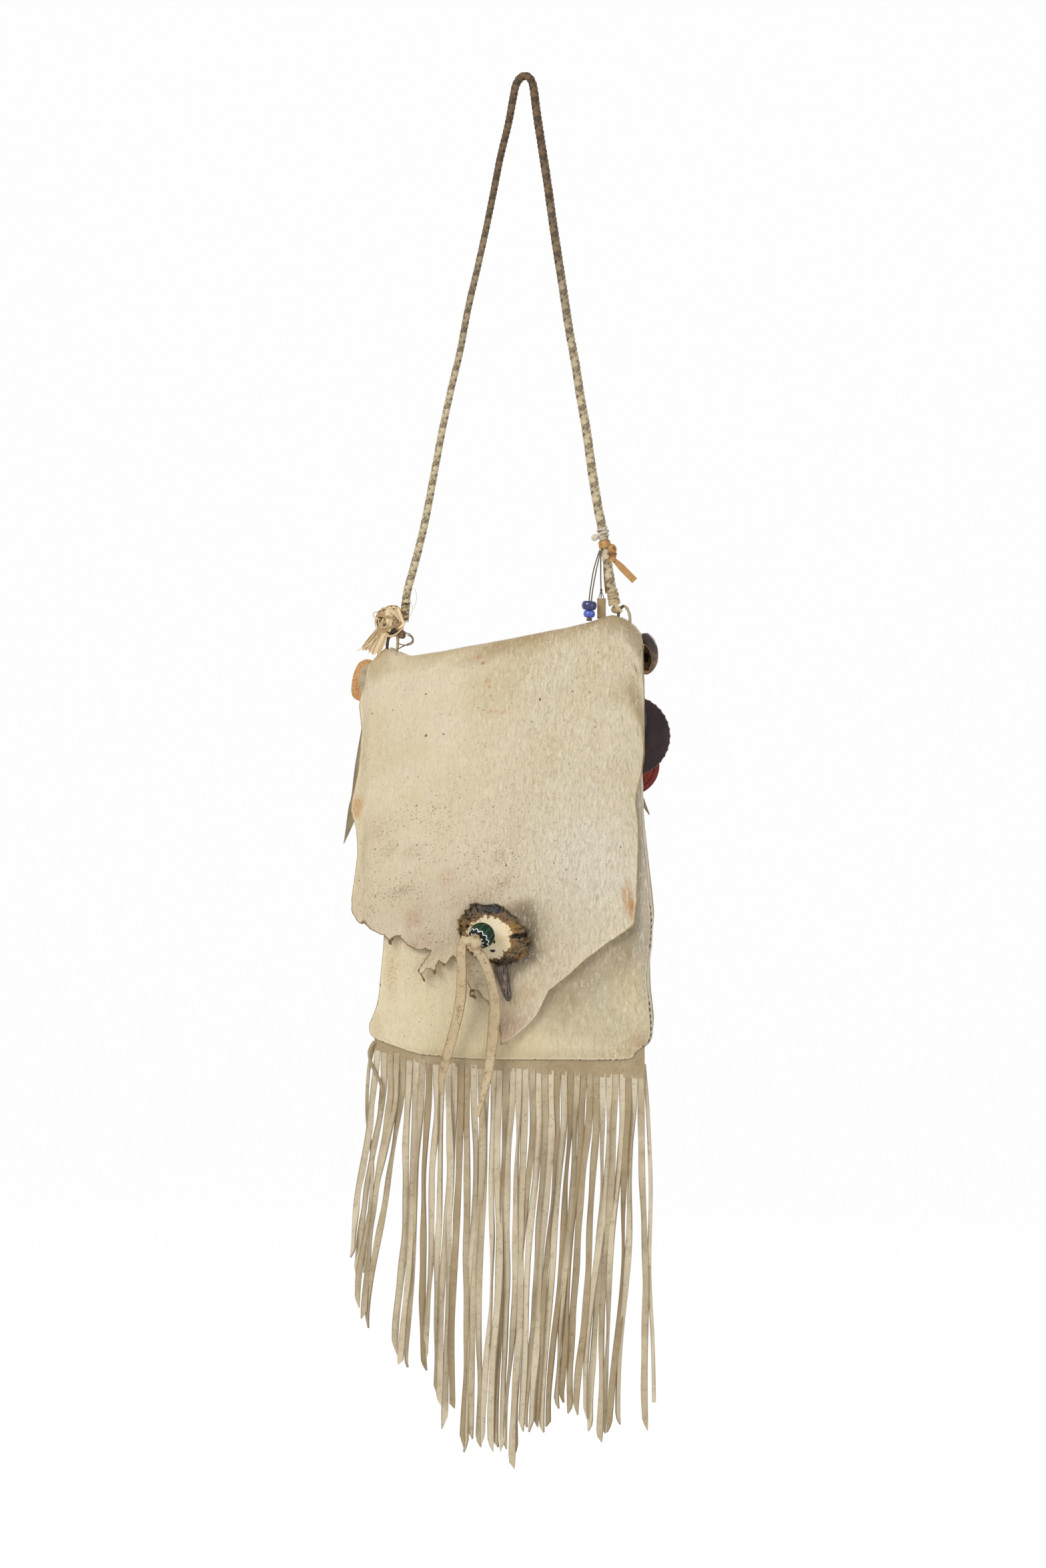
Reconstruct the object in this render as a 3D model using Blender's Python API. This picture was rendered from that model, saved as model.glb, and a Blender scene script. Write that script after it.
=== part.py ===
"""A possibles bag: a soft hide bag with a fringed bottom seam, a lid closed by an antler rosette and
a glass bead, charms at its top corners, and a braided strap that it hangs from.

Metres, +Z up, the front towards -Y. The origin is the point that the strap hangs from, at the inside
of its top bend. Outlines are drawn from the front as (x, z) in millimetres from that point.
"""

import math

import bmesh
import bpy
from mathutils import Matrix, Vector
from mathutils.geometry import delaunay_2d_cdt

MM = 0.001

# Hide thicknesses and fits
HIDE = 2.0 * MM
GUSSET_HIDE = 2.0 * MM
FRINGE_HIDE = 1.4 * MM
TOUCH = 0.3 * MM
LID_CLEARANCE = 0.5 * MM

# The fold that the lid turns over, through two points of its top edge
FOLD_LEFT = (-85.5 * MM, -431.5 * MM)
FOLD_RIGHT = (47.5 * MM, -406.0 * MM)
FOLD_RADIUS = 8.0 * MM
LID_START = math.radians(60)
LID_SPLIT = 0.7 * MM
CROWN_LEFT = -91.0 * MM
CROWN_RIGHT = 64.5 * MM
CORNER_SLIT = 1.5 * MM

# How the filled bag stands out in front and behind
FRONT_SWELL = 10.0 * MM
BACK_SWELL = 12.0 * MM
SWELL_DROP = 210.0 * MM
SEAM_SWELL = 0.73
EDGE_SWELL = 0.45
SWELL_MIDDLE = -10.0 * MM
SWELL_WIDTH = 85.0 * MM
BAG_HEIGHT = 310.0 * MM

# Outlines of the bag
PANEL_EDGE = [
    (-101.0, -462.0), (-103.5, -520.0), (-104.5, -600.0), (-105.5, -642.0), (-107.5, -665.0),
    (-110.0, -689.0), (-114.0, -701.5), (-116.5, -707.5), (-115.0, -715.0), (-108.0, -719.5),
    (-95.5, -724.0), (-80.0, -729.0), (-60.5, -731.0), (-32.0, -733.0), (16.0, -733.5),
    (73.5, -733.5), (83.0, -727.5), (92.0, -720.0), (94.0, -711.0), (92.5, -689.0),
    (91.0, -670.0), (93.5, -645.0), (94.0, -625.0), (91.0, -593.0), (87.5, -553.5),
    (85.5, -500.0), (81.5, -450.0), (77.5, -428.0),
]
BOTTOM_FIRST, BOTTOM_LAST = 8, 17
BACK_LEFT_CORNER = [(-94.5, -428.0), (-102.5, -424.0), (-110.0, -430.0), (-116.0, -436.5),
                    (-114.0, -455.0), (-108.0, -482.0)]
BACK_RIGHT_EDGE = [(94.5, -718.0), (97.0, -705.0), (96.5, -697.0), (94.5, -676.0), (94.5, -651.0),
                   (97.0, -630.0), (96.5, -615.0), (92.5, -579.5), (88.5, -540.0), (86.5, -500.0),
                   (86.5, -460.0), (89.0, -426.0), (87.5, -414.0), (78.0, -405.0), (70.0, -402.0)]
LID_EDGE = [
    (-114.0, None), (-121.5, -450.0), (-124.0, -468.5), (-122.0, -488.0), (-124.5, -517.0),
    (-129.5, -540.0), (-130.0, -547.0), (-126.0, -561.5), (-125.0, -579.0), (-127.5, -598.0),
    (-129.5, -612.5), (-129.0, -622.0), (-126.0, -629.0), (-118.0, -633.0), (-111.5, -638.0),
    (-104.5, -641.0), (-100.0, -647.5), (-97.5, -642.0), (-94.0, -640.5), (-89.5, -646.0),
    (-85.5, -649.0), (-79.0, -651.5), (-73.5, -650.0), (-70.0, -651.0), (-71.0, -657.0),
    (-77.0, -663.5), (-79.0, -669.5), (-73.5, -665.0), (-66.0, -669.0), (-64.0, -658.5),
    (-59.0, -661.0), (-53.5, -655.5), (-43.0, -673.0), (-37.5, -683.5), (-29.0, -688.0),
    (-25.5, -698.5), (-18.5, -708.0), (-18.5, -722.5), (-9.5, -717.0), (3.0, -706.5),
    (9.5, -698.5), (17.5, -681.5), (32.0, -670.0), (44.5, -658.5), (60.5, -646.5),
    (79.5, -634.0), (81.5, -631.5), (83.0, -615.5), (84.5, -577.5), (84.5, -559.5),
    (82.5, -541.5), (83.0, -535.0), (87.5, -519.0), (89.5, -505.5), (89.5, -467.0),
    (89.0, -426.0), (87.5, -414.0), (82.0, None),
]
SHEET_STEP = 22.0 * MM
LID_STEP = 20.0 * MM

# Ties: the bag turns on two thongs, each through a hole in the top of the gusset
LEFT_HOLE = (-99.0 * MM, -429.5 * MM)
RIGHT_HOLE = (74.5 * MM, -410.0 * MM)
TIE_THONG = 2.4 * MM
TIE_HOLE = 3.6 * MM
TIE_DRILL = 8.0 * MM
TIE_HALF_WIDTH = 3.6 * MM
TIE_CORNER = 2.0 * MM
TAB_HALF = 4.5 * MM
LEFT_TAB_FOOT = (-99.8, -449.0)
RIGHT_TAB_FOOT = (76.0, -424.0)
SEAM_EDGE = 0.6 * MM

# Strap
STRAP_DIAMETER = 7.0 * MM
STRAP_STEP = 16.0 * MM
STRAP_TOP_STEP = 3.5 * MM
STRAP_TOP_REACH = 24.0 * MM
STRAP_ROUTE = [
    (-90.5, -405.5), (-88.5, -384.5), (-84.5, -369.0), (-80.0, -352.0), (-74.5, -328.5),
    (-68.0, -294.0), (-62.0, -262.0), (-55.0, -229.5), (-48.5, -202.0), (-42.5, -170.0),
    (-35.5, -140.0), (-28.5, -108.0), (-23.0, -80.5), (-18.5, -57.5), (-12.5, -32.5),
    (-8.7, -12.0), (-6.8, -3.4), (-3.7, 1.8), (0.0, 3.5), (3.5, 2.0), (5.9, -2.8),
    (7.2, -11.0), (9.0, -25.5), (12.5, -48.5), (17.0, -78.0), (20.5, -103.5), (25.0, -133.5),
    (28.5, -156.0), (33.0, -186.0), (38.0, -213.5), (41.5, -236.5), (46.0, -262.0),
    (50.5, -294.0), (55.0, -321.5), (58.0, -336.0), (60.3, -351.5), (63.5, -372.0),
    (67.2, -393.0),
]
WHIPPING = 0.7 * MM
LEFT_WHIPPING = (-392.5, -404.5)
RIGHT_WRAP = (-383.0, -392.6)
OCHRE_BAND = (-344.8, -351.0)
OCHRE_THICK = 0.8 * MM
STRING_WRAP = (-336.5, -342.2)

# Straw binding and the pieces tied in it
STRAW_CENTRE = (-101.0, -1.0, -405.8)
STRAW_RADII = (10.5, 8.0, 11.0)
STRAW_TAIL = [(-112.0, -413.5), (-119.5, -424.0), (-126.5, -428.0), (-121.0, -430.5),
              (-114.0, -431.5), (-109.0, -424.0), (-103.5, -414.0)]
STRAW_TAIL_BACK = -2.0 * MM
STRAW_TAIL_DEPTH = 4.0 * MM
DARK_KNOT_CENTRE = (-92.0, -3.0, -415.2)
DARK_KNOT_RADIUS = 3.5 * MM
THREAD_DIAMETER = 0.9 * MM
THREAD_ROUTE = [(-88.1, -3.0, -415.6), (-86.3, -3.2, -416.2), (-84.2, -3.6, -418.4),
                (-84.6, -3.8, -420.8), (-87.4, -3.6, -422.3), (-91.0, -3.2, -424.0),
                (-95.2, -3.0, -426.4)]

# Ochre strip and string round the right leg of the strap
OCHRE_KNOT = ((65.2, -2.2, -351.4), (3.4, 3.6, 3.8))
OCHRE_COIL = ((66.2, -2.0, -357.6), (2.6, 2.8, 3.8))
OCHRE_TAIL = [(65.0, -359.5), (68.8, -358.0), (73.0, -363.0), (83.5, -372.8), (80.5, -377.0),
              (69.5, -368.5)]
OCHRE_TAIL_Y = -1.8 * MM
OCHRE_STRAND = [(58.2, -346.0), (61.2, -346.0), (61.6, -368.0), (62.9, -384.0), (60.7, -384.0),
                (59.0, -366.0)]
OCHRE_STRAND_Y = 4.1 * MM
STRING_BALL = ((52.2, -1.0, -342.6), (2.7, 2.7, 2.7))

# Beads and the strip that hang beside the strap
BEAD_CORD_DIAMETER = 1.0 * MM
STRING_HOLE = 2.6 * MM
BEAD_HANG = (56.0, -1.2, -352.2)
BEAD_X = 48.1 * MM
BEAD_Y = -1.2 * MM
DARK_BEAD = (5.8 * MM, 6.6 * MM)
LIGHT_BEAD = (4.5 * MM, 5.4 * MM)
TUBE_BEAD = (2.1 * MM, 2.2 * MM)
BEAD_TOP = -390.2 * MM
BEAD_CORD_ROUTE = [(54.6, -1.2, -356.0), (51.4, -1.2, -367.0), (49.2, -1.2, -380.0),
                   (48.1, -1.2, -389.0), (48.1, -1.2, -398.0)]
STRIP_CORD_ROUTE = [(57.0, 2.4, -352.2), (56.8, 2.5, -361.0), (56.9, 2.7, -374.0),
                    (57.2, 2.9, -387.6)]
STRIP_OUTLINE = [(54.2, -388.0), (60.6, -388.0), (60.6, -402.0), (54.2, -403.6)]
STRIP_Y = 2.2 * MM
STRIP_HIDE = 1.4 * MM

# Lid fittings
ROSETTE_CENTRE = (-22.5 * MM, -639.5 * MM)
ROSETTE_RADII = (27.0 * MM, 23.5 * MM)
ROSETTE_THICK = 5.5 * MM
ROSETTE_FACES = 44
CHEVRON_CENTRE = (-32.0 * MM, -639.5 * MM)
CHEVRON_RADIUS = 9.75 * MM
CHEVRON_LENGTH = 17.0 * MM
CHEVRON_HOLE = 4.4 * MM
CHEVRON_LEAN = Vector((-0.50, -0.55, -0.50))
KNOT_RADII = (6.0 * MM, 4.6 * MM, 5.4 * MM)
TAIL_WIDTH = 8.0 * MM
TAIL_HIDE = 1.6 * MM
LEFT_TAIL_ROUTE = [(-46.6, -36.0, -665.0), (-47.4, -30.5, -684.0),
                   (-50.6, -26.0, -702.0), (-55.5, -23.0, -720.0), (-60.0, -20.5, -736.0),
                   (-62.6, -19.5, -749.0), (-62.2, -19.5, -759.0)]
RIGHT_TAIL_ROUTE = [(-27.5, -36.5, -666.0), (-24.0, -31.5, -680.0),
                    (-22.6, -28.0, -692.0), (-23.6, -25.0, -709.0), (-26.0, -22.0, -733.0),
                    (-29.0, -20.0, -750.0), (-35.2, -19.0, -775.0)]
HORN_TOP = (-16.0 * MM, -667.2 * MM)
HORN_TIP = (-11.8 * MM, -689.5 * MM)
HORN_RADIUS = 4.9 * MM

# Fringe
STRANDS = 42
FRINGE_LEFT = -112.5 * MM
FRINGE_RIGHT = 89.5 * MM
FRINGE_LAP = 9.0 * MM
SLIT = 0.5 * MM
SLIT_TOPS = [(-113.0, -724.0), (-80.0, -734.0), (-41.5, -738.0), (4.0, -741.5), (50.0, -744.5),
             (90.0, -746.0)]
TIP_LEFT = -130.0 * MM
TIP_RIGHT = 93.5 * MM
STRAND_TIPS = [(-131.0, -890.0), (-122.0, -930.5), (-116.5, -931.5), (-96.5, -965.0),
               (-74.0, -966.5), (-60.0, -1009.5), (-45.5, -1031.0), (-25.5, -1037.5),
               (-8.0, -1043.0), (4.0, -1018.5), (18.5, -1011.0), (40.0, -1010.5),
               (55.0, -1021.0), (65.5, -1013.5), (94.0, -1014.5)]
TIP_WIDTH = 3.6 * MM
STRAND_SECTIONS = 4
STRAND_SWAY = 1.6 * MM
TIP_RAGGED = 7.0 * MM

# Charms at the right corner, from the bag's back outwards
CHARM_GAP = 0.4 * MM
CHARM_THONG = (5.0 * MM, 1.6 * MM)
CHARM_THONG_STEP = 7.0 * MM
BUTTON_CENTRE = (77.5 * MM, -479.0 * MM)
BUTTON_RADIUS = 15.0 * MM
BUTTON_DOME = 4.6 * MM
PURPLE_CENTRE = (79.0 * MM, -491.0 * MM)
PURPLE_RADIUS = 30.5 * MM
PURPLE_THICK = 2.6 * MM
PINKED_TEETH = 36
PINKED_DEPTH = 0.9 * MM
RED_CENTRE = (78.5 * MM, -513.0 * MM)
RED_RADIUS = 23.0 * MM
RED_THICK = 2.6 * MM
RED_GROOVE = (17.5 * MM, 19.5 * MM, 0.6 * MM)
HULL_CENTRE = (91.3, 17.4, -429.2)
HULL_RADII = (9.4, 8.2, 16.2)
HULL_WALL = 1.6
RIGHT_CHARM_TOP = (79.0, -411.0)
RIGHT_CHARM_ROUTE = [(79.0, -418.0), (78.8, -440.0), (78.6, -470.0), (79.0, -500.0),
                     (82.5, -526.0), (89.0, -541.0), (94.0, -550.5)]

# Charms at the left corner
SLICE_CENTRE = (-119.4 * MM, -449.5 * MM)
SLICE_RADII = (11.8 * MM, 16.0 * MM)
SLICE_THICK = 5.0 * MM
SLICE_FACES = 32
LEFT_CHARM_TOP = (-107.5, -432.0)
LEFT_CHARM_ROUTE = [(-110.0, -438.0), (-117.5, -452.0), (-121.5, -472.0), (-123.0, -488.0),
                    (-127.5, -511.0), (-130.5, -536.0), (-136.0, -570.0)]

# Colour and roughness of each finish
BUCKSKIN = ((0.71, 0.62, 0.42), 0.85)
GREY_SUEDE = ((0.50, 0.45, 0.36), 0.95)
FRINGE_SUEDE = ((0.50, 0.42, 0.28), 0.92)
BRAID = ((0.35, 0.27, 0.16), 0.75)
STRAW = ((0.66, 0.50, 0.27), 0.8)
DARK_THONG = ((0.09, 0.06, 0.04), 0.7)
OCHRE = ((0.55, 0.30, 0.10), 0.75)
STRING = ((0.55, 0.47, 0.38), 0.85)
THREAD = ((0.16, 0.11, 0.09), 0.7)
COBALT = ((0.02, 0.02, 0.12), 0.12)
SKY_BLUE = ((0.08, 0.14, 0.55), 0.15)
PURPLE_GLASS = ((0.08, 0.03, 0.05), 0.3)
TAN_HIDE = ((0.38, 0.29, 0.15), 0.85)
ANTLER = ((0.40, 0.31, 0.20), 0.7)
GREEN_GLASS = ((0.01, 0.03, 0.015), 0.15)
HORN = ((0.10, 0.08, 0.07), 0.35)
PURPLE_HIDE = ((0.07, 0.03, 0.04), 0.75)
TEAL_ENAMEL = ((0.03, 0.05, 0.05), 0.3)
RED_HIDE = ((0.30, 0.04, 0.02), 0.6)
NUTSHELL = ((0.06, 0.02, 0.015), 0.45)
GREY_TAN = ((0.42, 0.36, 0.26), 0.88)
WOOD = ((0.55, 0.32, 0.14), 0.7)


# The surfaces that every hide piece follows

FOLD_SLOPE = (FOLD_RIGHT[1] - FOLD_LEFT[1]) / (FOLD_RIGHT[0] - FOLD_LEFT[0])


def fold_axis(x):
    """Height of the middle of the fold's roll."""
    return FOLD_LEFT[1] + FOLD_SLOPE * (x - FOLD_LEFT[0]) - FOLD_RADIUS


def swell(x, z):
    """Share of the full swell at a point: none at the fold, most at the belly, less at the edges."""
    down = max(0.0, fold_axis(x) - z) / SWELL_DROP
    if down < 1:
        share = down * down * (3 - 2 * down)
    else:
        past = (down - 1) * SWELL_DROP / (BAG_HEIGHT - SWELL_DROP)
        share = 1 - (1 - SEAM_SWELL) * min(1.3, past) ** 2
    across = math.exp(-(((x - SWELL_MIDDLE) / SWELL_WIDTH) ** 2))
    return share * (EDGE_SWELL + (1 - EDGE_SWELL) * across)


def lid_face(x, z):
    """The lid's outer face: round the fold, then over the bag's front."""
    rise = z - fold_axis(x)
    if rise > 0:
        return -math.sqrt(max(0.0, FOLD_RADIUS**2 - rise**2))
    return -(FOLD_RADIUS + FRONT_SWELL * swell(x, z))


def front_face(x, z):
    """The front panel's outer face, just inside the lid."""
    return lid_face(x, min(z, fold_axis(x))) + HIDE + LID_CLEARANCE


def front_inside(x, z):
    return front_face(x, z) + HIDE


def back_face(x, z):
    return FOLD_RADIUS + BACK_SWELL * swell(x, z)


def back_inside(x, z):
    return back_face(x, z) - HIDE


def lid_line(x):
    """Height at which the lid begins, which is also its hinge line."""
    return fold_axis(x) + FOLD_RADIUS * math.cos(LID_START)


def millimetres(points):
    return [tuple(value * MM for value in point) for point in points]


# Bodies, each with an empty on its joint

def pivot(name, place, parent=None):
    empty = bpy.data.objects.new(name, None)
    empty.empty_display_size = 0.01
    bpy.context.scene.collection.objects.link(empty)
    empty.location = place
    if parent is not None:
        empty.parent = parent
        empty.location = Vector(place) - Vector(parent["place"])
    empty["place"] = tuple(place)
    return empty


def clear_scene():
    for obj in list(bpy.data.objects):
        bpy.data.objects.remove(obj, do_unlink=True)


def node(name, mesh, look, body):
    """Puts one physical piece into the scene, with a material of its own, on its body's pivot."""
    obj = bpy.data.objects.new(name, mesh)
    bpy.context.scene.collection.objects.link(obj)
    colour, roughness = look
    material = bpy.data.materials.new(name)
    material.use_nodes = True
    shader = material.node_tree.nodes["Principled BSDF"]
    shader.inputs["Base Color"].default_value = (*colour, 1.0)
    shader.inputs["Roughness"].default_value = roughness
    shader.inputs["Metallic"].default_value = 0.0
    mesh.materials.append(material)
    obj.parent = body
    obj.matrix_parent_inverse = Matrix.Translation(Vector(body["place"])).inverted()
    return obj


def helper(name, mesh):
    """A shape that another one is cut or joined with."""
    obj = bpy.data.objects.new(name, mesh)
    bpy.context.scene.collection.objects.link(obj)
    obj.hide_render = True
    obj.display_type = "WIRE"
    return obj


def combine(obj, other, operation):
    step = obj.modifiers.new(other.name, "BOOLEAN")
    step.operation = operation
    step.solver = "EXACT"
    step.object = other


# Mesh builders

def mesh_from(name, points, faces, smooth=False):
    mesh = bpy.data.meshes.new(name)
    mesh.from_pydata([tuple(p) for p in points], [], faces)
    work = bmesh.new()
    work.from_mesh(mesh)
    bmesh.ops.recalc_face_normals(work, faces=work.faces)
    work.to_mesh(mesh)
    work.free()
    if smooth:
        mesh.shade_smooth()
        mesh.set_sharp_from_angle(angle=math.radians(40))
    return mesh


def smooth_points(route, per_span=12):
    """Points along a smooth curve through a route."""
    places = [Vector(p) for p in route]
    places = [2 * places[0] - places[1]] + places + [2 * places[-1] - places[-2]]
    found = []
    for i in range(1, len(places) - 2):
        a, b, c, d = places[i - 1 : i + 3]
        for k in range(per_span):
            t = k / per_span
            found.append(
                0.5 * (2 * b + (c - a) * t + (2 * a - 5 * b + 4 * c - d) * t * t
                       + (3 * b - a - 3 * c + d) * t**3)
            )
    found.append(places[-2])
    return found


def along(points, distances):
    """Places at the given distances along a line of points."""
    found, passed, i = [], 0.0, 0
    for wanted in distances:
        while i < len(points) - 2 and passed + (points[i + 1] - points[i]).length < wanted:
            passed += (points[i + 1] - points[i]).length
            i += 1
        span = (points[i + 1] - points[i]).length
        found.append(points[i].lerp(points[i + 1], min(1.0, (wanted - passed) / span)))
    return found


def line_length(points):
    return sum((b - a).length for a, b in zip(points, points[1:]))


def even(route, step):
    fine = smooth_points(route)
    total = line_length(fine)
    count = max(2, round(total / step))
    return along(fine, [total * i / count for i in range(count + 1)])


def tube(name, points, diameter, resolution, closed=False):
    """A round cord as a curve with filled ends."""
    curve = bpy.data.curves.new(name, "CURVE")
    curve.dimensions = "3D"
    curve.bevel_depth = diameter / 2
    curve.bevel_resolution = resolution
    curve.use_fill_caps = True
    spline = curve.splines.new("POLY")
    spline.points.add(len(points) - 1)
    for point, place in zip(spline.points, points):
        point.co = (*place, 1.0)
    spline.use_cyclic_u = closed
    return curve


def flat_thong(name, points, width, thickness, across, taper=0.35, taper_from=0.8):
    """A flat thong along a line: its width lies along a fixed direction, and its end tapers."""
    places, faces, last = [], [], len(points) - 1
    for i, place in enumerate(points):
        before, after = points[max(0, i - 1)], points[min(last, i + 1)]
        forward = (after - before).normalized()
        side = (across - across.dot(forward) * forward).normalized()
        out = forward.cross(side)
        share = i / last
        narrow = 1.0 if share < taper_from else 1 - (1 - taper) * (share - taper_from) / (1 - taper_from)
        half, deep = side * width * narrow / 2, out * thickness / 2
        places += [place - half - deep, place + half - deep, place + half + deep, place - half + deep]
    for i in range(last):
        for k in range(4):
            a, b = 4 * i + k, 4 * i + (k + 1) % 4
            faces.append((a, b, b + 4, a + 4))
    faces += [(3, 2, 1, 0), tuple(4 * last + k for k in range(4))]
    return mesh_from(name, places, faces)


def ring_stack(name, rings, closed_ends=True):
    """Joins rings of equally many points into one skin."""
    count = len(rings[0])
    points = [p for ring in rings for p in ring]
    faces = []
    for i in range(len(rings) - 1):
        for k in range(count):
            a, b = i * count + k, i * count + (k + 1) % count
            faces.append((a, b, b + count, a + count))
    if closed_ends:
        faces += [tuple(range(count)), tuple(range((len(rings) - 1) * count, len(rings) * count))]
    else:
        last = (len(rings) - 1) * count
        for k in range(count):
            faces.append((last + k, last + (k + 1) % count, (k + 1) % count, k))
    return mesh_from(name, points, faces, smooth=True)


def turned(name, profile, centre, axis, steps=28, hollow=False):
    """Turns a profile of (radius, height) about an axis. A hollow one is a closed profile."""
    frame = Vector(axis).normalized().to_track_quat("Z", "Y").to_matrix()
    rings = []
    for radius, height in profile:
        rings.append([
            Vector(centre) + frame @ Vector((radius * math.cos(a), radius * math.sin(a), height))
            for a in (2 * math.pi * k / steps for k in range(steps))
        ])
    return ring_stack(name, rings, closed_ends=not hollow)


def ball(name, centre, radii, lumps=0.0, turns=5, segments=16, rings=9):
    """An ellipsoid, with lumps where it is a knot."""
    centre = Vector(centre)
    skin = []
    for i in range(1, rings):
        tall = math.pi * i / rings
        ring = []
        for k in range(segments):
            turn = 2 * math.pi * k / segments
            grow = 1 + lumps * math.sin(turns * turn + 3 * tall) * math.sin(tall)
            ring.append(centre + Vector((
                radii[0] * grow * math.sin(tall) * math.cos(turn),
                radii[1] * grow * math.sin(tall) * math.sin(turn),
                radii[2] * math.cos(tall),
            )))
        skin.append(ring)
    return ring_stack(name, skin)


def within(point, outline):
    x, z = point
    found = False
    for (x0, z0), (x1, z1) in zip(outline, outline[1:] + outline[:1]):
        if (z0 > z) != (z1 > z) and x < x0 + (z - z0) * (x1 - x0) / (z1 - z0):
            found = not found
    return found


def edge_distance(point, outline):
    x, z = point
    best = math.inf
    for (x0, z0), (x1, z1) in zip(outline, outline[1:] + outline[:1]):
        dx, dz = x1 - x0, z1 - z0
        t = max(0.0, min(1.0, ((x - x0) * dx + (z - z0) * dz) / (dx * dx + dz * dz)))
        best = min(best, math.hypot(x - x0 - t * dx, z - z0 - t * dz))
    return best


def divided(outline, step):
    """The outline with its long edges divided."""
    found = []
    for (x0, z0), (x1, z1) in zip(outline, outline[1:] + outline[:1]):
        count = max(1, math.ceil(math.hypot(x1 - x0, z1 - z0) / step - 0.2))
        found += [(x0 + (x1 - x0) * k / count, z0 + (z1 - z0) * k / count) for k in range(count)]
    return found


def hide_sheet(name, outline, outside, inside, step, rows=()):
    """A hide cut to an outline, whose two faces are functions of (x, z). It has a row of its points
    where rows asks for one, and otherwise a point every step."""
    edge = divided(outline, step)
    low_x, high_x = min(p[0] for p in edge), max(p[0] for p in edge)
    low_z, high_z = min(p[1] for p in edge), max(p[1] for p in edge)
    inner = [p for p in rows if within(p, edge)]
    row, z = 0, low_z + step / 2
    while z < high_z:
        x = low_x + step * (0.5 + 0.5 * (row % 2))
        while x < high_x:
            clear = edge_distance((x, z), edge) > 0.45 * step
            apart = all(math.hypot(x - p[0], z - p[1]) > 0.6 * step for p in rows)
            if clear and apart and within((x, z), edge):
                inner.append((x, z))
            x += step
        z += step * 0.87
        row += 1
    flat = [Vector(p) for p in edge + inner]
    points, _, faces, _, _, _ = delaunay_2d_cdt(flat, [], [tuple(range(len(edge)))], 1, 1e-7)
    count, faces = len(points), [tuple(f) for f in faces]
    sides = {(f[k], f[(k + 1) % 3]) for f in faces for k in range(3)}
    rim = [(b, a, a + count, b + count) for a, b in sides if (b, a) not in sides]
    far = [(c + count, b + count, a + count) for a, b, c in faces]
    places = [outside(p.x, p.y) for p in points] + [inside(p.x, p.y) for p in points]
    return mesh_from(name, places, faces + far + rim)


def plate(name, outline, front, thickness):
    """A flat piece cut to an outline in millimetres, from its front face back."""
    return hide_sheet(name, millimetres(outline), lambda x, z: (x, front, z),
                      lambda x, z: (x, front + thickness, z), SHEET_STEP)


def height_at(line, x):
    """Reads a line of (x, z) points in millimetres at x."""
    for (x0, z0), (x1, z1) in zip(line, line[1:]):
        if x <= x1 * MM or (x1, z1) == line[-1]:
            return (z0 + (z1 - z0) * (x / MM - x0) / (x1 - x0)) * MM


# Strap and what is tied to it

def strap_points():
    fine = smooth_points([(x * MM, 0.0, z * MM) for x, z in STRAP_ROUTE])
    total = line_length(fine)
    top = next(i for i, p in enumerate(fine) if p.z == max(q.z for q in fine))
    middle = line_length(fine[: top + 1])
    places, reached = [], 0.0
    while reached < total - STRAP_STEP / 2:
        places.append(reached)
        near = middle - STRAP_TOP_REACH < reached < middle + STRAP_TOP_REACH
        reached += STRAP_TOP_STEP if near else STRAP_STEP
    return along(fine, places + [total])


def strap_run(side, top, bottom):
    """The strap's middle line between two heights, down its left leg (-1) or its right one (1)."""
    points = strap_points()
    peak = max(range(len(points)), key=lambda i: points[i].z)
    leg = points[: peak + 1][::-1] if side < 0 else points[peak:]
    found = []
    for a, b in zip(leg, leg[1:]):
        for height in (top, bottom):
            if b.z < height * MM <= a.z:
                found.append(a.lerp(b, (a.z - height * MM) / (a.z - b.z)))
        if bottom * MM + MM < b.z < top * MM - MM:
            found.append(b)
    if bottom * MM < leg[-1].z:
        found.append(leg[-1] + (leg[-1] - leg[-2]).normalized() * (leg[-1].z - bottom * MM))
    return found


def rings_along(points, radius, steps, grow=()):
    """Rings of points round a line, with the ends' radii changed by the amounts in grow."""
    rings = []
    for i, place in enumerate(points):
        before, after = points[max(0, i - 1)], points[min(i + 1, len(points) - 1)]
        forward = (after - place).normalized() + (place - before).normalized()
        frame = forward.to_track_quat("Z", "Y").to_matrix()
        reach = radius + (grow[i] if i < len(grow) else 0.0)
        rings.append([
            place + frame @ Vector((reach * math.cos(a), reach * math.sin(a), 0))
            for a in (2 * math.pi * k / steps for k in range(steps))
        ])
    return rings


def sleeve(name, side, ends, inner, thick, steps=16):
    """A short tube round the strap between two heights."""
    run = strap_run(side, *ends)
    outer = rings_along(run, inner + thick, steps)
    return ring_stack(name, outer + rings_along(run, inner, steps)[::-1], closed_ends=False)


def strap_room(name, side, ends, radius):
    """The space that the strap takes out of a knot tied round it."""
    return helper(name, ring_stack(name, rings_along(strap_run(side, *ends), radius, 16)))


def tie_loop(name, hole, top):
    """A thong loop through a gusset hole, up to the knot above it."""
    turn = (Vector((RIGHT_HOLE[0], 0, RIGHT_HOLE[1])) - Vector((LEFT_HOLE[0], 0, LEFT_HOLE[1])))
    turn.normalize()
    rise = top - hole[1] - TIE_THONG / 2
    corners = [(-1, 0), (1, 0), (1, 1), (-1, 1)]
    points = []
    for i, (side, high) in enumerate(corners):
        inner = Vector((side * (TIE_HALF_WIDTH - TIE_CORNER), high * rise + (1 - 2 * high) * TIE_CORNER))
        for k in range(5):
            a = math.pi * (1 + i / 2) + math.pi / 2 * k / 4
            across, up = inner + TIE_CORNER * Vector((math.cos(a), math.sin(a)))
            points.append(Vector((hole[0], 0, hole[1])) + across * turn + Vector((0, 0, up)))
    return tube(name, points, TIE_THONG, 2, closed=True)


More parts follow.
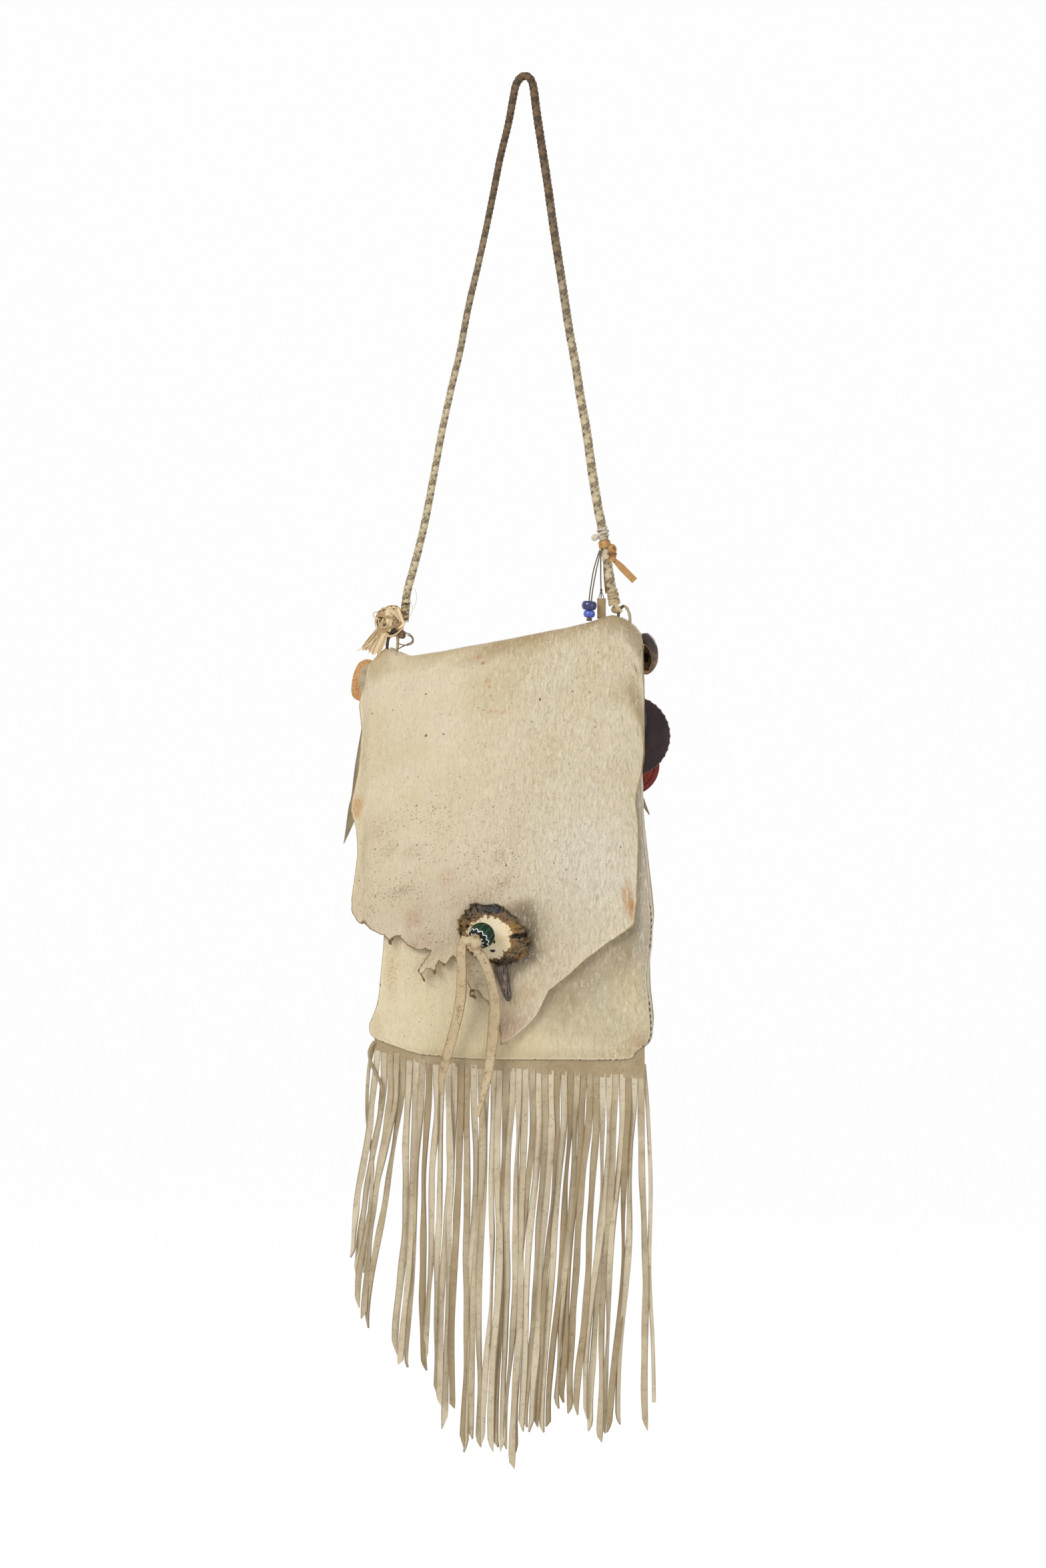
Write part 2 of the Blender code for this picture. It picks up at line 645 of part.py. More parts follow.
def build_strap(strap):
    node("braided_strap", tube("braided_strap", strap_points(), STRAP_DIAMETER, 2), BRAID, strap)
    clear = STRAP_DIAMETER / 2 + TOUCH
    whipping = sleeve("left_whipping", -1, LEFT_WHIPPING, clear, WHIPPING)
    node("left_whipping", whipping, DARK_THONG, strap)
    node("right_wrap", sleeve("right_wrap", 1, RIGHT_WRAP, clear, WHIPPING), BRAID, strap)


def build_straw(strap):
    knot = ball("straw_binding", Vector(STRAW_CENTRE) * MM, Vector(STRAW_RADII) * MM, 0.06, 5, 20, 11)
    straw = node("straw_binding", knot, STRAW, strap)
    tail = plate("straw_tail", STRAW_TAIL, STRAW_TAIL_BACK - STRAW_TAIL_DEPTH, STRAW_TAIL_DEPTH)
    combine(straw, helper("straw_tail", tail), "UNION")
    radius = STRAP_DIAMETER / 2 + WHIPPING + 2 * TOUCH
    hidden = (STRAW_CENTRE[2] + 2 * STRAW_RADII[2], STRAP_ROUTE[0][1] - 0.6)
    combine(straw, strap_room("straw_strap_room", -1, hidden, radius), "DIFFERENCE")
    room = DARK_KNOT_RADIUS + TOUCH
    knot_room = ball("dark_knot_room", Vector(DARK_KNOT_CENTRE) * MM, (room,) * 3)
    combine(straw, helper("dark_knot_room", knot_room), "DIFFERENCE")
    dark = ball("dark_knot", Vector(DARK_KNOT_CENTRE) * MM, (DARK_KNOT_RADIUS,) * 3, 0.05, 4, 12, 8)
    node("dark_knot", dark, DARK_THONG, strap)
    thread = tube("waxed_thread", even(millimetres(THREAD_ROUTE), 2 * MM),
                  THREAD_DIAMETER, 2)
    node("waxed_thread", thread, THREAD, strap)
    knot_bottom = (STRAW_CENTRE[2] - STRAW_RADII[2]) * MM
    node("left_tie_loop", tie_loop("left_tie_loop", LEFT_HOLE, knot_bottom - TOUCH), DARK_THONG, strap)
    strap_end = (STRAP_ROUTE[-1][1] - 0.7) * MM
    node("right_tie_loop", tie_loop("right_tie_loop", RIGHT_HOLE, strap_end - TOUCH), DARK_THONG, strap)


def build_ochre(strap):
    clear = STRAP_DIAMETER / 2 + TOUCH
    band = rings_along(strap_run(1, *OCHRE_BAND), clear + OCHRE_THICK, 16)
    ochre = node("ochre_tie", ring_stack("ochre_tie", band), OCHRE, strap)
    for name, (centre, radii) in (("ochre_knot", OCHRE_KNOT), ("ochre_coil", OCHRE_COIL)):
        lump = ball(name, Vector(centre) * MM, Vector(radii) * MM, 0.05, 3, 12, 7)
        combine(ochre, helper(name, lump), "UNION")
    for name, outline, y in (("ochre_tail", OCHRE_TAIL, OCHRE_TAIL_Y),
                             ("ochre_strand", OCHRE_STRAND, OCHRE_STRAND_Y)):
        combine(ochre, helper(name, plate(name, outline, y, OCHRE_THICK)), "UNION")
    along_strap = (STRING_WRAP[0], OCHRE_STRAND[3][1] - 2)
    combine(ochre, strap_room("ochre_strap_room", 1, along_strap, clear), "DIFFERENCE")

    wrap = sleeve("string_knot", 1, STRING_WRAP, clear, WHIPPING)
    string = node("string_knot", wrap, STRING, strap)
    lump = ball("string_ball", Vector(STRING_BALL[0]) * MM, Vector(STRING_BALL[1]) * MM, 0.06, 4, 12, 7)
    combine(string, helper("string_ball", lump), "UNION")


# What hangs from the string knot

def bead_profile(radius, height, hole):
    """Half-round side, flat ends with soft edges, and a bore."""
    soft = height / 2
    flat = radius - soft * 0.8
    side = [(flat + soft * 0.8 * math.sin(a), height / 2 - soft * math.cos(a))
            for a in (math.pi * k / 5 for k in range(1, 5))]
    return [(hole / 2, 0.0), (flat, 0.0)] + side + [(flat, height), (hole / 2, height)]


def build_bead_string(beads):
    route = [BEAD_HANG] + BEAD_CORD_ROUTE
    bottom = BEAD_TOP
    for name, (radius, height), look in (("dark_blue_bead", DARK_BEAD, COBALT),
                                         ("light_blue_bead", LIGHT_BEAD, SKY_BLUE)):
        bottom -= height
        profile = bead_profile(radius, height, STRING_HOLE)
        node(name, turned(name, profile, (BEAD_X, BEAD_Y, bottom), (0, 0, 1), 18, True), look, beads)
        bottom -= TOUCH
    radius, height = TUBE_BEAD
    bottom -= height
    profile = [(STRING_HOLE / 2, 0), (radius, 0), (radius, height), (STRING_HOLE / 2, height)]
    tube_bead = turned("tube_bead", profile, (BEAD_X, BEAD_Y, bottom), (0, 0, 1), 12, True)
    node("tube_bead", tube_bead, PURPLE_GLASS, beads)
    route = [p for p in route if p[2] * MM > bottom] + [(BEAD_X / MM, BEAD_Y / MM, bottom / MM)]
    points = even(millimetres(route), 3 * MM)
    node("bead_cord", tube("bead_cord", points, BEAD_CORD_DIAMETER, 2), STRING, beads)


def build_strip(strip):
    points = even(millimetres(STRIP_CORD_ROUTE), 3 * MM)
    node("strip_cord", tube("strip_cord", points, BEAD_CORD_DIAMETER, 2), STRING, strip)
    node("tan_strip", plate("tan_strip", STRIP_OUTLINE, STRIP_Y, STRIP_HIDE), TAN_HIDE, strip)


# The bag

def build_front(bag):
    mesh = hide_sheet("front_panel", millimetres(PANEL_EDGE), lambda x, z: (x, front_face(x, z), z),
                      lambda x, z: (x, front_inside(x, z), z), SHEET_STEP)
    node("front_panel", mesh, BUCKSKIN, bag)


def build_back(bag):
    """The back panel, with the crown that turns over the mouth to where the lid begins."""
    arc = (math.pi / 2 + LID_START) * FOLD_RADIUS - LID_SPLIT
    left, right = CROWN_LEFT, CROWN_RIGHT
    outline = [(left - CORNER_SLIT, fold_axis(left - CORNER_SLIT))]
    outline += millimetres(BACK_LEFT_CORNER) + millimetres(PANEL_EDGE[1 : BOTTOM_LAST])
    outline += millimetres(BACK_RIGHT_EDGE)
    outline += [(right + CORNER_SLIT, fold_axis(right + CORNER_SLIT)), (right, fold_axis(right))]
    turns = 9
    outline += [(right, fold_axis(right) + arc * k / turns) for k in range(1, turns + 1)]
    outline += [(left, fold_axis(left) + arc * k / turns) for k in range(turns, -1, -1)]
    across = [left + (right - left) * k / 9 for k in range(1, 9)]
    rows = [(x, fold_axis(x) + arc * k / turns) for x in across for k in range(0, turns)]

    def face(x, z, depth=0.0):
        rise = z - fold_axis(x)
        if rise > 0 and left - CORNER_SLIT / 2 < x < right + CORNER_SLIT / 2:
            turn, radius = rise / FOLD_RADIUS, FOLD_RADIUS - depth
            return (x, radius * math.cos(turn), fold_axis(x) + radius * math.sin(turn))
        return (x, back_face(x, z) - depth, z)

    mesh = hide_sheet("back_panel", outline, face, lambda x, z: face(x, z, HIDE), SHEET_STEP, rows)
    node("back_panel", mesh, BUCKSKIN, bag)


def inset(points, distance):
    """The line moved to its left by a distance."""
    found = []
    for i, (x, z) in enumerate(points):
        x0, z0 = points[max(0, i - 1)]
        x1, z1 = points[min(len(points) - 1, i + 1)]
        long = math.hypot(x1 - x0, z1 - z0)
        found.append((x - (z1 - z0) / long * distance, z + (x1 - x0) / long * distance))
    return found


def build_gusset(bag):
    """The strip between the panels, with a holed tab at each top end."""
    seam = millimetres(PANEL_EDGE)
    middle = inset(seam, GUSSET_HIDE / 2 + SEAM_EDGE)
    stations = []
    for i, (x, z) in enumerate(middle):
        front = front_inside(x, z) + TOUCH
        if BOTTOM_FIRST - 2 <= i <= BOTTOM_LAST + 1:
            front += FRINGE_HIDE + TOUCH
        stations.append((x, z, front, back_inside(x, z) - TOUCH))

    def tab(hole, foot):
        x, z = foot[0] * MM, foot[1] * MM
        steps = [(x, z, -TAB_HALF, TAB_HALF), (hole[0], hole[1] - TAB_HALF, -TAB_HALF, TAB_HALF)]
        for turn in (0.0, 0.35, 0.7, 1.05):
            half = TAB_HALF * math.cos(turn)
            steps.append((hole[0], hole[1] + TAB_HALF * math.sin(turn), -half, half))
        return steps

    stations = tab(LEFT_HOLE, LEFT_TAB_FOOT)[::-1] + stations + tab(RIGHT_HOLE, RIGHT_TAB_FOOT)
    flat = [(x, z) for x, z, _, _ in stations]
    outer, inner = inset(flat, -GUSSET_HIDE / 2), inset(flat, GUSSET_HIDE / 2)
    rings = [
        [(ox, front, oz), (ox, back, oz), (ix, back, iz), (ix, front, iz)]
        for (ox, oz), (ix, iz), (_, _, front, back) in zip(outer, inner, stations)
    ]
    gusset = node("gusset", ring_stack("gusset", rings), GREY_SUEDE, bag)
    turn = Vector((RIGHT_HOLE[0] - LEFT_HOLE[0], 0, RIGHT_HOLE[1] - LEFT_HOLE[1])).normalized()
    for name, hole in (("left_hole", LEFT_HOLE), ("right_hole", RIGHT_HOLE)):
        start = Vector((hole[0], 0, hole[1])) - turn * TIE_DRILL / 2
        drill = turned(name, [(TIE_HOLE / 2, 0), (TIE_HOLE / 2, TIE_DRILL)], start, turn, 20)
        combine(gusset, helper(name, drill), "DIFFERENCE")


def build_fringe(bag):
    """One strip of suede in the bottom seam, cut into strands."""
    bottom_line = PANEL_EDGE[BOTTOM_FIRST : BOTTOM_LAST + 1]
    pitch = (FRINGE_RIGHT - FRINGE_LEFT) / STRANDS
    points, faces = [], []

    def pair(x, z, y):
        points.append((x, y, z))
        points.append((x, y + FRINGE_HIDE, z))
        return len(points) - 2

    def seam_y(x):
        return front_inside(x, height_at(bottom_line, x)) + TOUCH

    columns = []
    for i in range(STRANDS):
        left = FRINGE_LEFT + pitch * i + (SLIT / 2 if i else 0)
        right = FRINGE_LEFT + pitch * (i + 1) - (SLIT / 2 if i < STRANDS - 1 else 0)
        for x in (left, right):
            top = pair(x, height_at(bottom_line, x) + FRINGE_LAP, seam_y(x))
            foot = pair(x, height_at(SLIT_TOPS, x), seam_y(x))
            columns.append((top, foot))
    for (top_a, foot_a), (top_b, foot_b) in zip(columns, columns[1:]):
        faces.append((top_a, top_b, foot_b, foot_a))
        faces.append((top_a + 1, foot_a + 1, foot_b + 1, top_b + 1))
        faces.append((top_a, top_a + 1, top_b + 1, top_b))
    for (_, foot_a), (_, foot_b) in zip(columns[1::2], columns[2::2]):
        faces.append((foot_a, foot_b, foot_b + 1, foot_a + 1))
    for top, foot in (columns[0], columns[-1]):
        faces.append((top, foot, foot + 1, top + 1))

    for i in range(STRANDS):
        share = (i + 0.5) / STRANDS
        start_x = FRINGE_LEFT + pitch * (i + 0.5)
        tip_x = TIP_LEFT + (TIP_RIGHT - TIP_LEFT) * share
        start_z = height_at(SLIT_TOPS, start_x)
        tip_z = height_at(STRAND_TIPS, tip_x) + TIP_RAGGED * math.sin(2.4 * i)
        above = (columns[2 * i][1], columns[2 * i + 1][1])
        wide = pitch - SLIT
        for k in range(1, STRAND_SECTIONS + 1):
            t = k / STRAND_SECTIONS
            x = start_x + (tip_x - start_x) * (t * (1.6 - 0.6 * t))
            y = seam_y(start_x) + STRAND_SWAY * math.sin(1.9 * i) * t
            half = (wide + (TIP_WIDTH - wide) * t) / 2
            slant = (0.004 if i % 2 else -0.004) if k == STRAND_SECTIONS else 0.0
            z = start_z + (tip_z - start_z) * t
            below = (pair(x - half, z + slant, y), pair(x + half, z, y))
            (a, b), (c, d) = above, below
            faces += [(a, b, d, c), (a + 1, c + 1, d + 1, b + 1), (a, c, c + 1, a + 1),
                      (b, b + 1, d + 1, d)]
            above = below
        faces.append((above[0], above[1], above[1] + 1, above[0] + 1))
    node("fringe", mesh_from("fringe", points, faces), FRINGE_SUEDE, bag)


# The lid and what closes it

def build_lid(lid):
    outline = [(x * MM, lid_line(x * MM) if z is None else z * MM) for x, z in LID_EDGE]
    left, right = outline[0][0], outline[-1][0]
    mid_rise = FOLD_RADIUS * math.cos((LID_START + math.pi / 2) / 2)
    columns = [left + (right - left) * k / 13 for k in range(1, 13)]
    rows = [(x, fold_axis(x) + rise) for x in columns for rise in (mid_rise, 0.0)]

    def face(x, z, depth=0.0):
        rise, y = z - fold_axis(x), lid_face(x, z)
        if rise <= 0:
            return (x, y + depth, z)
        turn, radius = math.atan2(-y, rise), FOLD_RADIUS - depth
        start = TOUCH if z > lid_line(x) - 0.01 * MM else 0.0
        return (x, -radius * math.sin(turn) - start * math.cos(LID_START),
                fold_axis(x) + radius * math.cos(turn) - start * math.sin(LID_START))

    mesh = hide_sheet("lid", outline, face, lambda x, z: face(x, z, HIDE), LID_STEP, rows)
    node("lid", mesh, BUCKSKIN, lid)


def foremost(centre, radii):
    """The furthest forward that the lid comes under a round piece."""
    (x, z), (wide, tall) = centre, radii
    return min(
        lid_face(x + wide * u / 4, z + tall * v / 4)
        for u in range(-4, 5) for v in range(-4, 5) if u * u + v * v <= 16
    )


def build_closure(lid):
    x, z = ROSETTE_CENTRE
    seat = foremost(ROSETTE_CENTRE, ROSETTE_RADII) - TOUCH
    rings = []
    for scale, depth in ((0.93, 0.0), (1.0, 0.25), (0.97, 0.7), (0.86, 1.0)):
        ring = []
        for k in range(ROSETTE_FACES):
            turn = 2 * math.pi * k / ROSETTE_FACES
            rough = 1 + 0.022 * math.sin(9 * turn) + 0.018 * math.sin(14 * turn + 1.3)
            reach = scale * rough / 1.04
            ring.append((x + ROSETTE_RADII[0] * reach * math.cos(turn), seat - ROSETTE_THICK * depth,
                         z + ROSETTE_RADII[1] * reach * math.sin(turn)))
        rings.append(ring)
    node("antler_rosette", ring_stack("antler_rosette", rings), ANTLER, lid)

    lean = CHEVRON_LEAN.normalized()
    half = CHEVRON_LENGTH / 2
    reach = math.sqrt(CHEVRON_RADIUS**2 * (1 - lean.y**2) + half**2 * lean.y**2)
    centre = Vector((CHEVRON_CENTRE[0], seat - ROSETTE_THICK - TOUCH - reach, CHEVRON_CENTRE[1]))
    side = [(CHEVRON_RADIUS * math.cos(a) ** 0.8, half * math.sin(a))
            for a in (math.radians(d) for d in (-58, -38, -19, 0, 19, 38, 58))]
    end = half * 0.96
    profile = [(CHEVRON_HOLE / 2, -end), (CHEVRON_RADIUS * 0.42, -end)] + side
    profile += [(CHEVRON_RADIUS * 0.42, end), (CHEVRON_HOLE / 2, end)]
    node("chevron_bead", turned("chevron_bead", profile, centre, lean, 24, True), GREEN_GLASS, lid)

    knot = centre + lean * (end + TOUCH + KNOT_RADII[2])
    shape = ball("closure_knot", (0, 0, 0), KNOT_RADII, 0.08, 3, 14, 9)
    shape.transform(Matrix.Translation(knot) @ lean.to_track_quat("Z", "Y").to_matrix().to_4x4())
    node("closure_knot", shape, BUCKSKIN, lid)
    return knot


def build_tails(lid, knot):
    """The closure thong's two ends, hanging from its knot."""
    for name, side, route in (("left_thong_tail", -1, LEFT_TAIL_ROUTE),
                              ("right_thong_tail", 1, RIGHT_TAIL_ROUTE)):
        beside = Vector((TAIL_WIDTH * 0.42, TAIL_HIDE * 0.7, 0)) * side
        start = knot + beside - Vector((0, 0, KNOT_RADII[1] + TAIL_HIDE * 0.7))
        points = even([start] + millimetres(route), TAIL_WIDTH)
        mesh = flat_thong(name, points, TAIL_WIDTH, TAIL_HIDE, Vector((1, 0, 0)))
        node(name, mesh, BUCKSKIN, lid)


def build_horn(lid):
    top_x, top_z = HORN_TOP
    tip_x, tip_z = HORN_TIP
    seat = foremost(HORN_TOP, (HORN_RADIUS, HORN_RADIUS)) - TOUCH - HORN_RADIUS
    top, tip = Vector((top_x, seat, top_z)), Vector((tip_x, seat + 1 * MM, tip_z))
    long = (tip - top).length
    profile = [(HORN_RADIUS * 0.7, -1.2 * MM), (HORN_RADIUS, 0.0)]
    profile += [(HORN_RADIUS * (1 - t) ** 0.75, long * t) for t in (0.2, 0.4, 0.6, 0.8, 0.93)]
    profile += [(HORN_RADIUS * 0.05, long)]
    node("horn_tip", turned("horn_tip", profile, top, tip - top, 20), HORN, lid)


# Charms behind the corners

def disc(name, centre, y, radius, thick, steps=32, teeth=0, tooth=0.0, groove=None):
    """A round plate facing -Y, with a pinked edge or a tooled groove."""
    steps = 2 * teeth or steps
    depths = [(1.0, 0.0), (1.0, thick)]
    if groove:
        inner, outer, deep = groove
        depths = [(inner / radius, 0.0), (inner / radius, deep), (outer / radius, deep),
                  (outer / radius, 0.0)] + depths
    rings = []
    for scale, depth in depths:
        ring = []
        for k in range(steps):
            turn = 2 * math.pi * k / steps
            reach = scale * (radius - (tooth if teeth and k % 2 else 0.0))
            ring.append((centre[0] + reach * math.cos(turn), y + depth, centre[1] + reach * math.sin(turn)))
        rings.append(ring)
    return ring_stack(name, rings)


def build_right_charms(charms):
    wide, thick = CHARM_THONG
    back = max(back_face(BUTTON_CENTRE[0] - BUTTON_RADIUS, BUTTON_CENTRE[1] - BUTTON_RADIUS * k / 3)
               for k in range(-3, 4)) + CHARM_GAP
    profile = [(BUTTON_RADIUS * math.sin(a), BUTTON_DOME * (1 - math.cos(a)))
               for a in (math.pi / 2 * k / 6 for k in range(1, 7))]
    profile.append((BUTTON_RADIUS * 0.96, BUTTON_DOME * 1.1))
    place = (BUTTON_CENTRE[0], back, BUTTON_CENTRE[1])
    node("domed_button", turned("domed_button", profile, place, (0, 1, 0), 26), TEAL_ENAMEL, charms)
    y = back + BUTTON_DOME * 1.1 + TOUCH
    purple = disc("purple_disc", PURPLE_CENTRE, y, PURPLE_RADIUS, PURPLE_THICK,
                  teeth=PINKED_TEETH, tooth=PINKED_DEPTH)
    node("purple_disc", purple, PURPLE_HIDE, charms)
    y += PURPLE_THICK + TOUCH
    red = disc("red_disc", RED_CENTRE, y, RED_RADIUS, RED_THICK, groove=RED_GROOVE)
    node("red_disc", red, RED_HIDE, charms)
    y += RED_THICK + TOUCH + thick / 2

    top_x, top_z = (v * MM for v in RIGHT_CHARM_TOP)
    start = back_face(top_x, top_z) + TOUCH + thick / 2
    route = [(top_x, start, top_z)]
    for i, (x, z) in enumerate(RIGHT_CHARM_ROUTE):
        depth = start + (y - start) * min(1.0, (i + 1) / 2)
        route.append((x * MM, depth, z * MM))
    line = even(route, CHARM_THONG_STEP)
    mesh = flat_thong("right_charm_thong", line, wide, thick, Vector((1, 0, 0)), 0.2, 0.85)
    node("right_charm_thong", mesh, GREY_TAN, charms)

    hull = ball("nut_hull", Vector(HULL_CENTRE) * MM, Vector(HULL_RADII) * MM, 0.03, 5, 18, 10)
    hull = node("nut_hull", hull, NUTSHELL, charms)
    inside = Vector([r - HULL_WALL for r in HULL_RADII])
    shift = Vector((-3.0, -4.5, -2.5))
    hollow = ball("hull_hollow", (Vector(HULL_CENTRE) + shift) * MM, inside * 0.86 * MM)
    combine(hull, helper("hull_hollow", hollow), "DIFFERENCE")


def build_left_charms(charms):
    wide, thick = CHARM_THONG
    x, z = SLICE_CENTRE
    front = max(back_face(x + SLICE_RADII[0], z + SLICE_RADII[1] * k / 3) for k in range(-3, 4))
    front += CHARM_GAP
    rings = []
    for scale, depth in ((0.95, 0.0), (1.0, 0.12), (1.0, 0.88), (0.95, 1.0)):
        ring = []
        for k in range(SLICE_FACES):
            turn = 2 * math.pi * k / SLICE_FACES
            square = 1 + 0.05 * math.cos(4 * turn)
            ring.append((x + SLICE_RADII[0] * scale * square / 1.05 * math.cos(turn),
                         front + SLICE_THICK * depth,
                         z + SLICE_RADII[1] * scale * square / 1.05 * math.sin(turn)))
        rings.append(ring)
    node("wood_slice", ring_stack("wood_slice", rings), WOOD, charms)

    behind = front + SLICE_THICK + TOUCH + thick / 2
    top_x, top_z = (v * MM for v in LEFT_CHARM_TOP)
    start = back_face(top_x, top_z) + TOUCH + thick
    route = [(top_x, start, top_z)] + [(px * MM, behind, pz * MM) for px, pz in LEFT_CHARM_ROUTE]
    line = even(route, CHARM_THONG_STEP)
    mesh = flat_thong("left_charm_thong", line, wide, thick, Vector((1, 0, 0)), 0.25, 0.7)
    node("left_charm_thong", mesh, GREY_TAN, charms)


def main():
    clear_scene()
    strap = pivot("hanging_point", (0.0, 0.0, 0.0))
    bag = pivot("bag_swing", (LEFT_HOLE[0], 0.0, LEFT_HOLE[1]), strap)
    hinge_y = -FOLD_RADIUS * math.sin(LID_START)
    lid = pivot("lid_hinge", (0.0, hinge_y, lid_line(0.0)), bag)
    beads = pivot("bead_swing", Vector(BEAD_HANG) * MM, strap)
    strip = pivot("strip_swing", Vector(STRIP_CORD_ROUTE[0]) * MM, strap)
    right_x, right_z = (v * MM for v in RIGHT_CHARM_TOP)
    right = pivot("right_charm_swing", (right_x, back_face(right_x, right_z) + TOUCH, right_z), bag)
    left_x, left_z = (v * MM for v in LEFT_CHARM_TOP)
    left = pivot("left_charm_swing", (left_x, back_face(left_x, left_z) + TOUCH, left_z), bag)

    build_strap(strap)
    build_straw(strap)
    build_ochre(strap)
    build_bead_string(beads)
    build_strip(strip)
    build_front(bag)
    build_back(bag)
    build_gusset(bag)
    build_fringe(bag)
    build_lid(lid)
    knot = build_closure(lid)
    build_tails(lid, knot)
    build_horn(lid)
    build_right_charms(right)
    build_left_charms(left)


main()
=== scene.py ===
"""Looks of a possibles bag: a soft hide bag on a braided strap, with a fringed seam and its charms.

Metres, +Z up, the front towards -Y. The origin is the point that the strap hangs from. Every piece is
made where the frame has it at rest, and all but the hide ride on the frame's bodies. Sizes that shape a
piece are in millimetres where their name or their text says so, and are turned into metres where they are
used.
"""

import logging
import math
import random
from collections.abc import Callable, Iterable, Sequence
from dataclasses import dataclass, field
from enum import Enum

import bmesh
import bpy
import numpy as np
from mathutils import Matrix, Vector, noise
from mathutils.geometry import delaunay_2d_cdt


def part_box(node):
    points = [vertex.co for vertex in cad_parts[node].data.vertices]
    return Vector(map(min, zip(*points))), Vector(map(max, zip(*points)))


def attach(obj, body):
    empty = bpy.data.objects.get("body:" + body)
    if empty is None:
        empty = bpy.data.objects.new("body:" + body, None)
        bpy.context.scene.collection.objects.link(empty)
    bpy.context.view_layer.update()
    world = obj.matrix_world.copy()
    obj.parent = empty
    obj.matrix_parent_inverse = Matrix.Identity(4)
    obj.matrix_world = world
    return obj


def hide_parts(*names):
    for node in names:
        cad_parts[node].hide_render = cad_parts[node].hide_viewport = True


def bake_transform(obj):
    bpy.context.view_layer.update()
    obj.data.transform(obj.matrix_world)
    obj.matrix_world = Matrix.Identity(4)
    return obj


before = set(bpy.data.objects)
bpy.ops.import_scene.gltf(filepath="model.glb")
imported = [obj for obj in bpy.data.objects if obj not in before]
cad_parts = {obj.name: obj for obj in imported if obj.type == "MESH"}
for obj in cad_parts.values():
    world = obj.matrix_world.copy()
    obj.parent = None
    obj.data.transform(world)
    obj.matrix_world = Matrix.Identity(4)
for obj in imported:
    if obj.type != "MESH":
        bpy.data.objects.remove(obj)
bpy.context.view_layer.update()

MM = 0.001
SEED = 1841
PLACE_SCALE = 900
POINTS_A_SPAN = 12
CHARM_THONG_HALF = 0.8
RIGHT = Vector((1, 0, 0))
Point = tuple[float, float]
Place = tuple[float, float, float]
Colour = tuple[float, float, float, float]
Material = bpy.types.Material

logging.basicConfig(level=logging.INFO, format="%(message)s")
log = logging.getLogger("bag")


class Body(str, Enum):
    """The frame's bodies that pieces ride on."""

    STRAP = "strap"
    BEADS = "bead_string"
    STRIP = "strip"
    BAG = "bag"
    LID = "lid"
    RIGHT_CHARMS = "right_charms"
    LEFT_CHARMS = "left_charms"


def shade(red: int, green: int, blue: int) -> Colour:
    """Turns a colour as seen, 0 to 255 a channel, into the linear colour that a shader takes.

    Args:
        red: The red channel.
        green: The green channel.
        blue: The blue channel.

    Returns:
        The linear colour with full opacity.
    """
    seen = (value / 255 for value in (red, green, blue))
    linear = [v / 12.92 if v <= 0.04045 else ((v + 0.055) / 1.055) ** 2.4 for v in seen]
    return (*linear, 1.0)


def ease(low: float, high: float, value: float) -> float:
    """Goes smoothly from 0 at low to 1 at high.

    Args:
        low: Where it begins to rise.
        high: Where it is full.
        value: The place to read.

    Returns:
        A share from 0 to 1.
    """
    t = min(1.0, max(0.0, (value - low) / (high - low)))
    return t * t * (3 - 2 * t)


def read_line(line: Sequence[Point], x: float) -> float:
    """Reads a line of (x, z) points at x.

    Args:
        line: The points, from left to right.
        x: Where to read it, in the line's own units.

    Returns:
        The height there, level past the line's ends.
    """
    return float(np.interp(x, [p[0] for p in line], [p[1] for p in line]))


def smooth_points(route: Sequence[Sequence[float]]) -> list[Vector]:
    """Follows a smooth curve through a route.

    Args:
        route: The points that the curve goes through.

    Returns:
        Points along the curve.
    """
    places = [Vector(p) for p in route]
    places = [2 * places[0] - places[1]] + places + [2 * places[-1] - places[-2]]
    found = []
    for i in range(1, len(places) - 2):
        a, b, c, d = places[i - 1 : i + 3]
        for k in range(POINTS_A_SPAN):
            t = k / POINTS_A_SPAN
            found.append(
                0.5 * (2 * b + (c - a) * t + (2 * a - 5 * b + 4 * c - d) * t * t
                       + (3 * b - a - 3 * c + d) * t**3)
            )
    found.append(places[-2])
    return found


def line_length(points: Sequence[Vector]) -> float:
    """Adds up the length of a line of points."""
    return sum((b - a).length for a, b in zip(points, points[1:]))


def even(route: Sequence[Sequence[float]], step: float) -> list[Vector]:
    """Follows a smooth curve through a route in equal steps.

    Args:
        route: The points that the curve goes through, in metres.
        step: About how far apart the points lie.

    Returns:
        Points at equal distances, ends included.
    """
    fine = smooth_points(route)
    total = line_length(fine)
    count = max(2, round(total / step))
    reached = np.cumsum([0.0] + [(b - a).length for a, b in zip(fine, fine[1:])])
    wanted = np.linspace(0, total, count + 1)
    axes = [np.interp(wanted, reached, [p[i] for p in fine]) for i in range(3)]
    return [Vector(p) for p in zip(*axes)]


def metres(route: Iterable[Sequence[float]]) -> list[tuple[float, ...]]:
    """Turns points in millimetres into metres."""
    return [tuple(value * MM for value in point) for point in route]


def lump(x: float, y: float, z: float) -> float:
    """Reads a soft noise at a place, about 0 and to either side of it."""
    return noise.noise(Vector((x, y, z)))


def ring_lump(angle: float, reach: float, along: float) -> float:
    """Reads the noise on a ring, so that it closes without a step."""
    return lump(math.cos(angle) * reach, math.sin(angle) * reach, along)


def angles(count: int, more: int = 0) -> list[float]:
    """Divides a full turn into equal steps and adds some more past it."""
    return [math.tau * k / count for k in range(count + more)]


def between(side: Vector, front: Vector, angle: float) -> Vector:
    """Gives the direction at an angle from a side towards a front."""
    return side * math.cos(angle) + front * math.sin(angle)


def on_skin(out: Vector, radii: Sequence[float], grow: float = 1.0) -> Vector:
    """Stretches a direction to an ellipsoid's skin."""
    return Vector([out[n] * radii[n] * grow for n in range(3)])


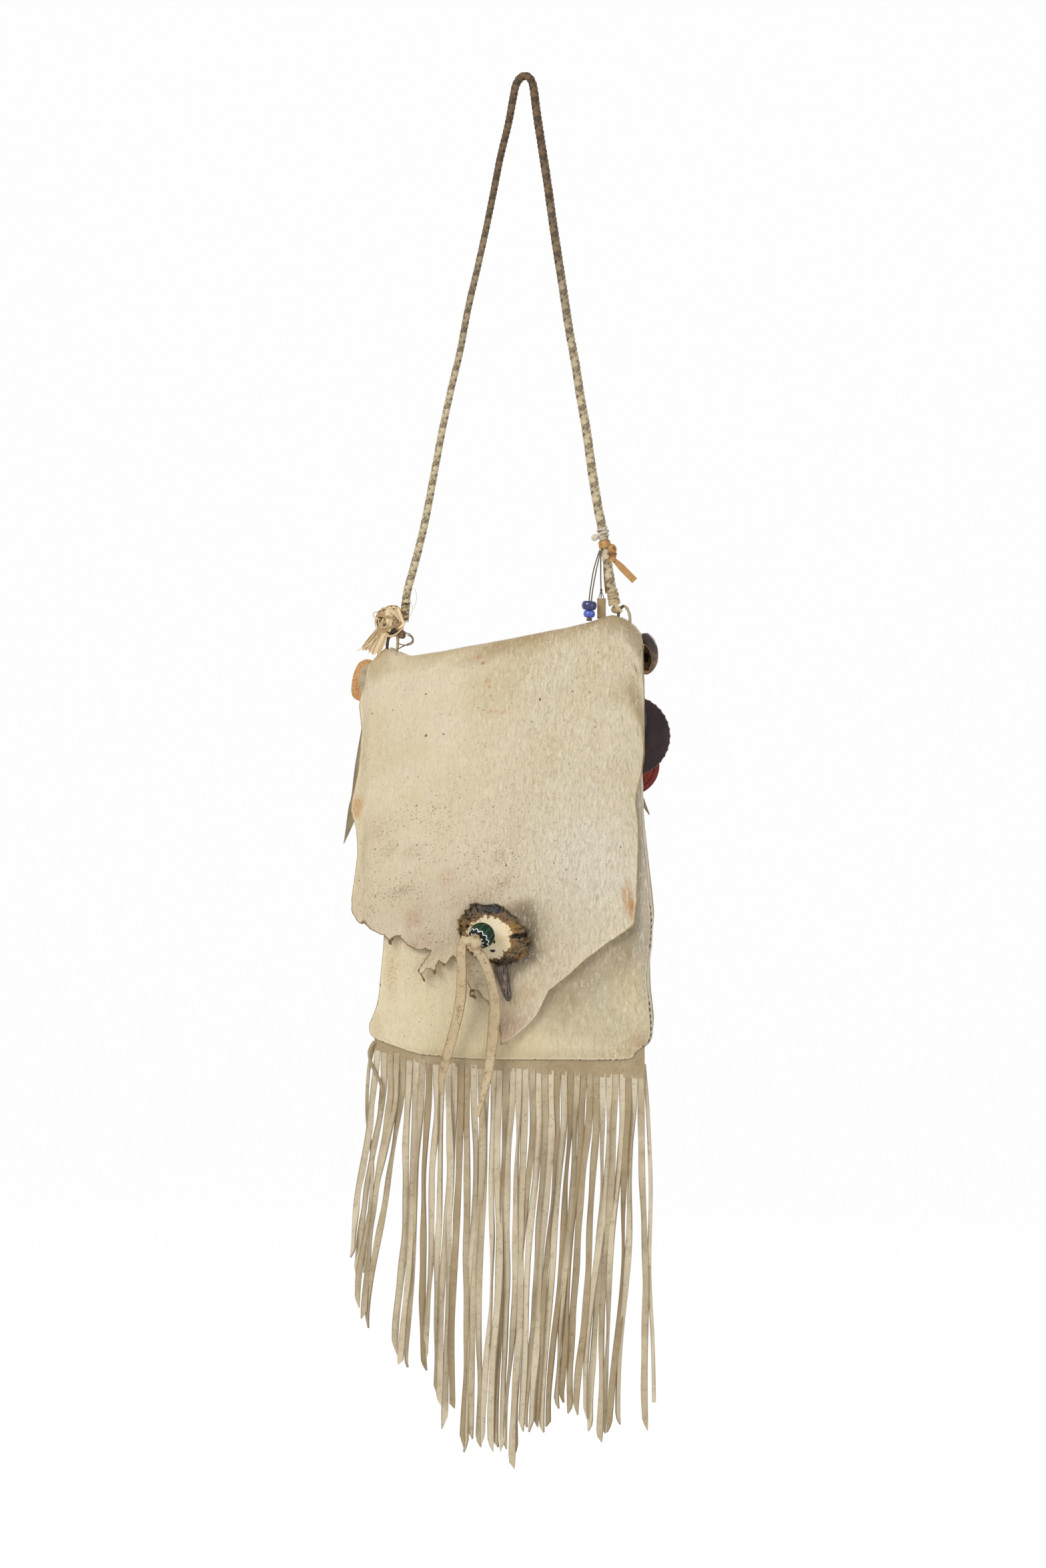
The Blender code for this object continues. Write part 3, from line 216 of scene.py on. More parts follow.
def add_object(name: str, data: bpy.types.ID) -> bpy.types.Object:
    """Makes an object in the scene.

    Args:
        name: The object's name.
        data: Its mesh, camera or lamp.

    Returns:
        The object.
    """
    made = bpy.data.objects.new(name, data)
    bpy.context.scene.collection.objects.link(made)
    return made


class Form:
    """A shape in the making: points, faces and one number of each kind for every point."""

    def __init__(self) -> None:
        """Begins with nothing in it."""
        self.points: list[Sequence[float]] = []
        self.faces: list[tuple[int, ...]] = []
        self.data: dict[str, list[float]] = {}

    def take(self, points: Sequence[Sequence[float]], faces: Iterable[Sequence[int]],
             **data: Sequence[float] | float) -> "Form":
        """Adds a shape.

        Args:
            points: Its points.
            faces: Its faces, counted from its own first point.
            data: Its numbers, one for each point or one for all of them.

        Returns:
            The form itself.
        """
        start = len(self.points)
        self.points.extend(points)
        self.faces.extend(tuple(start + i for i in face) for face in faces)
        for name, values in data.items():
            held = self.data.setdefault(name, [0.0] * start)
            held.extend([values] * len(points) if isinstance(values, (int, float)) else values)
        for held in self.data.values():
            held.extend([0.0] * (len(self.points) - len(held)))
        return self

    def rings(self, rings: Sequence[Sequence[Sequence[float]]], ends: bool = True,
              closed: bool = False, **data: Sequence[float] | float) -> "Form":
        """Adds rings of equally many points, joined into one skin.

        Args:
            rings: The rings, from one end to the other.
            ends: Whether its two ends are filled.
            closed: Whether the last ring joins the first.
            data: Its numbers, as in take.

        Returns:
            The form itself.
        """
        count, last = len(rings[0]), len(rings) - 1
        faces = [
            (i * count + k, i * count + (k + 1) % count,
             (i + 1) * count + (k + 1) % count, (i + 1) * count + k)
            for i in range(last) for k in range(count)
        ]
        if closed:
            faces += [
                (last * count + k, last * count + (k + 1) % count, (k + 1) % count, k)
                for k in range(count)
            ]
        elif ends:
            faces += [tuple(range(count))[::-1], tuple(range(last * count, (last + 1) * count))]
        return self.take([p for ring in rings for p in ring], faces, **data)

    def mesh(self, name: str, sharp: float = 50.0) -> bpy.types.Mesh:
        """Makes a mesh with smooth faces that all point out.

        Args:
            name: The mesh's name.
            sharp: The angle, in degrees, from which an edge stays sharp.

        Returns:
            The mesh, with its numbers as attributes of its points.
        """
        mesh = bpy.data.meshes.new(name)
        mesh.from_pydata([tuple(p) for p in self.points], [], self.faces)
        for key, values in self.data.items():
            mesh.attributes.new(key, "FLOAT", "POINT").data.foreach_set("value", values)
        work = bmesh.new()
        work.from_mesh(mesh)
        bmesh.ops.recalc_face_normals(work, faces=work.faces)
        work.to_mesh(mesh)
        work.free()
        mesh.shade_smooth()
        mesh.set_sharp_from_angle(angle=math.radians(sharp))
        return mesh


def show(name: str, shape: Form | bpy.types.Mesh, material: Material, body: Body | None,
         stands_for: Sequence[str] = ()) -> bpy.types.Object:
    """Puts a piece into the scene.

    Args:
        name: The piece's name.
        shape: Its form or its mesh.
        material: Its finish.
        body: The body that it rides on, or none.
        stands_for: The frame's nodes that it replaces.

    Returns:
        The new object.
    """
    mesh = shape.mesh(name) if isinstance(shape, Form) else shape
    piece = add_object(name, mesh)
    mesh.materials.clear()
    mesh.materials.append(material)
    if body is not None:
        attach(piece, body.value)
    if stands_for:
        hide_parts(*stands_for)
    log.info("%s: %d points", name, len(mesh.vertices))
    return piece


def frames_along(points: Sequence[Vector], across: Vector | None = None) -> list[tuple[Vector, ...]]:
    """Works out a side and a front direction at each point of a line.

    Args:
        points: The line.
        across: The direction that the side keeps to, or none for a side that turns least.

    Returns:
        For each point, the direction forward, the side and the front.
    """
    found, last = [], len(points) - 1
    side = across or Vector((1.0, 0.13, 0.07))
    for i in range(last + 1):
        forward = (points[min(i + 1, last)] - points[max(0, i - 1)]).normalized()
        hold = across or side
        side = (hold - hold.dot(forward) * forward).normalized()
        found.append((forward, side, forward.cross(side)))
    return found


def tube_rings(points: Sequence[Vector], radius: float | Sequence[float], sides: int = 8,
               flat: float = 1.0, across: Vector | None = None, turn: float = 0.0) -> list[list[Vector]]:
    """Puts rings round a line, for a tube or a rounded ribbon.

    Args:
        points: The line.
        radius: Half the width, the same all along or one for each point.
        sides: How many points each ring has.
        flat: How thick it is for its width.
        across: The direction that the width lies in.
        turn: How far it twists from end to end, in radians.

    Returns:
        One ring for each point.
    """
    found, last = [], max(1, len(points) - 1)
    for i, (place, (_, side, front)) in enumerate(zip(points, frames_along(points, across))):
        reach = radius if isinstance(radius, (int, float)) else radius[i]
        twist = turn * i / last
        wide = between(side, front, twist)
        deep = between(front, -side, twist)
        ring = []
        for k in range(sides):
            angle = 2 * math.pi * (k + 0.5) / sides
            ring.append(place + wide * reach * math.cos(angle) + deep * reach * flat * math.sin(angle))
        found.append(ring)
    return found


def add_tube(form: Form, points: Sequence[Vector], radius: float | Sequence[float],
             tone: float = 0.5, **shape: object) -> None:
    """Adds a tube with its tone and the distance along it.

    Args:
        form: The form that it goes into.
        points: The tube's middle line.
        radius: Its radius, as in tube_rings.
        tone: Its shade among its neighbours, from 0 to 1.
        shape: What else tube_rings takes.
    """
    rings = tube_rings(points, radius, **shape)
    reached = np.cumsum([0.0] + [(b - a).length for a, b in zip(points, points[1:])])
    along = [float(reached[i]) for i, ring in enumerate(rings) for _ in ring]
    form.rings(rings, tone=tone, along=along)


def add_ribbon(form: Form, points: Sequence[Vector], width: Sequence[float], thick: float,
               tone: float = 0.5, across: Vector | None = None, turns: Sequence[float] = (),
               cup: float = 0.0) -> None:
    """Adds a flat strip of hide with soft edges.

    Args:
        form: The form that it goes into.
        points: The strip's middle line.
        width: Its width at each point.
        thick: Its thickness.
        tone: Its shade among its neighbours, from 0 to 1.
        across: The direction that its width lies in.
        turns: How far it is twisted at each point, in radians.
        cup: How far its two edges bend forward, as a share of its width.
    """
    profile = [(-1, 0.2, 1), (-0.93, 0.5, 0.9), (-0.5, 0.5, 0.3), (0, 0.5, 0), (0.5, 0.5, 0.3),
               (0.93, 0.5, 0.9), (1, 0.2, 1), (1, -0.2, 1), (0.93, -0.5, 0.9),
               (0.5, -0.5, 0.3), (0, -0.5, 0), (-0.5, -0.5, 0.3), (-0.93, -0.5, 0.9),
               (-1, -0.2, 1)]
    rings, edges, along, reached = [], [], [], 0.0
    for i, (place, (_, side, front)) in enumerate(zip(points, frames_along(points, across))):
        reached += (place - points[max(0, i - 1)]).length
        twist = turns[i] if len(turns) else 0.0
        wide = between(side, front, twist)
        deep = between(front, -side, twist)
        ring = []
        for u, v, edge in profile:
            bend = cup * width[i] * u * u
            ring.append(place + wide * width[i] / 2 * u + deep * (thick * v + bend))
            edges.append(edge)
            along.append(reached)
        rings.append(ring)
    form.rings(rings, tone=tone, edge=edges, along=along)


def add_turned(form: Form, profile: Sequence[Point], centre: Sequence[float], axis: Sequence[float],
               steps: int = 40, hollow: bool = False, **data: Sequence[float] | float) -> None:
    """Adds a profile turned about an axis, with its turn and its distance along as numbers.

    Args:
        form: The form that it goes into.
        profile: Points of (radius, height).
        centre: Where height 0 is.
        axis: The direction that it turns about.
        steps: How many points each ring has.
        hollow: Whether the profile is closed, as on a piece with a bore.
        data: Other numbers, as in Form.take.
    """
    turned = Vector(axis).normalized().to_track_quat("Z", "Y").to_matrix()
    rings, around, over, along = [], [], [], []
    for radius, height in profile:
        ring = []
        for angle in angles(steps):
            local = Vector((radius * math.cos(angle), radius * math.sin(angle), height))
            ring.append(Vector(centre) + turned @ local)
            around.append(math.cos(angle))
            over.append(math.sin(angle))
            along.append(height)
        rings.append(ring)
    form.rings(rings, ends=not hollow, closed=hollow, around=around, over=over, along=along, **data)


def add_ball(form: Form, centre: Sequence[float], radii: Sequence[float], rough: float = 0.0,
             scale: float = 3.0, tone: float = 0.5, segments: int = 28, rings: int = 18) -> None:
    """Adds an ellipsoid with an uneven surface.

    Args:
        form: The form that it goes into.
        centre: Its middle.
        radii: Its three radii.
        rough: How uneven it is, as a share of its radius.
        scale: How many lumps it has across.
        tone: Its shade among its neighbours, from 0 to 1.
        segments: How many points each ring has.
        rings: How many rings it has.
    """
    middle, skin = Vector(centre), []
    for i in range(1, rings):
        tall, ring = math.pi * i / rings, []
        for angle in angles(segments):
            out = Vector((math.sin(tall) * math.cos(angle), math.sin(tall) * math.sin(angle),
                          math.cos(tall)))
            grow = 1 + rough * noise.noise(out * scale + middle * PLACE_SCALE)
            ring.append(middle + on_skin(out, radii, grow))
        skin.append(ring)
    form.rings(skin, tone=tone)


def add_wound_knot(form: Form, centre: Sequence[float], radii: Sequence[float], thick: float,
                   turns: int, seed: int, flat: float = 1.0, tone: float = 0.5) -> None:
    """Adds a small knot: turns of a lace wound over each other round a core.

    Args:
        form: The form that it goes into.
        centre: The knot's middle.
        radii: The knot's three outer radii.
        thick: Half the lace's width.
        turns: How many turns show.
        seed: What picks the turns' directions.
        flat: How thick the lace is for its width.
        tone: Its middle shade, from 0 to 1.
    """
    draw, middle = random.Random(seed), Vector(centre)
    # The core shows only between the turns; its darker tone is painted shade there.
    add_ball(form, centre, [r * 0.72 for r in radii], 0.1, 2.0, tone * 0.6, 16, 10)
    for turn in range(turns):
        way = Vector([draw.uniform(-1, 1) for _ in range(3)]).normalized()
        first = way.orthogonal().normalized()
        second = way.cross(first)
        reach = [r - thick * flat * draw.uniform(0.9, 1.6) for r in radii]
        line = []
        for angle in angles(24, 1):
            out = between(first, second, angle) + way * 0.16 * math.sin(2 * angle)
            out.normalize()
            line.append(middle + on_skin(out, reach))
        shift = (turn / max(1, turns - 1) - 0.5) * 0.5
        form.rings(tube_rings(line, thick, 8, flat, way), tone=tone + shift * 0.6)


# Finishes

Socket = bpy.types.NodeSocket


class Paint:
    """Builds the nodes of one material."""

    def __init__(self, name: str) -> None:
        """Begins with a shader and an output.

        Args:
            name: The material's name.
        """
        self.material = bpy.data.materials.new(name)
        self.material.use_nodes = True
        self.tree = self.material.node_tree
        self.tree.nodes.clear()
        self.shader = self.add("ShaderNodeBsdfPrincipled")
        self.output = self.add("ShaderNodeOutputMaterial")
        self.tree.links.new(self.shader.outputs[0], self.output.inputs["Surface"])
        self.vector = self.add("ShaderNodeTexCoord").outputs["Object"]
        self.colour: object = shade(128, 128, 128)

    def add(self, kind: str, **values: object) -> bpy.types.Node:
        """Adds a node and sets its own values.

        Args:
            kind: The node's type.
            values: Its properties by name.

        Returns:
            The node.
        """
        made = self.tree.nodes.new(kind)
        for name, value in values.items():
            setattr(made, name, value)
        return made

    def put(self, made: bpy.types.Node, key: str | int, value: object) -> None:
        """Links a socket into an input, or sets the input's own value.

        Args:
            made: The node.
            key: The input's name or number.
            value: A socket, a number or a colour.
        """
        if isinstance(value, Socket):
            self.tree.links.new(value, made.inputs[key])
        else:
            made.inputs[key].default_value = value

    def number(self, name: str) -> Socket:
        """Reads one of the mesh's numbers."""
        return self.add("ShaderNodeAttribute", attribute_name=name).outputs["Fac"]

    def follow(self, name: str) -> None:
        """Takes places from a mesh attribute, so that they stay with a surface that bends."""
        self.vector = self.add("ShaderNodeAttribute", attribute_name=name).outputs["Vector"]

    def math(self, operation: str, a: object, b: object = 0.0, clamp: bool = False) -> Socket:
        """Does arithmetic on two values.

        Args:
            operation: What is done.
            a: The first value.
            b: The second value.
            clamp: Whether the result is kept between 0 and 1.

        Returns:
            The result.
        """
        made = self.add("ShaderNodeMath", operation=operation, use_clamp=clamp)
        self.put(made, 0, a)
        self.put(made, 1, b)
        return made.outputs[0]

    def axes(self) -> bpy.types.NodeOutputs:
        """Splits the place into its x, y and z."""
        made = self.add("ShaderNodeSeparateXYZ")
        self.put(made, 0, self.vector)
        return made.outputs

    def times(self, a: object, b: object) -> Socket:
        """Multiplies two values."""
        return self.math("MULTIPLY", a, b)

    def plus(self, a: object, b: object) -> Socket:
        """Adds two values."""
        return self.math("ADD", a, b)

    def minus(self, a: object, b: object) -> Socket:
        """Takes the second value from the first."""
        return self.math("SUBTRACT", a, b)

    def stretched(self, scale: Place) -> Socket:
        """Multiplies the place by a scale along each axis.

        Args:
            scale: The three factors.

        Returns:
            The new place.
        """
        made = self.add("ShaderNodeVectorMath", operation="MULTIPLY")
        self.put(made, 0, self.vector)
        self.put(made, 1, scale)
        return made.outputs[0]

    def noise(self, scale: float, detail: float = 3.0, rough: float = 0.55, stretch: Place = (1, 1, 1),
              bend: float = 0.0) -> Socket:
        """Reads a soft noise.

        Args:
            scale: How many lumps there are to a metre.
            detail: How much finer structure it has.
            rough: How strong the finer structure is.
            stretch: A further scale along each axis.
            bend: How far the pattern is distorted.

        Returns:
            A value about 0.5, from 0 to 1.
        """
        made = self.add("ShaderNodeTexNoise", noise_dimensions="3D")
        self.put(made, "Vector", self.stretched(stretch))
        self.put(made, "Scale", scale)
        self.put(made, "Detail", detail)
        self.put(made, "Roughness", rough)
        self.put(made, "Distortion", bend)
        return made.outputs["Fac"]

    def cells(self, scale: float, stretch: Place = (1, 1, 1)) -> bpy.types.Node:
        """Adds a pattern of cells.

        Args:
            scale: How many cells there are to a metre.
            stretch: A further scale along each axis.

        Returns:
            The node, whose outputs are the distance and each cell's own colour.
        """
        made = self.add("ShaderNodeTexVoronoi")
        self.put(made, "Vector", self.stretched(stretch))
        self.put(made, "Scale", scale)
        return made

    def span(self, value: object, low: float, high: float, first: float = 0.0, last: float = 1.0) -> Socket:
        """Turns a range into another one, smoothly and without going past it.

        Args:
            value: What is read.
            low: Where the range begins.
            high: Where it ends.
            first: What it gives at low.
            last: What it gives at high.

        Returns:
            The value between first and last.
        """
        made = self.add("ShaderNodeMapRange", interpolation_type="SMOOTHSTEP")
        for key, given in enumerate((value, low, high, first, last)):
            self.put(made, key, given)
        return made.outputs[0]

    def mix(self, share: object, a: object, b: object) -> Socket:
        """Mixes two colours.

        Args:
            share: How much of the second one shows.
            a: The first colour.
            b: The second colour.

        Returns:
            The colour.
        """
        made = self.add("ShaderNodeMix", data_type="RGBA")
        self.put(made, 0, share)
        self.put(made, 6, a)
        self.put(made, 7, b)
        return made.outputs[2]

    def over(self, share: object, colour: object) -> None:
        """Lays a colour over what the material has so far."""
        self.colour = self.mix(share, self.colour, colour)

    def spot(self, centre: Place, wide: float, tall: float, ragged: float = 0.25, soft: float = 0.3,
             scale: float = 90.0) -> Socket:
        """Marks a spot with an uneven edge.

        Args:
            centre: Its middle, in millimetres.
            wide: Half its width, in millimetres.
            tall: Half its height, in millimetres.
            ragged: How uneven its edge is.
            soft: How soft its edge is.
            scale: How fine the unevenness is, in lumps to a metre.

        Returns:
            1 inside the spot and 0 outside it.
        """
        shifted = self.add("ShaderNodeVectorMath", operation="SUBTRACT")
        self.put(shifted, 0, self.vector)
        self.put(shifted, 1, tuple(v * MM for v in centre))
        scaled = self.add("ShaderNodeVectorMath", operation="MULTIPLY")
        self.put(scaled, 0, shifted.outputs[0])
        self.put(scaled, 1, (1 / (wide * MM), 0.0, 1 / (tall * MM)))
        far = self.add("ShaderNodeVectorMath", operation="LENGTH")
        self.put(far, 0, scaled.outputs[0])
        uneven = self.times(self.minus(self.noise(scale, 4), 0.5), 4 * ragged)
        return self.span(self.plus(far.outputs["Value"], uneven), 1 + soft, 1 - soft)

    def specks(self, scale: float, size: float, share: object) -> Socket:
        """Marks scattered specks.

        Args:
            scale: How many places for a speck there are to a metre.
            size: A speck's radius, as a share of the distance between places.
            share: How many of the places have one, from 0 to 1.

        Returns:
            1 on a speck and 0 beside it.
        """
        made = self.cells(scale)
        drawn = self.add("ShaderNodeSeparateColor")
        self.put(drawn, 0, made.outputs["Color"])
        chosen = self.math("LESS_THAN", drawn.outputs[0], share)
        reach = self.times(drawn.outputs[1], size)
        within = self.minus(reach, made.outputs["Distance"])
        return self.times(chosen, self.span(within, -size * 0.15, size * 0.3))

    def bump(self, height: Socket, distance: float, strength: float = 1.0,
             under: Socket | None = None) -> Socket:
        """Adds relief to the surface.

        Args:
            height: The relief, from 0 to 1.
            distance: How high 1 is, in metres.
            strength: How much of it shows.
            under: A relief that lies under this one.

        Returns:
            The normal.
        """
        made = self.add("ShaderNodeBump")
        self.put(made, "Height", height)
        self.put(made, "Distance", distance)
        self.put(made, "Strength", strength)
        if under is not None:
            self.put(made, "Normal", under)
        return made.outputs[0]

    def done(self, rough: object, normal: Socket | None = None,
             **constants: float) -> Material:
        """Finishes the shader.

        Args:
            rough: The roughness.
            normal: The relief's normal.
            constants: Other values of the shader, by input name with _ for a space.

        Returns:
            The material.
        """
        self.put(self.shader, "Base Color", self.colour)
        self.put(self.shader, "Roughness", rough)
        if normal is not None:
            self.put(self.shader, "Normal", normal)
        for name, value in constants.items():
            self.put(self.shader, name.replace("_", " "), value)
        return self.material


@dataclass(frozen=True)
class StainOrShade:
    """A stained spot or a patch of painted shade on the hide: its place on the bag's front in millimetres
    and its colour as seen.
    """

    x: float
    z: float
    wide: float
    tall: float
    seen: tuple[int, int, int]
    strength: float
    ragged: float = 0.3
    soft: float = 0.4
    grainy: float = 0.0


@dataclass(frozen=True)
class Buckskin:
    """Smoke-tanned deer hide: cream, finely creased, with specks, grime and stained spots, and with painted
    shade and painted highlights.
    """

    name: str
    cream: Colour = shade(228, 215, 184)
    warm: Colour = shade(218, 202, 166)
    grey: Colour = shade(222, 209, 187)
    speck: Colour = shade(112, 80, 50)
    edge_tint: Colour = shade(150, 118, 82)
    crease_middle: float = 0.0
    speckled: float = 0.3
    stains_and_shade: tuple[StainOrShade, ...] = ()
    follows: str = ""
    crown: tuple[float, float, float] | None = None
    most_specks: Point = (-75, -618)

    def paint(self, flat_place: Callable[[float, float], Point] | None = None) -> Material:
        """Makes the finish.

        Args:
            flat_place: What turns a patch's place on the bag into its place on the cut hide.

        Returns:
            The material.
        """
        paint = Paint(self.name)
        if self.follows:
            paint.follow(self.follows)
        wide = paint.noise(11, 3, 0.55)
        patch = paint.noise(38, 4, 0.6)
        paint.colour = paint.mix(paint.span(wide, 0.36, 0.66), self.cream, self.warm)
        paint.over(paint.span(patch, 0.5, 0.78, 0, 0.55), self.grey)
        mottle = paint.noise(300, 4, 0.7)
        paint.over(paint.span(mottle, 0.3, 0.75, 0.12, 0), self.edge_tint)
        clean = paint.colour
        across = paint.axes()
        grit = paint.span(paint.noise(520, 5, 0.8), 0.47, 0.60)
        # Lays the stained spots and the patches of painted shade.
        for stain_or_shade in self.stains_and_shade:
            x, z = flat_place(stain_or_shade.x, stain_or_shade.z) if flat_place else (stain_or_shade.x, stain_or_shade.z)
            mask = paint.spot((x, 0, z), stain_or_shade.wide, stain_or_shade.tall, stain_or_shade.ragged, stain_or_shade.soft)
            if stain_or_shade.grainy:
                mask = paint.times(mask, paint.span(grit, 0, 1, 1 - stain_or_shade.grainy, 1))
            paint.over(paint.times(mask, stain_or_shade.strength), shade(*stain_or_shade.seen))
        paint.over(paint.times(paint.number("under"), 0.8), clean)
        # Painted shade: a darker band along the fold's crown, where the roll turns away from the light.
        if self.crown:
            slope, start, reach = self.crown
            level = paint.minus(across[2], paint.times(across[0], slope))
            far = paint.math("ABSOLUTE", paint.minus(level, start))
            wear_and_shade = paint.times(paint.span(far, reach, 0.0), paint.span(wide, 0.42, 0.58, 0.35))
            paint.over(paint.times(wear_and_shade, 0.6), shade(172, 144, 102))
        near = paint.span(paint.noise(42, 3), 0.40, 0.62, 0.05, 1.0)
        dense = paint.times(paint.spot((-72, 0, self.speck_height(flat_place)), 70, 70, 0.3, 0.7, 30), near)
        for scale, size, share, strength in ((1300, 0.46, 0.50, 0.7), (800, 0.42, 0.34, 0.75),
                                             (420, 0.30, 0.22, 0.75), (190, 0.13, 0.10, 0.8)):
            amount = paint.plus(paint.times(dense, share), 0.02)
            dot = paint.specks(scale, size, paint.times(amount, self.speckled))
            paint.over(paint.times(dot, strength), self.speck)
        edge = paint.number("edge")
        torn = paint.number("torn")
        # Painted highlight: a light line just inside the hide's cut edges, weaker where the edge is torn.
        edge_highlight = paint.times(paint.span(edge, 0.55, 0.4), paint.span(torn, 0.4, 0.0, 0, 0.45))
        paint.over(edge_highlight, shade(240, 224, 190))
        # The cut edges darken towards the edge tint, the torn ones more and with a burnt brown; on the
        # lid's upper right edge, where the hide raises the torn value, this paints a shadow line.
        rim = paint.times(paint.span(edge, 0.3, 0.05), paint.plus(paint.times(torn, 0.3), 0.65))
        paint.over(rim, self.edge_tint)
        burnt = paint.times(torn, paint.span(
            paint.plus(edge, paint.times(paint.noise(120, 3), 0.4)), 0.42, 0.14))
        paint.over(paint.times(burnt, 0.85), shade(96, 66, 42))
        crease = paint.noise(1.0, 4, 0.6, (450, 300, 165), 1.0)
        right = paint.span(across[0], (self.crease_middle - 75) * MM,
                           (self.crease_middle + 25) * MM, 0.35, 1.0)
        ripple = paint.noise(1.0, 3, 0.6, (950, 600, 560), 0.9)
        fold = paint.noise(1.0, 2, 0.5, (95, 60, 22), 0.4)
        grain = paint.cells(900, (1, 1, 0.75)).outputs["Distance"]
        normal = paint.bump(fold, 0.0016, 0.55)
        normal = paint.bump(paint.times(crease, right), 0.0016, 0.9, normal)
        normal = paint.bump(ripple, 0.0006, 0.8, normal)
        normal = paint.bump(grain, 0.00025, 0.5, normal)
        # Painted shade in the hollows of the creases and the ripples, and painted highlight on the creases'
        # ridges.
        low = paint.times(paint.span(crease, 0.48, 0.34), right)
        paint.over(paint.times(low, 0.36), shade(164, 144, 110))
        high = paint.times(paint.span(crease, 0.52, 0.66), right)
        paint.over(paint.times(high, 0.36), shade(246, 238, 218))
        paint.over(paint.span(ripple, 0.48, 0.34, 0, 0.15), shade(156, 136, 102))
        return paint.done(paint.span(mottle, 0.3, 0.7, 0.74, 0.9), normal, Sheen_Weight=0.12,
                          Sheen_Roughness=0.5, Specular_IOR_Level=0.28)

    def speck_height(self, flat_place: Callable[[float, float], Point] | None) -> float:
        """Gives the height of the most speckled part."""
        return flat_place(*self.most_specks)[1] if flat_place else -650.0


@dataclass(frozen=True)
class Suede:
    """Split hide with a soft nap, whose pieces differ in shade."""

    name: str
    light: Colour
    dark: Colour
    grime: Colour = shade(110, 88, 62)
    edge: Colour = shade(120, 101, 76)
    edge_share: float = 0.35
    speckled: float = 0.3
    blotch: float = 0.4
    nap: float = 0.0003

    def paint(self) -> Material:
        """Makes the finish.

        Returns:
            The material.
        """
        paint = Paint(self.name)
        tone = paint.plus(paint.number("tone"), paint.times(paint.minus(paint.noise(45, 3), 0.5), 0.9))
        paint.colour = paint.mix(paint.span(tone, 0.0, 1.0), self.dark, self.light)
        blotch = paint.span(paint.noise(190, 6, 0.75), 0.50, 0.70, 0, self.blotch)
        paint.over(blotch, self.edge)
        edge = paint.times(paint.span(paint.number("edge"), 0.55, 1.0), self.edge_share)
        paint.over(edge, self.edge)
        speck = paint.specks(620, 0.36, self.speckled * 0.22)
        paint.over(paint.times(speck, 0.6), self.grime)
        fibre = paint.noise(1500, 4, 0.75)
        # Painted shade in the nap's hollows, where the fibre relief is low.
        paint.over(paint.span(fibre, 0.5, 0.34, 0, 0.22), self.edge)
        creased = paint.noise(260, 4, 0.6, (1, 1, 0.6))
        normal = paint.bump(creased, 0.0006, 0.5)
        normal = paint.bump(fibre, self.nap, 0.6, normal)
        return paint.done(0.93, normal, Sheen_Weight=0.2, Sheen_Roughness=0.6,
                          Specular_IOR_Level=0.15)


@dataclass(frozen=True)
class Lace:
    """Leather lace, cord or fibre, with painted shade in its hollows, whose colour may change with height.
    """

    name: str
    light: Colour
    dark: Colour
    top: Colour | None = None
    top_dark: Colour = shade(38, 26, 17)
    turning: tuple[float, float] = (-0.33, -0.02)
    rough: float = 0.7
    grain: float = 420.0
    relief: float = 0.0003
    stretch: Place = (1, 1, 1)

    def paint(self) -> Material:
        """Makes the finish.

        Returns:
            The material.
        """
        paint = Paint(self.name)
        spread = paint.noise(self.grain, 4, 0.65, self.stretch)
        # The tone drops where the relief is low: painted shade in the hollows.
        tone = paint.plus(paint.number("tone"), paint.times(paint.minus(spread, 0.5), 0.75))
        light, dark = self.light, self.dark
        if self.top:
            height = paint.axes()[2]
            uneven = paint.times(paint.minus(paint.noise(35, 3), 0.5), 0.16)
            share = paint.span(paint.plus(height, uneven), *self.turning)
            light = paint.mix(share, self.light, self.top)
            dark = paint.mix(share, self.dark, self.top_dark)
        paint.colour = paint.mix(paint.span(tone, 0.0, 0.9), dark, light)
        normal = paint.bump(spread, self.relief, 0.7)
        return paint.done(self.rough, normal, Specular_IOR_Level=0.35, Sheen_Weight=0.05)


@dataclass(frozen=True)
class Glass:
    """Old wound glass of one colour, clear at its rim, with streaks from the winding."""

    name: str
    body: Colour
    streak: Colour
    rough: float = 0.1
    coat: float = 0.6

    def paint(self) -> Material:
        """Makes the finish.

        Returns:
            The material.
        """
        paint = Paint(self.name)
        winding = paint.noise(240, 4, 0.6, (1, 1, 3.5), 1.2)
        paint.colour = paint.mix(paint.span(winding, 0.35, 0.72), self.body, self.streak)
        dust = paint.times(paint.span(paint.noise(700, 4, 0.7), 0.58, 0.74), 0.08)
        paint.over(dust, shade(170, 165, 155))
        normal = paint.bump(paint.noise(320, 2), 0.0005, 0.35)
        rough = paint.span(paint.noise(500, 3), 0.4, 0.8, self.rough, self.rough + 0.22)
        return paint.done(rough, normal, Coat_Weight=self.coat, Coat_Roughness=0.06, IOR=1.52,
                          Specular_IOR_Level=0.6)


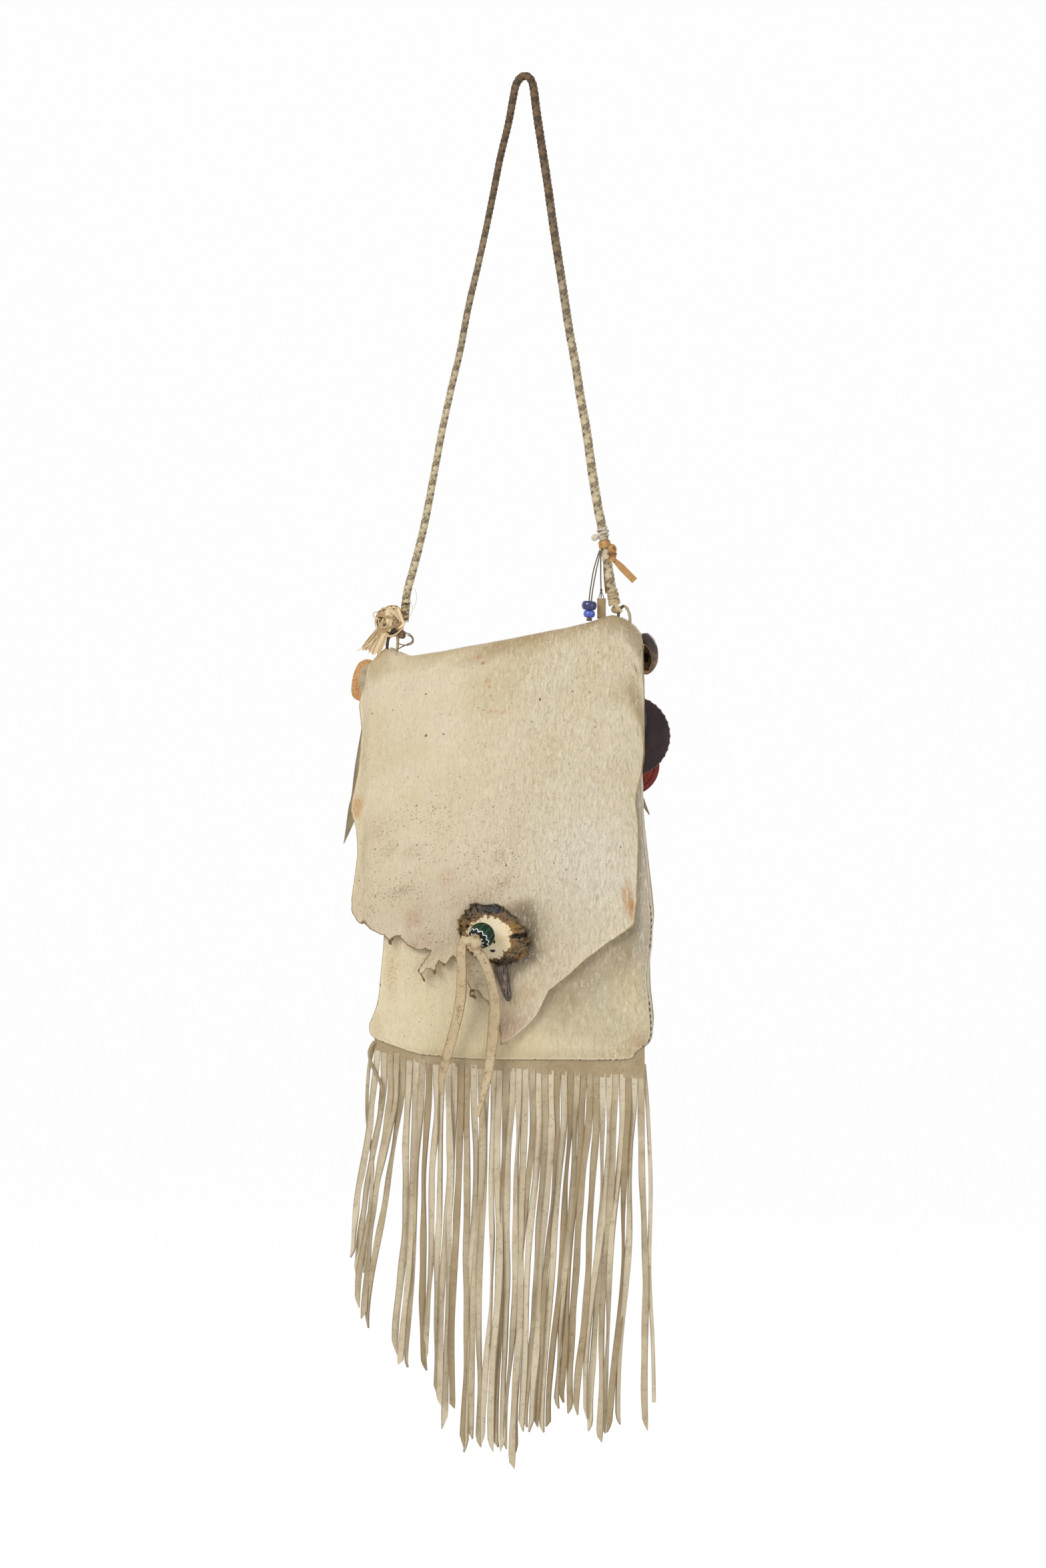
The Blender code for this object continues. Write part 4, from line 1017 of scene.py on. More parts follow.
@dataclass(frozen=True)
class StripedGlass:
    """Dark green glass with thin green lines along it and a white zigzag round each end."""

    name: str
    lines: int = 12
    points: int = 12

    def paint(self) -> Material:
        """Makes the finish. The mesh gives the turn and the place along the bead.

        Returns:
            The material.
        """
        paint = Paint(self.name)
        turn = paint.math("ARCTAN2", paint.number("over"), paint.number("around"))
        turn = paint.plus(paint.math("DIVIDE", turn, math.tau), 0.5)
        along = paint.number("share")
        wave = paint.math("PINGPONG", paint.times(turn, self.points), 0.5)
        arch = paint.math("POWER", paint.times(wave, 2.0), 0.7)
        body = paint.mix(paint.span(paint.noise(130, 3), 0.4, 0.7), shade(4, 22, 14), shade(10, 52, 32))
        step = paint.math("PINGPONG", paint.times(turn, self.lines), 0.5)
        uneven = paint.times(paint.noise(260, 2), 0.02)
        line = paint.span(paint.plus(step, uneven), 0.055, 0.030)
        paint.colour = paint.mix(line, body, shade(48, 132, 66))
        lips = ((along, 0.40, 0.20), (paint.times(along, -1.0), 0.74, 0.12))
        for place, start, rise in lips:
            lip = paint.plus(paint.times(arch, -rise), start + rise)
            lip = paint.plus(lip, paint.times(paint.noise(420, 2), 0.012))
            past = paint.minus(place, lip)
            paint.over(paint.span(past, -0.01, 0.02), shade(12, 14, 14))
            white = paint.times(paint.span(past, -0.035, -0.02), paint.span(past, 0.06, 0.04))
            paint.over(white, shade(236, 238, 232))
            second = paint.minus(past, 0.40)
            white = paint.times(paint.span(second, -0.04, -0.02), paint.span(second, 0.05, 0.03))
            paint.over(white, shade(228, 228, 220))
        normal = paint.bump(paint.noise(300, 2), 0.0003, 0.3)
        return paint.done(0.16, normal, Coat_Weight=0.1, Coat_Roughness=0.05, IOR=1.45,
                          Specular_IOR_Level=0.22)


@dataclass(frozen=True)
class Antler:
    """Sawn antler burr: brown knobbly rim round a cream, porous core."""

    name: str
    core: Place
    core_wide: float
    core_tall: float

    def paint(self) -> Material:
        """Makes the finish.

        Returns:
            The material.
        """
        paint = Paint(self.name)
        crust = paint.noise(260, 6, 0.75, (1, 1, 1), 1.1)
        dark = paint.mix(paint.span(crust, 0.40, 0.58), shade(38, 30, 23), shade(142, 118, 84))
        ochre = paint.span(paint.noise(110, 5, 0.65), 0.46, 0.60, 0, 0.85)
        rim = paint.mix(ochre, dark, shade(158, 122, 70))
        top = paint.spot((self.core[0] + 5, 0, self.core[2] + 19), 15, 8, 0.3, 0.5, 130)
        slate = paint.times(paint.span(paint.noise(150, 4, 0.6), 0.36, 0.56), top)
        rim = paint.mix(slate, rim, shade(74, 76, 80))
        rim = paint.mix(paint.span(paint.number("height"), 0.30, 0.74, 0.8, 0), rim, shade(38, 29, 22))
        soft = paint.span(paint.noise(60, 4), 0.4, 0.7)
        inside = paint.mix(soft, shade(243, 227, 192), shade(232, 205, 155))
        inside = paint.mix(paint.span(paint.noise(900, 3, 0.7), 0.56, 0.72, 0, 0.35), inside,
                           shade(196, 160, 110))
        core = paint.spot(self.core, self.core_wide, self.core_tall, 0.2, 0.025, 330)
        low = paint.spot((self.core[0] + 5, 0, self.core[2] - 18), 14, 5, 0.3, 0.6, 150)
        rim = paint.mix(paint.times(low, 0.7), rim, shade(46, 38, 34))
        warm = paint.spot(self.core, self.core_wide * 1.13, self.core_tall * 1.13, 0.16, 0.12, 200)
        rim = paint.mix(paint.times(warm, 0.6), rim, shade(170, 128, 74))
        paint.colour = paint.mix(core, rim, inside)
        x, _, z = self.core
        # Painted shade: dark spots for the holes in the core and a dark line in the rim's crack.
        for right, up, wide, tall in ((3.6, -3, 0.9, 1.5), (2.4, -9.8, 2, 1), (-16.3, 8.4, 1.6, 1.4)):
            hole = paint.spot((x + right, 0, z + up), wide, tall, 0.3, 0.25, 400)
            paint.over(hole, shade(38, 26, 17))
        crack = paint.spot((x + 21.0, 0, z + 1.0), 6.5, 1.7, 0.3, 0.3, 260)
        paint.over(paint.times(crack, 0.9), shade(24, 20, 19))
        normal = paint.bump(crust, 0.0016, 0.9)
        flat = paint.bump(paint.noise(700, 4, 0.7), 0.0003, 0.6)
        chosen = paint.add("ShaderNodeMix", data_type="VECTOR")
        paint.put(chosen, 0, core)
        paint.put(chosen, 4, normal)
        paint.put(chosen, 5, flat)
        return paint.done(0.7, chosen.outputs[1], Specular_IOR_Level=0.35)


@dataclass(frozen=True)
class Horn:
    """Dark horn with pale streaks along it."""

    name: str

    def paint(self) -> Material:
        """Makes the finish.

        Returns:
            The material.
        """
        paint = Paint(self.name)
        streak = paint.noise(1.0, 4, 0.6, (900, 900, 130), 0.3)
        paint.colour = paint.mix(paint.span(streak, 0.36, 0.64), shade(46, 39, 34), shade(122, 108, 97))
        wear_and_shade = paint.span(paint.noise(170, 3), 0.58, 0.72, 0, 0.5)
        paint.over(wear_and_shade, shade(160, 138, 122))
        return paint.done(0.5, paint.bump(streak, 0.0004, 0.6), Specular_IOR_Level=0.3)


@dataclass(frozen=True)
class Tooled:
    """Dyed leather with a fine pebble and rubbed edges."""

    name: str
    body: Colour
    wear_and_shade: Colour
    cut_edge: Colour
    rough: float = 0.6
    pebble: float = 750.0

    def paint(self) -> Material:
        """Makes the finish.

        Returns:
            The material.
        """
        paint = Paint(self.name)
        soft = paint.noise(70, 4, 0.6)
        paint.colour = paint.mix(paint.span(soft, 0.35, 0.7), self.body, self.wear_and_shade)
        paint.over(paint.span(paint.noise(700, 4, 0.7), 0.6, 0.75, 0, 0.35), self.cut_edge)
        paint.over(paint.span(paint.number("edge"), 0.5, 1.0, 0, 0.85), self.cut_edge)
        grain = paint.cells(self.pebble).outputs["Distance"]
        normal = paint.bump(grain, 0.0003, 0.7)
        normal = paint.bump(soft, 0.0008, 0.3, normal)
        return paint.done(self.rough, normal, Specular_IOR_Level=0.4)


@dataclass(frozen=True)
class Enamel:
    """Dark teal enamel with a dulled skin and pits."""

    name: str

    def paint(self) -> Material:
        """Makes the finish.

        Returns:
            The material.
        """
        paint = Paint(self.name)
        patch = paint.noise(120, 4, 0.6)
        paint.colour = paint.mix(paint.span(patch, 0.35, 0.65), shade(26, 35, 37), shade(50, 64, 65))
        paint.over(paint.specks(600, 0.35, 0.3), shade(20, 22, 22))
        rough = paint.span(patch, 0.3, 0.7, 0.25, 0.5)
        return paint.done(rough, paint.bump(patch, 0.0004, 0.4), Coat_Weight=0.12,
                          Coat_Roughness=0.15, Specular_IOR_Level=0.3)


@dataclass(frozen=True)
class Hull:
    """Dried nut hull: shiny purple-brown skin, brown fibrous inside and a tan lip."""

    name: str
    tan_below: Point = (-0.4235, -0.4285)
    hollow: Place = (91.5, 0, -431.5)

    def paint(self) -> Material:
        """Makes the finish. The mesh says where its inside is.

        Returns:
            The material.
        """
        paint = Paint(self.name)
        patch = paint.noise(130, 4, 0.6)
        skin = paint.mix(paint.span(patch, 0.4, 0.7), shade(40, 20, 20), shade(70, 40, 34))
        height = paint.axes()[2]
        low = paint.plus(height, paint.times(patch, 0.006))
        fibre = paint.span(paint.noise(300, 5, 0.7), 0.4, 0.66)
        tan = paint.mix(fibre, shade(70, 50, 30), shade(138, 112, 74))
        skin = paint.mix(paint.span(low, *self.tan_below), skin, tan)
        pith = paint.mix(paint.span(paint.noise(380, 5, 0.7), 0.35, 0.65), shade(92, 68, 42),
                         shade(156, 128, 86))
        # Painted shade: a near-black spot for the hole in the hull's inside.
        pith = paint.mix(paint.spot(self.hollow, 2.6, 4.2, 0.25, 0.3, 300), pith, shade(20, 14, 11))
        inside = paint.number("inside")
        paint.colour = paint.mix(paint.span(inside, 0.5, 1.0), skin, pith)
        lip = paint.times(paint.span(inside, 0.05, 0.45), paint.span(inside, 0.95, 0.6))
        paint.over(lip, shade(184, 156, 112))
        rough = paint.span(inside, 0.2, 0.6, 0.42, 0.85)
        return paint.done(rough, paint.bump(patch, 0.0008, 0.6), Specular_IOR_Level=0.5)


@dataclass(frozen=True)
class BranchSlice:
    """Slice of a branch: grey-green sawn face and an orange-tan rim with short grain lines."""

    name: str

    def paint(self) -> Material:
        """Makes the finish. The mesh says where the rim is and where the rings lie.

        Returns:
            The material.
        """
        paint = Paint(self.name)
        face = paint.mix(paint.span(paint.noise(140, 4), 0.35, 0.7), shade(212, 202, 172),
                         shade(186, 172, 138))
        grain = paint.noise(1.0, 3, 0.6, (900, 160, 900), 0.2)
        rim = paint.mix(paint.span(grain, 0.36, 0.66), shade(224, 176, 122), shade(184, 128, 76))
        rim = paint.mix(paint.span(paint.noise(60, 3), 0.5, 0.7, 0, 0.4), rim, shade(196, 126, 70))
        paint.colour = paint.mix(paint.span(paint.number("rim"), 0.35, 0.65), face, rim)
        rings = paint.span(paint.number("ring"), 0.4, 0.6, 0, 0.25)
        paint.over(rings, shade(120, 98, 66))
        return paint.done(0.7, paint.bump(grain, 0.0005, 0.6), Specular_IOR_Level=0.3)


def pale_surface(name: str, glow: float, share: float) -> Material:
    """Makes a pale surface that the camera and reflections see as white, with its shadows kept.

    Args:
        name: The material's name.
        glow: How bright it looks to the camera, where 1 is white.
        share: How much of what the camera sees is that plain white.

    Returns:
        The material.
    """
    paint = Paint(name)
    paint.colour = paint.mix(paint.noise(2.0, 2), (0.86, 0.86, 0.86, 1.0), (0.83, 0.83, 0.83, 1.0))
    paint.done(0.9)
    light = paint.add("ShaderNodeEmission")
    paint.put(light, "Strength", glow)
    path = paint.add("ShaderNodeLightPath")
    seen = paint.plus(path.outputs["Is Camera Ray"], path.outputs["Is Glossy Ray"])
    seen = paint.math("ADD", seen, path.outputs["Is Transmission Ray"], True)
    both = paint.add("ShaderNodeMixShader")
    paint.put(both, 0, paint.times(seen, share))
    paint.put(both, 1, paint.shader.outputs[0])
    paint.put(both, 2, light.outputs[0])
    paint.tree.links.new(both.outputs[0], paint.output.inputs["Surface"])
    return paint.material


# The bag's hide

def divided(outline: Sequence[Point], step: float) -> list[Point]:
    """Divides an outline's long edges.

    Args:
        outline: A closed outline.
        step: The most that two of its points may be apart.

    Returns:
        The outline with more points.
    """
    found = []
    for (x0, z0), (x1, z1) in zip(outline, [*outline[1:], outline[0]]):
        count = max(1, math.ceil(math.hypot(x1 - x0, z1 - z0) / step))
        found += [(x0 + (x1 - x0) * k / count, z0 + (z1 - z0) * k / count) for k in range(count)]
    return found


def rounded_line(line: Sequence[Point], step: float) -> list[Point]:
    """Follows a smooth curve through an open line of (x, z) points."""
    return [(p.x, p.z) for p in even([(x, 0.0, z) for x, z in line], step)]


def edge_distance(points: np.ndarray, outline: Sequence[Point]) -> np.ndarray:
    """Measures how far points lie from an outline.

    Args:
        points: An array of (x, z).
        outline: A closed outline.

    Returns:
        The distance of each point.
    """
    start = np.array(outline)
    run = np.roll(start, -1, axis=0) - start
    long = np.maximum((run**2).sum(1), 1e-12)
    found = []
    for some in np.array_split(points, max(1, len(points) // 1500)):
        way = some[:, None, :] - start[None]
        t = np.clip((way * run).sum(2) / long, 0, 1)
        found.append(np.sqrt(((way - t[..., None] * run) ** 2).sum(2)).min(1))
    return np.concatenate(found)


def enclosed(points: np.ndarray, outline: Sequence[Point]) -> np.ndarray:
    """Tells which points lie inside an outline.

    Args:
        points: An array of (x, z).
        outline: A closed outline.

    Returns:
        One truth value for each point.
    """
    found = np.zeros(len(points), bool)
    x, z = points[:, 0], points[:, 1]
    for (x0, z0), (x1, z1) in zip(outline, [*outline[1:], outline[0]]):
        if z0 != z1:
            found ^= ((z0 > z) != (z1 > z)) & (x < x0 + (z - z0) * (x1 - x0) / (z1 - z0))
    return found


class CutSheet:
    """A flat piece cut to an outline, divided into small triangles. Its plane is in millimetres."""

    def __init__(self, outline: Sequence[Point], step: float,
                 holes: Sequence[Sequence[Point]] = ()) -> None:
        """Divides the piece.

        Args:
            outline: Its closed outline.
            step: About how long the triangles' sides are.
            holes: The outlines of its holes.
        """
        edge = divided(outline, step)
        low, high = np.min(edge, axis=0), np.max(edge, axis=0)
        rows = np.arange(low[1] + step / 2, high[1], step * 0.87)
        grid = np.array([
            (x, z) for i, z in enumerate(rows)
            for x in np.arange(low[0] + step * (0.5 + 0.5 * (i % 2)), high[0], step)
        ])
        grid = grid[enclosed(grid, edge)]
        grid = grid[edge_distance(grid, edge) > 0.5 * step]
        for hole in holes:
            near = edge_distance(grid, hole) < 0.45 * step
            grid = grid[~(near | enclosed(grid, hole))]
        places, borders, count = [Vector(p) for p in edge], [], len(edge)
        for hole in holes:
            borders += [(count + k, count + (k + 1) % len(hole)) for k in range(len(hole))]
            places += [Vector(p) for p in hole]
            count += len(hole)
        places += [Vector(p) for p in grid]
        made = delaunay_2d_cdt(places, borders, [tuple(range(len(edge)))], 1, 1e-6)
        self.points = np.array([tuple(p) for p in made[0]])
        faces = np.array([tuple(f) for f in made[2]])
        middles = self.points[faces].mean(axis=1)
        for hole in holes:
            kept = ~enclosed(middles, hole)
            faces, middles = faces[kept], middles[kept]
        self.faces = [tuple(int(i) for i in f) for f in faces]
        self.edge = edge_distance(self.points, outline)
        corners = self.points[faces]
        one, two = corners[:, 1] - corners[:, 0], corners[:, 2] - corners[:, 0]
        self.area = float(np.abs(one[:, 0] * two[:, 1] - one[:, 1] * two[:, 0]).sum() / 2) * MM * MM

    def form(self, outer: Sequence[Place], inner: Sequence[Place], **data: Sequence[float]) -> Form:
        """Gives the piece its two faces and its rim.

        Args:
            outer: Where each point of its outer face is, in millimetres.
            inner: Where each point of its inner face is, in millimetres.
            data: Numbers for each point of one face.

        Returns:
            The form, in metres.
        """
        count = len(self.points)
        sides = {(f[k], f[(k + 1) % 3]) for f in self.faces for k in range(3)}
        rim = [(b, a, a + count, b + count) for a, b in sides if (b, a) not in sides]
        far = [(c + count, b + count, a + count) for a, b, c in self.faces]
        places = metres([*outer, *inner])
        numbers = {name: [float(v) for v in values] * 2 for name, values in data.items()}
        return Form().take(places, self.faces + far + rim, **numbers)


@dataclass
class BagForm:
    """The surfaces that every hide piece follows. Millimetres, as seen from the front."""

    hide: float = 2.0
    touch: float = 0.3
    lid_clearance: float = 0.5
    fold_left: Point = (-85.5, -431.5)
    fold_right: Point = (47.5, -406.0)
    fold_radius: float = 8.0
    front_swell: float = 10.0
    back_swell: float = 12.0
    swell_drop: float = 210.0
    seam_swell: float = 0.73
    edge_swell: float = 0.45
    swell_middle: float = -10.0
    swell_width: float = 85.0
    bag_height: float = 310.0
    crown_line: tuple[Point, ...] = (
        (-122, -447), (-119.5, -441.5), (-116, -436.5), (-110, -430), (-103.5, -424.3), (-98.5, -424.9),
        (-94, -427.8), (-85.5, -431.3), (-61, -427.4), (-14.5, -418.8), (30, -410.2), (47.5, -406),
        (54, -404), (59, -402), (65.5, -400.6), (71.5, -401.6), (78, -405), (83, -409), (87.5, -414.5),
        (89.5, -426),
    )

    def fold_slope(self) -> float:
        """Gives how much the fold rises to the right."""
        return (self.fold_right[1] - self.fold_left[1]) / (self.fold_right[0] - self.fold_left[0])

    def fold_axis(self, x: float) -> float:
        """Gives the height of the middle of the fold's roll."""
        return self.fold_left[1] + self.fold_slope() * (x - self.fold_left[0]) - self.fold_radius

    def crown(self, x: float) -> float:
        """Gives the height of the hide's highest line, with its two raised corners."""
        return read_line(self.crown_line, x)

    def roll_axis(self, x: float) -> float:
        """Gives the roll's middle where the corners droop as well."""
        return min(self.fold_axis(x), self.crown(x) - self.fold_radius)

    def roll_length(self) -> float:
        """Gives the hide's length round the fold."""
        return math.pi * self.fold_radius

    def swell(self, x: float, z: float) -> float:
        """Gives the share of the full swell at a place.

        Args:
            x: The place from left to right.
            z: Its height.

        Returns:
            None at the fold, most at the belly, less at the edges.
        """
        down = max(0.0, self.roll_axis(x) - z) / self.swell_drop
        if down < 1:
            share = down * down * (3 - 2 * down)
        else:
            past = (down - 1) * self.swell_drop / (self.bag_height - self.swell_drop)
            share = 1 - (1 - self.seam_swell) * min(1.3, past) ** 2
        across = math.exp(-(((x - self.swell_middle) / self.swell_width) ** 2))
        return share * (self.edge_swell + (1 - self.edge_swell) * across)

    def lid_face(self, x: float, z: float) -> float:
        """Gives how far forward the lid's outer face is."""
        return -(self.fold_radius + self.front_swell * self.swell(x, min(z, self.roll_axis(x))))

    def front_face(self, x: float, z: float) -> float:
        """Gives how far forward the front panel's outer face is."""
        return self.lid_face(x, z) + self.hide + self.lid_clearance

    def front_inside(self, x: float, z: float) -> float:
        """Gives where the front panel's inner face is."""
        return self.front_face(x, z) + self.hide

    def back_face(self, x: float, z: float) -> float:
        """Gives how far back the back panel's outer face is."""
        return self.fold_radius + self.back_swell * self.swell(x, z)

    def flat_place(self, x: float, z: float) -> Point:
        """Gives the place on the cut hide of a place on the lid."""
        return x, 2 * self.roll_axis(x) + self.roll_length() - z

    def on_hide(self, x: float, s: float, depth: float) -> Place:
        """Bends the cut hide over the fold.

        Args:
            x: The place across the hide.
            s: The place along it, from the back over the fold to the lid.
            depth: How far under the outer face.

        Returns:
            Where it is on the bag.
        """
        axis, radius = self.roll_axis(x), self.fold_radius
        if s <= axis:
            return (x, self.back_face(x, s) - depth, s)
        if s < axis + self.roll_length():
            turn = (s - axis) / radius
            high = self.crown(x) - axis
            return (x, (radius - depth) * math.cos(turn), axis + (high - depth) * math.sin(turn))
        z = 2 * axis + self.roll_length() - s
        return (x, self.lid_face(x, z) + depth, z)


PANEL_EDGE: list[Point] = [
    (-101, -462), (-103.5, -520), (-104.5, -600), (-105.5, -642), (-107.5, -665),
    (-110, -689), (-114, -701.5), (-116.5, -707.5), (-115, -715), (-108, -719.5),
    (-95.5, -724), (-80, -729), (-60.5, -731), (-32, -733), (16, -733.5),
    (73.5, -733.5), (83, -727.5), (92, -720), (94, -711), (92.5, -689),
    (91, -670), (93.5, -645), (94, -625), (91, -593), (87.5, -553.5),
    (85.5, -500), (81.5, -450), (77.5, -428),
]
BOTTOM_LINE = PANEL_EDGE[8:18]


@dataclass
class Hide:
    """The one hide that makes the back, turns over the mouth and hangs down in front as the lid."""

    form: BagForm
    step: float = 2.4
    thick: float = 1.7
    back_left: tuple[Point, ...] = ((-114.0, -455.0), (-108.0, -482.0))
    back_right: tuple[Point, ...] = (
        (94.5, -718), (97, -705), (96.5, -697), (94.5, -676), (94.5, -651), (97, -630),
        (96.5, -615), (92.5, -579.5), (88.5, -540), (86.5, -500), (86.5, -460), (88.5, -438),
    )
    lid_edge: tuple[Point, ...] = (
        (-121.5, -450), (-124, -468.5), (-122, -488), (-124.5, -517), (-129.5, -540),
        (-130, -547), (-126, -561.5), (-125, -579), (-127.5, -598), (-129.5, -612.5),
        (-129, -622), (-126, -629), (-118, -633), (-111.5, -638), (-104.5, -641),
        (-100, -647.5), (-97.5, -642), (-94, -640.5), (-89.5, -646), (-85.5, -649),
        (-79, -651.5), (-73.5, -650), (-70.5, -651.5), (-73, -657), (-77.5, -662),
        (-79.5, -667.5), (-77.5, -670.5), (-74.3, -674.5), (-76.2, -668), (-73, -665.2),
        (-69.6, -666), (-66.8, -669.8), (-66, -664), (-64.3, -658.7), (-62, -659.8),
        (-60.4, -661.9), (-56.5, -659.6), (-53.2, -655), (-47.5, -666), (-43.5, -673.5),
        (-41, -679), (-40.6, -685.6), (-37.4, -688.3), (-35.6, -686.4), (-37.8, -684),
        (-37.2, -681), (-33.8, -682.7), (-30, -687.6), (-27.5, -689),
        (-25.5, -698.5), (-18.5, -708), (-18.5, -722.5), (-9.5, -717), (3, -706.5),
        (9.5, -698.5), (17.5, -681.5), (32, -670), (44.5, -658.5), (60.5, -646.5),
        (79.5, -634), (81.5, -631.5), (83, -615.5), (84.5, -577.5), (84.5, -559.5),
        (82.5, -541.5), (83, -535), (87.5, -519), (89.5, -505.5), (89.5, -467),
    )
    tie_holes: tuple[Point, ...] = ((-102.6, 1.7), (-95.4, 1.7), (70.9, 1.7), (78.1, 1.7))
    tie_slot: float = 4.0
    left_end: float = -115.5
    left_lean: float = 4.0
    right_end: float = 88.6
    right_bulge: float = 0.4
    fold_steps: int = 8
    tip: Point = (-18.5, -722.5)
    scrap: Point = (-72, -663)
    rosette: tuple[float, float, float] = (-22.5, -639.5, 27.0)

    def torn(self, x: float, z: float) -> float:
        """Gives how torn the lid's edge is near a place."""
        return ease(-604, -632, z) * ease(-8, -24, x)

    def rough_edge(self) -> list[Point]:
        """Gives the lid's edge its small unevenness.

        Returns:
            The edge, from the top left round to the top right.
        """
        found, line = [], divided(self.lid_edge, 1.5)
        line = line[: line.index(self.lid_edge[-1]) + 1]
        for i, (x, z) in enumerate(line):
            before, after = line[max(0, i - 1)], line[min(len(line) - 1, i + 1)]
            long = math.hypot(after[0] - before[0], after[1] - before[1]) or 1.0
            out = ((after[1] - before[1]) / long, -(after[0] - before[0]) / long)
            here = Vector((x / 4.2, z / 4.2, 3.1))
            size = 0.25 + 1.15 * self.torn(x, z)
            push = size * (noise.noise(here) + 0.55 * noise.noise(here * 2.7))
            found.append((x + out[0] * push, z + out[1] * push))
        return found

    def outline(self) -> list[Point]:
        """Gives the outline of the cut hide.

        Returns:
            A closed outline in the hide's own plane.
        """
        form, steps, left = self.form, self.fold_steps, self.left_end
        edge = [(left, form.roll_axis(left)), *self.back_left, *PANEL_EDGE[1:17], *self.back_right]
        edge = rounded_line(edge, 3.0)
        edge += [
            (self.right_end + self.right_bulge * math.sin(math.pi * k / steps),
             form.roll_axis(self.right_end + self.right_bulge / 2) + form.roll_length() * k / steps)
            for k in range(steps + 1)
        ]
        edge += [form.flat_place(x, z) for x, z in self.rough_edge()[::-1]]
        edge += [
            (left - self.left_lean * k / steps,
             form.roll_axis(left - self.left_lean / 2) + form.roll_length() * k / steps)
            for k in range(steps, 0, -1)
        ]
        return edge

    def relief(self, x: float, s: float, edge: float) -> float:
        """Gives how far the hide's outer face stands out from the plain form.

        Args:
            x: The place across the hide.
            s: The place along it.
            edge: How far it is from the edge.

        Returns:
            The distance, outwards.
        """
        form, axis = self.form, self.form.roll_axis(x)
        soft = lump(x / 46, s / 62, 0.4)
        fine = lump(x / 13, s / 41, 7.7)
        if s < axis:
            tight = ease(40, 70, x) + ease(-85, -105, x) * ease(-520, -480, s)
            return (0.9 * soft + 0.45 * fine) * (1 - 0.85 * min(1.0, tight)) * ease(0, 25, axis - s)
        if s < axis + form.roll_length():
            return 0.25 * fine
        z = 2 * axis + form.roll_length() - s
        down = ease(0, 30, axis - z)
        right = ease(-20, 45, x)
        drawn = lump(x / 7.5 + 0.8 * soft, z / 75, 2.2)
        lift = 0.35 + down * (0.9 * soft + 0.4 * fine + 0.35 * right * drawn)
        near = math.hypot(x - self.rosette[0], z - self.rosette[1]) / self.rosette[2]
        lift *= ease(0.9, 1.7, near)
        torn = self.torn(x, z) * ease(0.9, 1.3, near)
        curl = lump(x / 15, z / 15, 5.5)
        lift += torn * (0.6 + 2.2 * max(0.0, curl + 0.35)) * ease(11, 0, edge) * 1.3
        diagonal = ease(-640, -660, z) * ease(-30, 0, x) + ease(-600, -640, z) * ease(60, 75, x)
        lift += min(1.0, diagonal) * 1.9 * ease(22, 0, edge)
        lift += 0.9 * ease(7, 0, edge) * down
        lift += 2.6 * ease(18, 0, math.hypot(x - self.tip[0], z - self.tip[1]))
        scrap = ease(13, 3, math.hypot(x - self.scrap[0], z - self.scrap[1]))
        return max(-0.35, lift + 3.4 * scrap * ease(-651, -668, z))

    def build(self) -> None:
        """Makes the hide, which rides on no body."""
        form = self.form
        holes = [
            [(x + half * math.cos(a), form.roll_axis(x) + form.roll_length() / 2
              + self.tie_slot * math.sin(a)) for a in np.linspace(0, 2 * math.pi, 14, endpoint=False)]
            for x, half in self.tie_holes
        ]
        sheet = CutSheet(self.outline(), self.step, holes)
        outer, inner, torn = [], [], []
        for (x, s), edge in zip(sheet.points, sheet.edge):
            lift = self.relief(x, s, edge)
            thin = self.thick * (0.45 + 0.55 * ease(0, 2.5, edge))
            outer.append(form.on_hide(x, s, -lift))
            inner.append(form.on_hide(x, s, thin - lift))
            z = 2 * form.roll_axis(x) + form.roll_length() - s
            # On the lid's upper right edge the torn value is raised to paint a dark shadow line along that
            # edge.
            dark = max(self.torn(x, z), 0.8 * ease(78, 84, x) * ease(-535, -500, z))
            torn.append(dark if s > form.roll_axis(x) + form.roll_length() else 0.0)
        made = sheet.form(outer, inner, edge=np.clip(sheet.edge / 3.5, 0, 1), torn=torn)
        mesh = made.mesh("hide", 60)
        flat = mesh.attributes.new("flat", "FLOAT_VECTOR", "POINT")
        both = np.tile(np.column_stack([sheet.points[:, 0], np.zeros(len(sheet.points)),
                                        sheet.points[:, 1]]) * MM, (2, 1))
        flat.data.foreach_set("vector", both.ravel())
        under = mesh.attributes.new("under", "FLOAT", "POINT")
        under.data.foreach_set("value", np.repeat([0.0, 1.0], len(sheet.points)))
        # The band of painted shade along the fold's crown lies at this height round the roll.
        axis = form.fold_axis(0.0) + form.roll_length() * 0.54
        finish = Buckskin("hide_finish", stains_and_shade=HIDE_STAINS_AND_SHADE, follows="flat", speckled=1.0,
                          crown=(form.fold_slope(), axis * MM, 0.017))
        piece = show("hide", mesh, finish.paint(form.flat_place), None, ("back_panel", "lid"))
        hinge = form.fold_axis(0.0) * MM
        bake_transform(piece)
